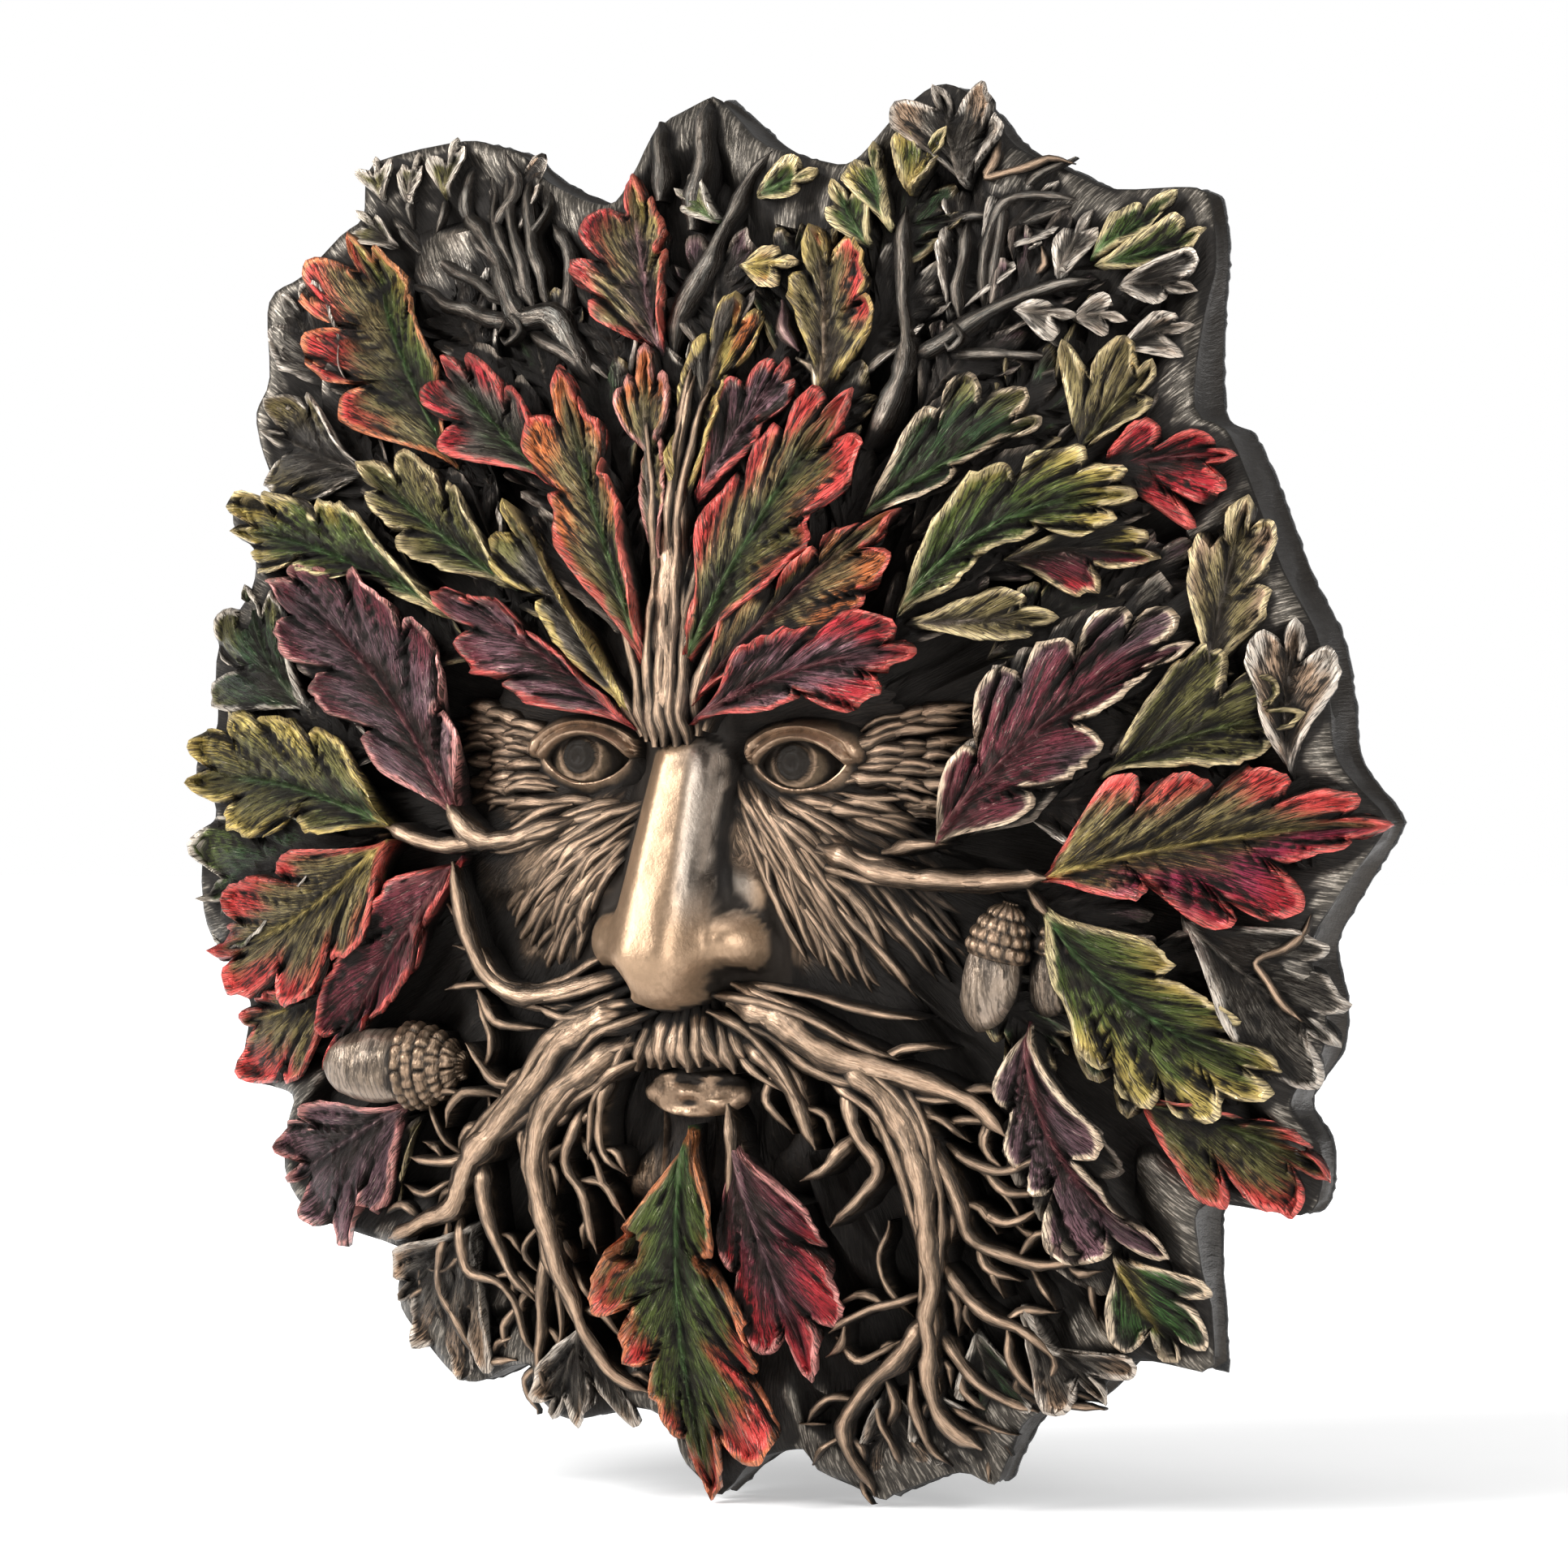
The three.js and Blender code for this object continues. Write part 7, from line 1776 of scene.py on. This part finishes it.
def cast_material():
    """Paint of the casting from what its corners carry: streaks, glazes, rubbed metal with painted
    highlights, and wash with painted shade.
    """
    n = Nodes("painted_cast_resin")
    flow = n.attribute("flow").outputs["Vector"]
    form = n.new("ShaderNodeSeparateXYZ")
    n.link(n.attribute("form").outputs["Vector"], form.inputs[0])
    from_edge, kind, wash_and_shade_weight = form.outputs
    mark = n.new("ShaderNodeSeparateXYZ")
    n.link(n.attribute("mark").outputs["Vector"], mark.inputs[0])
    groove, crest, polish = mark.outputs
    wash_and_shade = n.times(n.attribute("wash_and_shade").outputs["Fac"], wash_and_shade_weight)
    lit = n.attribute("lit").outputs["Fac"]
    place_at = n.new("ShaderNodeTexCoord").outputs["Object"]
    broad = n.noise(n.stretched(flow, (0.5, 0.09, 1)), detail=3)
    fine = n.noise(n.stretched(flow, (1.5, 0.16, 1)), detail=4, roughness=0.7)
    hair = n.noise(n.stretched(flow, (3.2, 0.3, 1)), detail=3, roughness=0.65)
    scored = n.noise(n.stretched(flow, (1.1, 0.13, 1.7)), detail=2, roughness=0.5)
    grain = n.noise(place_at, scale=GRIT_SCALE, detail=2, roughness=0.65)
    patches = n.noise(place_at, scale=PATCH_SCALE, detail=2)
    lined = n.less(1.0, polish)
    # Paint of the shell and the second colour in broad streaks
    colour = n.mix(
        n.times(n.span(broad, 0.42, 0.6, 0, 0.8), lined), n.attribute("paint").outputs["Color"],
        n.attribute("accent").outputs["Color"])
    # Thin line of colour along the edges of the leaves, broken by the grain
    ragged = n.plus(from_edge, n.times(n.less(patches, 0.5), 3.0))
    colour = n.mix(n.span(ragged, 1.3, 0.55, 0, 0.85), colour, n.attribute("edge").outputs["Color"])
    # Dark engraved lines that run with the veins, a few more in the grooves and fewer on what stands out as
    # painted shade; then painted shade over grooves, creases and the sides of the roots that leaves colour
    # on the crests alone
    deep = n.plus(fine, n.times(n.less(groove, lit), 0.16))
    streaks = n.times(n.span(deep, 0.48, 0.57), lined)
    colour = n.mix(n.times(streaks, 0.88), colour, GLAZE_AND_SHADE["streaks"])
    scratch = n.span(n.math("ABSOLUTE", n.less(scored, 0.5)), 0.045, 0.015)
    scratch = n.times(scratch, n.times(lined, lined))
    colour = n.mix(n.times(scratch, 0.85), colour, GLAZE_AND_SHADE["scratches"])
    # Dark hairlines, more of them in the grooves and fewer on what stands out: partly painted shade
    fall = n.plus(n.less(hair, n.times(lit, 0.25)), n.times(groove, 0.25))
    fall = n.times(n.span(fall, 0.42, 0.72), n.plus(n.times(lined, 0.7), 0.3))
    colour = n.mix(n.times(fall, 0.7), colour, GLAZE_AND_SHADE["fall"])
    shade = n.times(n.span(groove, 0.15, 0.85), n.span(hair, 0.3, 0.55, 0.5, 0.97))
    colour = n.mix(shade, colour, GLAZE_AND_SHADE["shade"])
    # Pale metal rubbed over what stands out, tinted by the paint under it, which is made brighter there as a
    # painted highlight
    stands = n.plus(n.times(lit, 0.6), n.times(crest, 0.8))
    rub_and_highlight = n.times(n.span(stands, 0.3, 1.1), n.span(hair, 0.62, 0.4, 0.2, 1.0))
    free = n.times(n.span(kind, -1.5, -0.5), n.span(groove, 0.65, 0.25))
    rub_and_highlight = n.times(rub_and_highlight, free)
    highlight_tint = n.mix(0.3, n.mix(1.0, colour, HIGHLIGHT_GAIN, "MULTIPLY"), RUBBED_HIGHLIGHT)
    colour = n.mix(n.times(rub_and_highlight, 0.75), colour, highlight_tint)
    # Fine strokes of the dry brush on what stands out, in the colour of the painted highlight
    strokes = n.times(n.span(fine, 0.42, 0.36), n.span(hair, 0.52, 0.44))
    strokes = n.times(strokes, n.times(n.span(lit, 0.0, 0.6, 0.25, 0.8), lined))
    strokes = n.times(strokes, free)
    colour = n.mix(strokes, colour, n.mix(0.5, highlight_tint, BRUSHED))
    # Pale rays over the ground at the rim, and darker side walls
    rim_ground = n.times(n.span(kind, 0.6, 0.95), n.span(kind, 1.4, 1.05))
    rays = n.times(rim_ground, n.span(hair, 0.5, 0.38, 0, 0.6))
    colour = n.mix(rays, colour, RAYED)
    wall = n.span(kind, 2.4, 2.9)
    colour = n.mix(n.times(wall, 0.8), colour, GLAZE_AND_SHADE["wall"])
    # Black wash in the hollows, with painted shade: darker the deeper a point lies in a hollow or below the
    # tops of the leaves
    wash_and_shade_mask = n.plus(wash_and_shade, n.times(n.less(patches, 0.5), 0.3))
    wash_and_shade_mask = n.times(n.span(wash_and_shade_mask, 0.04, 0.5), n.less(1.0, wall))
    colour = n.mix(n.times(wash_and_shade_mask, 0.96), colour, GLAZE_AND_SHADE["wash_and_shade"])
    colour = n.mix(n.span(grain, 0.35, 0.75, 0.12, 0.0), colour, GLAZE_AND_SHADE["specks"])
    n.link(colour, n.shader.inputs["Base Color"])
    # Bare eyeballs are not metallic; the wash and painted shade dull the rest
    metal = n.times(n.span(wash_and_shade_mask, 0.0, 1.0, 0.75, 0.6), n.span(kind, -1.5, -0.5))
    n.link(metal, n.shader.inputs["Metallic"])
    n.link(n.span(kind, -1.5, -0.5, 0.04, 0.35), n.shader.inputs["Specular IOR Level"])
    shine = n.plus(n.times(fine, 0.16), n.times(grain, 0.16))
    shine = n.plus(shine, n.times(wash_and_shade_mask, 0.3))
    shine = n.plus(shine, n.times(polish, 0.07))
    n.link(n.plus(shine, 0.17), n.shader.inputs["Roughness"])
    # Bumps of the finest lines and of the grit
    relief = n.plus(n.times(fine, -0.9), n.times(hair, 0.4))
    relief = n.less(relief, n.times(scratch, 0.3))
    relief = n.times(relief, n.less(1.0, n.times(wall, 0.4)))
    relief = n.times(relief, n.plus(lined, 0.12))
    relief = n.plus(relief, n.times(grain, 0.12))
    n.bump(relief, BUMP_DEPTH)
    return n.material


# Greys of the felt: between its fibres, on them and in matted clumps; depth of the fibres in metres
FELT_DARK, FELT_LIGHT, FELT_MATTED = (0.006, 0.006, 0.006), (0.028, 0.027, 0.026), (0.016, 0.015, 0.015)
FELT_BUMP_DEPTH = 0.0004


def felt_material():
    """Black felt with matted clumps."""
    n = Nodes("black_felt")
    place_at = n.new("ShaderNodeTexCoord").outputs["Object"]
    fibres = n.noise(place_at, scale=1500, detail=4, roughness=0.7, distortion=1.5)
    clumps = n.noise(place_at, scale=220, detail=3)
    colour = n.mix(n.span(fibres, 0.35, 0.7), FELT_DARK, FELT_LIGHT)
    colour = n.mix(n.span(clumps, 0.4, 0.7, 0, 0.5), colour, FELT_MATTED)
    n.link(colour, n.shader.inputs["Base Color"])
    n.shader.inputs["Roughness"].default_value = 0.95
    n.shader.inputs["Sheen Weight"].default_value = 0.35
    n.shader.inputs["Sheen Roughness"].default_value = 0.4
    n.bump(fibres, FELT_BUMP_DEPTH)
    return n.material


# Felt, in millimetres: its thickness, how far it stands out from the casting and how much of that its
# frayed edge goes back; its edge from front to back as depth and growth; shares of its inner rings
FELT_THICK = 1.2
FELT_OVERHANG, FELT_FRAY = 0.4, 0.3
FELT_EDGE = [(0.0, -0.2), (0.3, 0.1), (0.9, 0.1), (FELT_THICK, -0.2)]
FELT_RINGS = [0.985, 0.93, 0.8, 0.6, 0.4, 0.2]


def felt_mesh():
    """The felt glued to the back: a flat sheet cut round the outline, with a fuzzy edge."""
    rim = catmull(RIM, 0.9, closed=True)
    count = len(rim)
    way = np.roll(rim, -2, axis=0) - np.roll(rim, 2, axis=0)
    way /= np.linalg.norm(way, axis=1, keepdims=True)
    outward = np.stack([way[:, 1], -way[:, 0]], -1)
    outward *= np.sign((outward * (rim - rim.mean(0))).sum())
    fuzz = 0.22 * noise(np.arange(count) * 0.9, 0, 71)
    levels = []
    for depth, grow in FELT_EDGE:
        edge = rim + outward * (FELT_OVERHANG - FELT_FRAY + grow + fuzz)[:, None]
        levels.append(np.stack([edge[:, 0], np.full(count, -depth), edge[:, 1]], -1))
    middle = np.array([DOME_MIDDLE, 0.0])

    def flat(depth, share):
        spot = middle + (rim - middle) * share
        lift = 0.06 * noise(spot[:, 0] / 4, spot[:, 1] / 4, 72) if depth == 0 else 0
        return np.stack([spot[:, 0], np.full(count, -depth) - abs(lift), spot[:, 1]], -1)

    levels = [flat(0.0, s) for s in reversed(FELT_RINGS)] + levels + [flat(FELT_THICK, 0.9)]
    points = np.stack(levels, 0)
    ids = ring_ids(len(levels), count)
    points = points.reshape(-1, 3)
    fans = end_fans(ids, len(points), len(points) + 1)
    points = np.concatenate([points, [[DOME_MIDDLE, 0, 0], [DOME_MIDDLE, -FELT_THICK, 0]]])
    triangles = np.concatenate([grid_triangles(ids), *fans])
    a, b, c = (points[triangles[:, k]] for k in range(3))
    if np.einsum("ij,ij->i", a, np.cross(b, c)).sum() < 0:
        triangles = triangles[:, ::-1]
    mesh = bpy.data.meshes.new("felt_backing_cloth")
    mesh.from_pydata((points * MM).tolist(), [], triangles.tolist())
    return mesh


def add(name, mesh, material):
    """An object of the scene made of one mesh in one material."""
    o = bpy.data.objects.new(name, mesh)
    bpy.context.scene.collection.objects.link(o)
    mesh.materials.append(material)
    return o


cast = add("cast_mask_carved", carved_cast(), cast_material())
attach(cast, "root")
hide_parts("cast_mask")

felt = add("felt_backing_cloth", felt_mesh(), felt_material())
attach(felt, "root")
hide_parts("felt_backing")

# Pale floor just under the plaque: half its side and its distance, in metres
FLOOR_HALF, FLOOR_GAP = 6.0, 0.0005
floor_mesh = bpy.data.meshes.new("floor")
floor_corners = [(x * FLOOR_HALF, y * FLOOR_HALF, 0) for x, y in ((-1, -1), (1, -1), (1, 1), (-1, 1))]
floor_mesh.from_pydata(floor_corners, [], [(0, 1, 2, 3)])
floor_look = Nodes("pale_glowing_floor")
spread = floor_look.new("ShaderNodeTexCoord").outputs["Object"]
speckle = floor_look.noise(spread, scale=60, detail=2)
floor_look.link(
    floor_look.mix(speckle, (0.86, 0.86, 0.86), (0.9, 0.9, 0.9)), floor_look.shader.inputs["Base Color"])
floor_look.shader.inputs["Roughness"].default_value = 0.9
# The floor glows white as painted light: faintly near the plaque and fully far off, so it fades into the
# white surroundings
away = floor_look.new("ShaderNodeVectorMath", operation="LENGTH")
floor_look.link(spread, away.inputs[0])
floor_look.link(floor_look.span(away.outputs["Value"], 0.15, 0.75, 0.3, 1.0),
                floor_look.shader.inputs["Emission Strength"])
floor_look.shader.inputs["Emission Color"].default_value = (1, 1, 1, 1)
floor = add("floor", floor_mesh, floor_look.material)
floor.location.z = cad_low[2] - FLOOR_GAP

# White surroundings, with their strength as light and as seen by the camera, and three soft lights
SKY_LIGHT, SKY_SEEN = 0.28, 1.0
LIGHTS_AIM = Vector((0.01, -0.03, 0))
world = bpy.data.worlds.new("studio")
bpy.context.scene.world = world
world.use_nodes = True
sky = world.node_tree
seen = sky.nodes.new("ShaderNodeLightPath").outputs["Is Camera Ray"]
strength = sky.nodes.new("ShaderNodeMapRange")
strength.inputs[3].default_value = SKY_LIGHT
strength.inputs[4].default_value = SKY_SEEN
sky.links.new(seen, strength.inputs[0])
sky.links.new(strength.outputs[0], sky.nodes["Background"].inputs["Strength"])
sky.nodes["Background"].inputs["Color"].default_value = (1, 1, 1, 1)


def soft_light(name, where, size, power):
    """A rectangular lamp that faces the plaque."""
    lamp = bpy.data.lights.new(name, "AREA")
    lamp.shape = "RECTANGLE"
    lamp.size, lamp.size_y = size
    lamp.energy = power
    o = bpy.data.objects.new(name, lamp)
    bpy.context.scene.collection.objects.link(o)
    o.location = where
    o.rotation_euler = (LIGHTS_AIM - o.location).to_track_quat("-Z", "Y").to_euler()


soft_light("key", (-0.75, -0.9, 0.55), (0.6, 0.8), 26)
soft_light("fill", (1.1, -0.75, 0.3), (0.5, 0.9), 14)
soft_light("top", (0.1, -0.35, 1.2), (0.9, 0.4), 7)

# Camera at the photograph's viewing angle, to the right of straight on: its turn, its distance and the
# point that it faces, in metres, and its lens and sensor, in millimetres
CAMERA_TURN = math.radians(22)
CAMERA_FAR = 1.0
CAMERA_AIM = Vector((0.0146, -0.025, 0.0013))
CAMERA_LENS, CAMERA_SENSOR = 124.8, 36
lens = bpy.data.cameras.new("camera")
lens.lens = CAMERA_LENS
lens.sensor_width = CAMERA_SENSOR
camera = bpy.data.objects.new("camera", lens)
bpy.context.scene.collection.objects.link(camera)
behind = Vector((math.sin(CAMERA_TURN), -math.cos(CAMERA_TURN), 0))
camera.location = CAMERA_AIM + CAMERA_FAR * behind
camera.rotation_euler = (-behind).to_track_quat("-Z", "Y").to_euler()
bpy.context.scene.camera = camera
bpy.context.scene.view_settings.view_transform = "Standard"
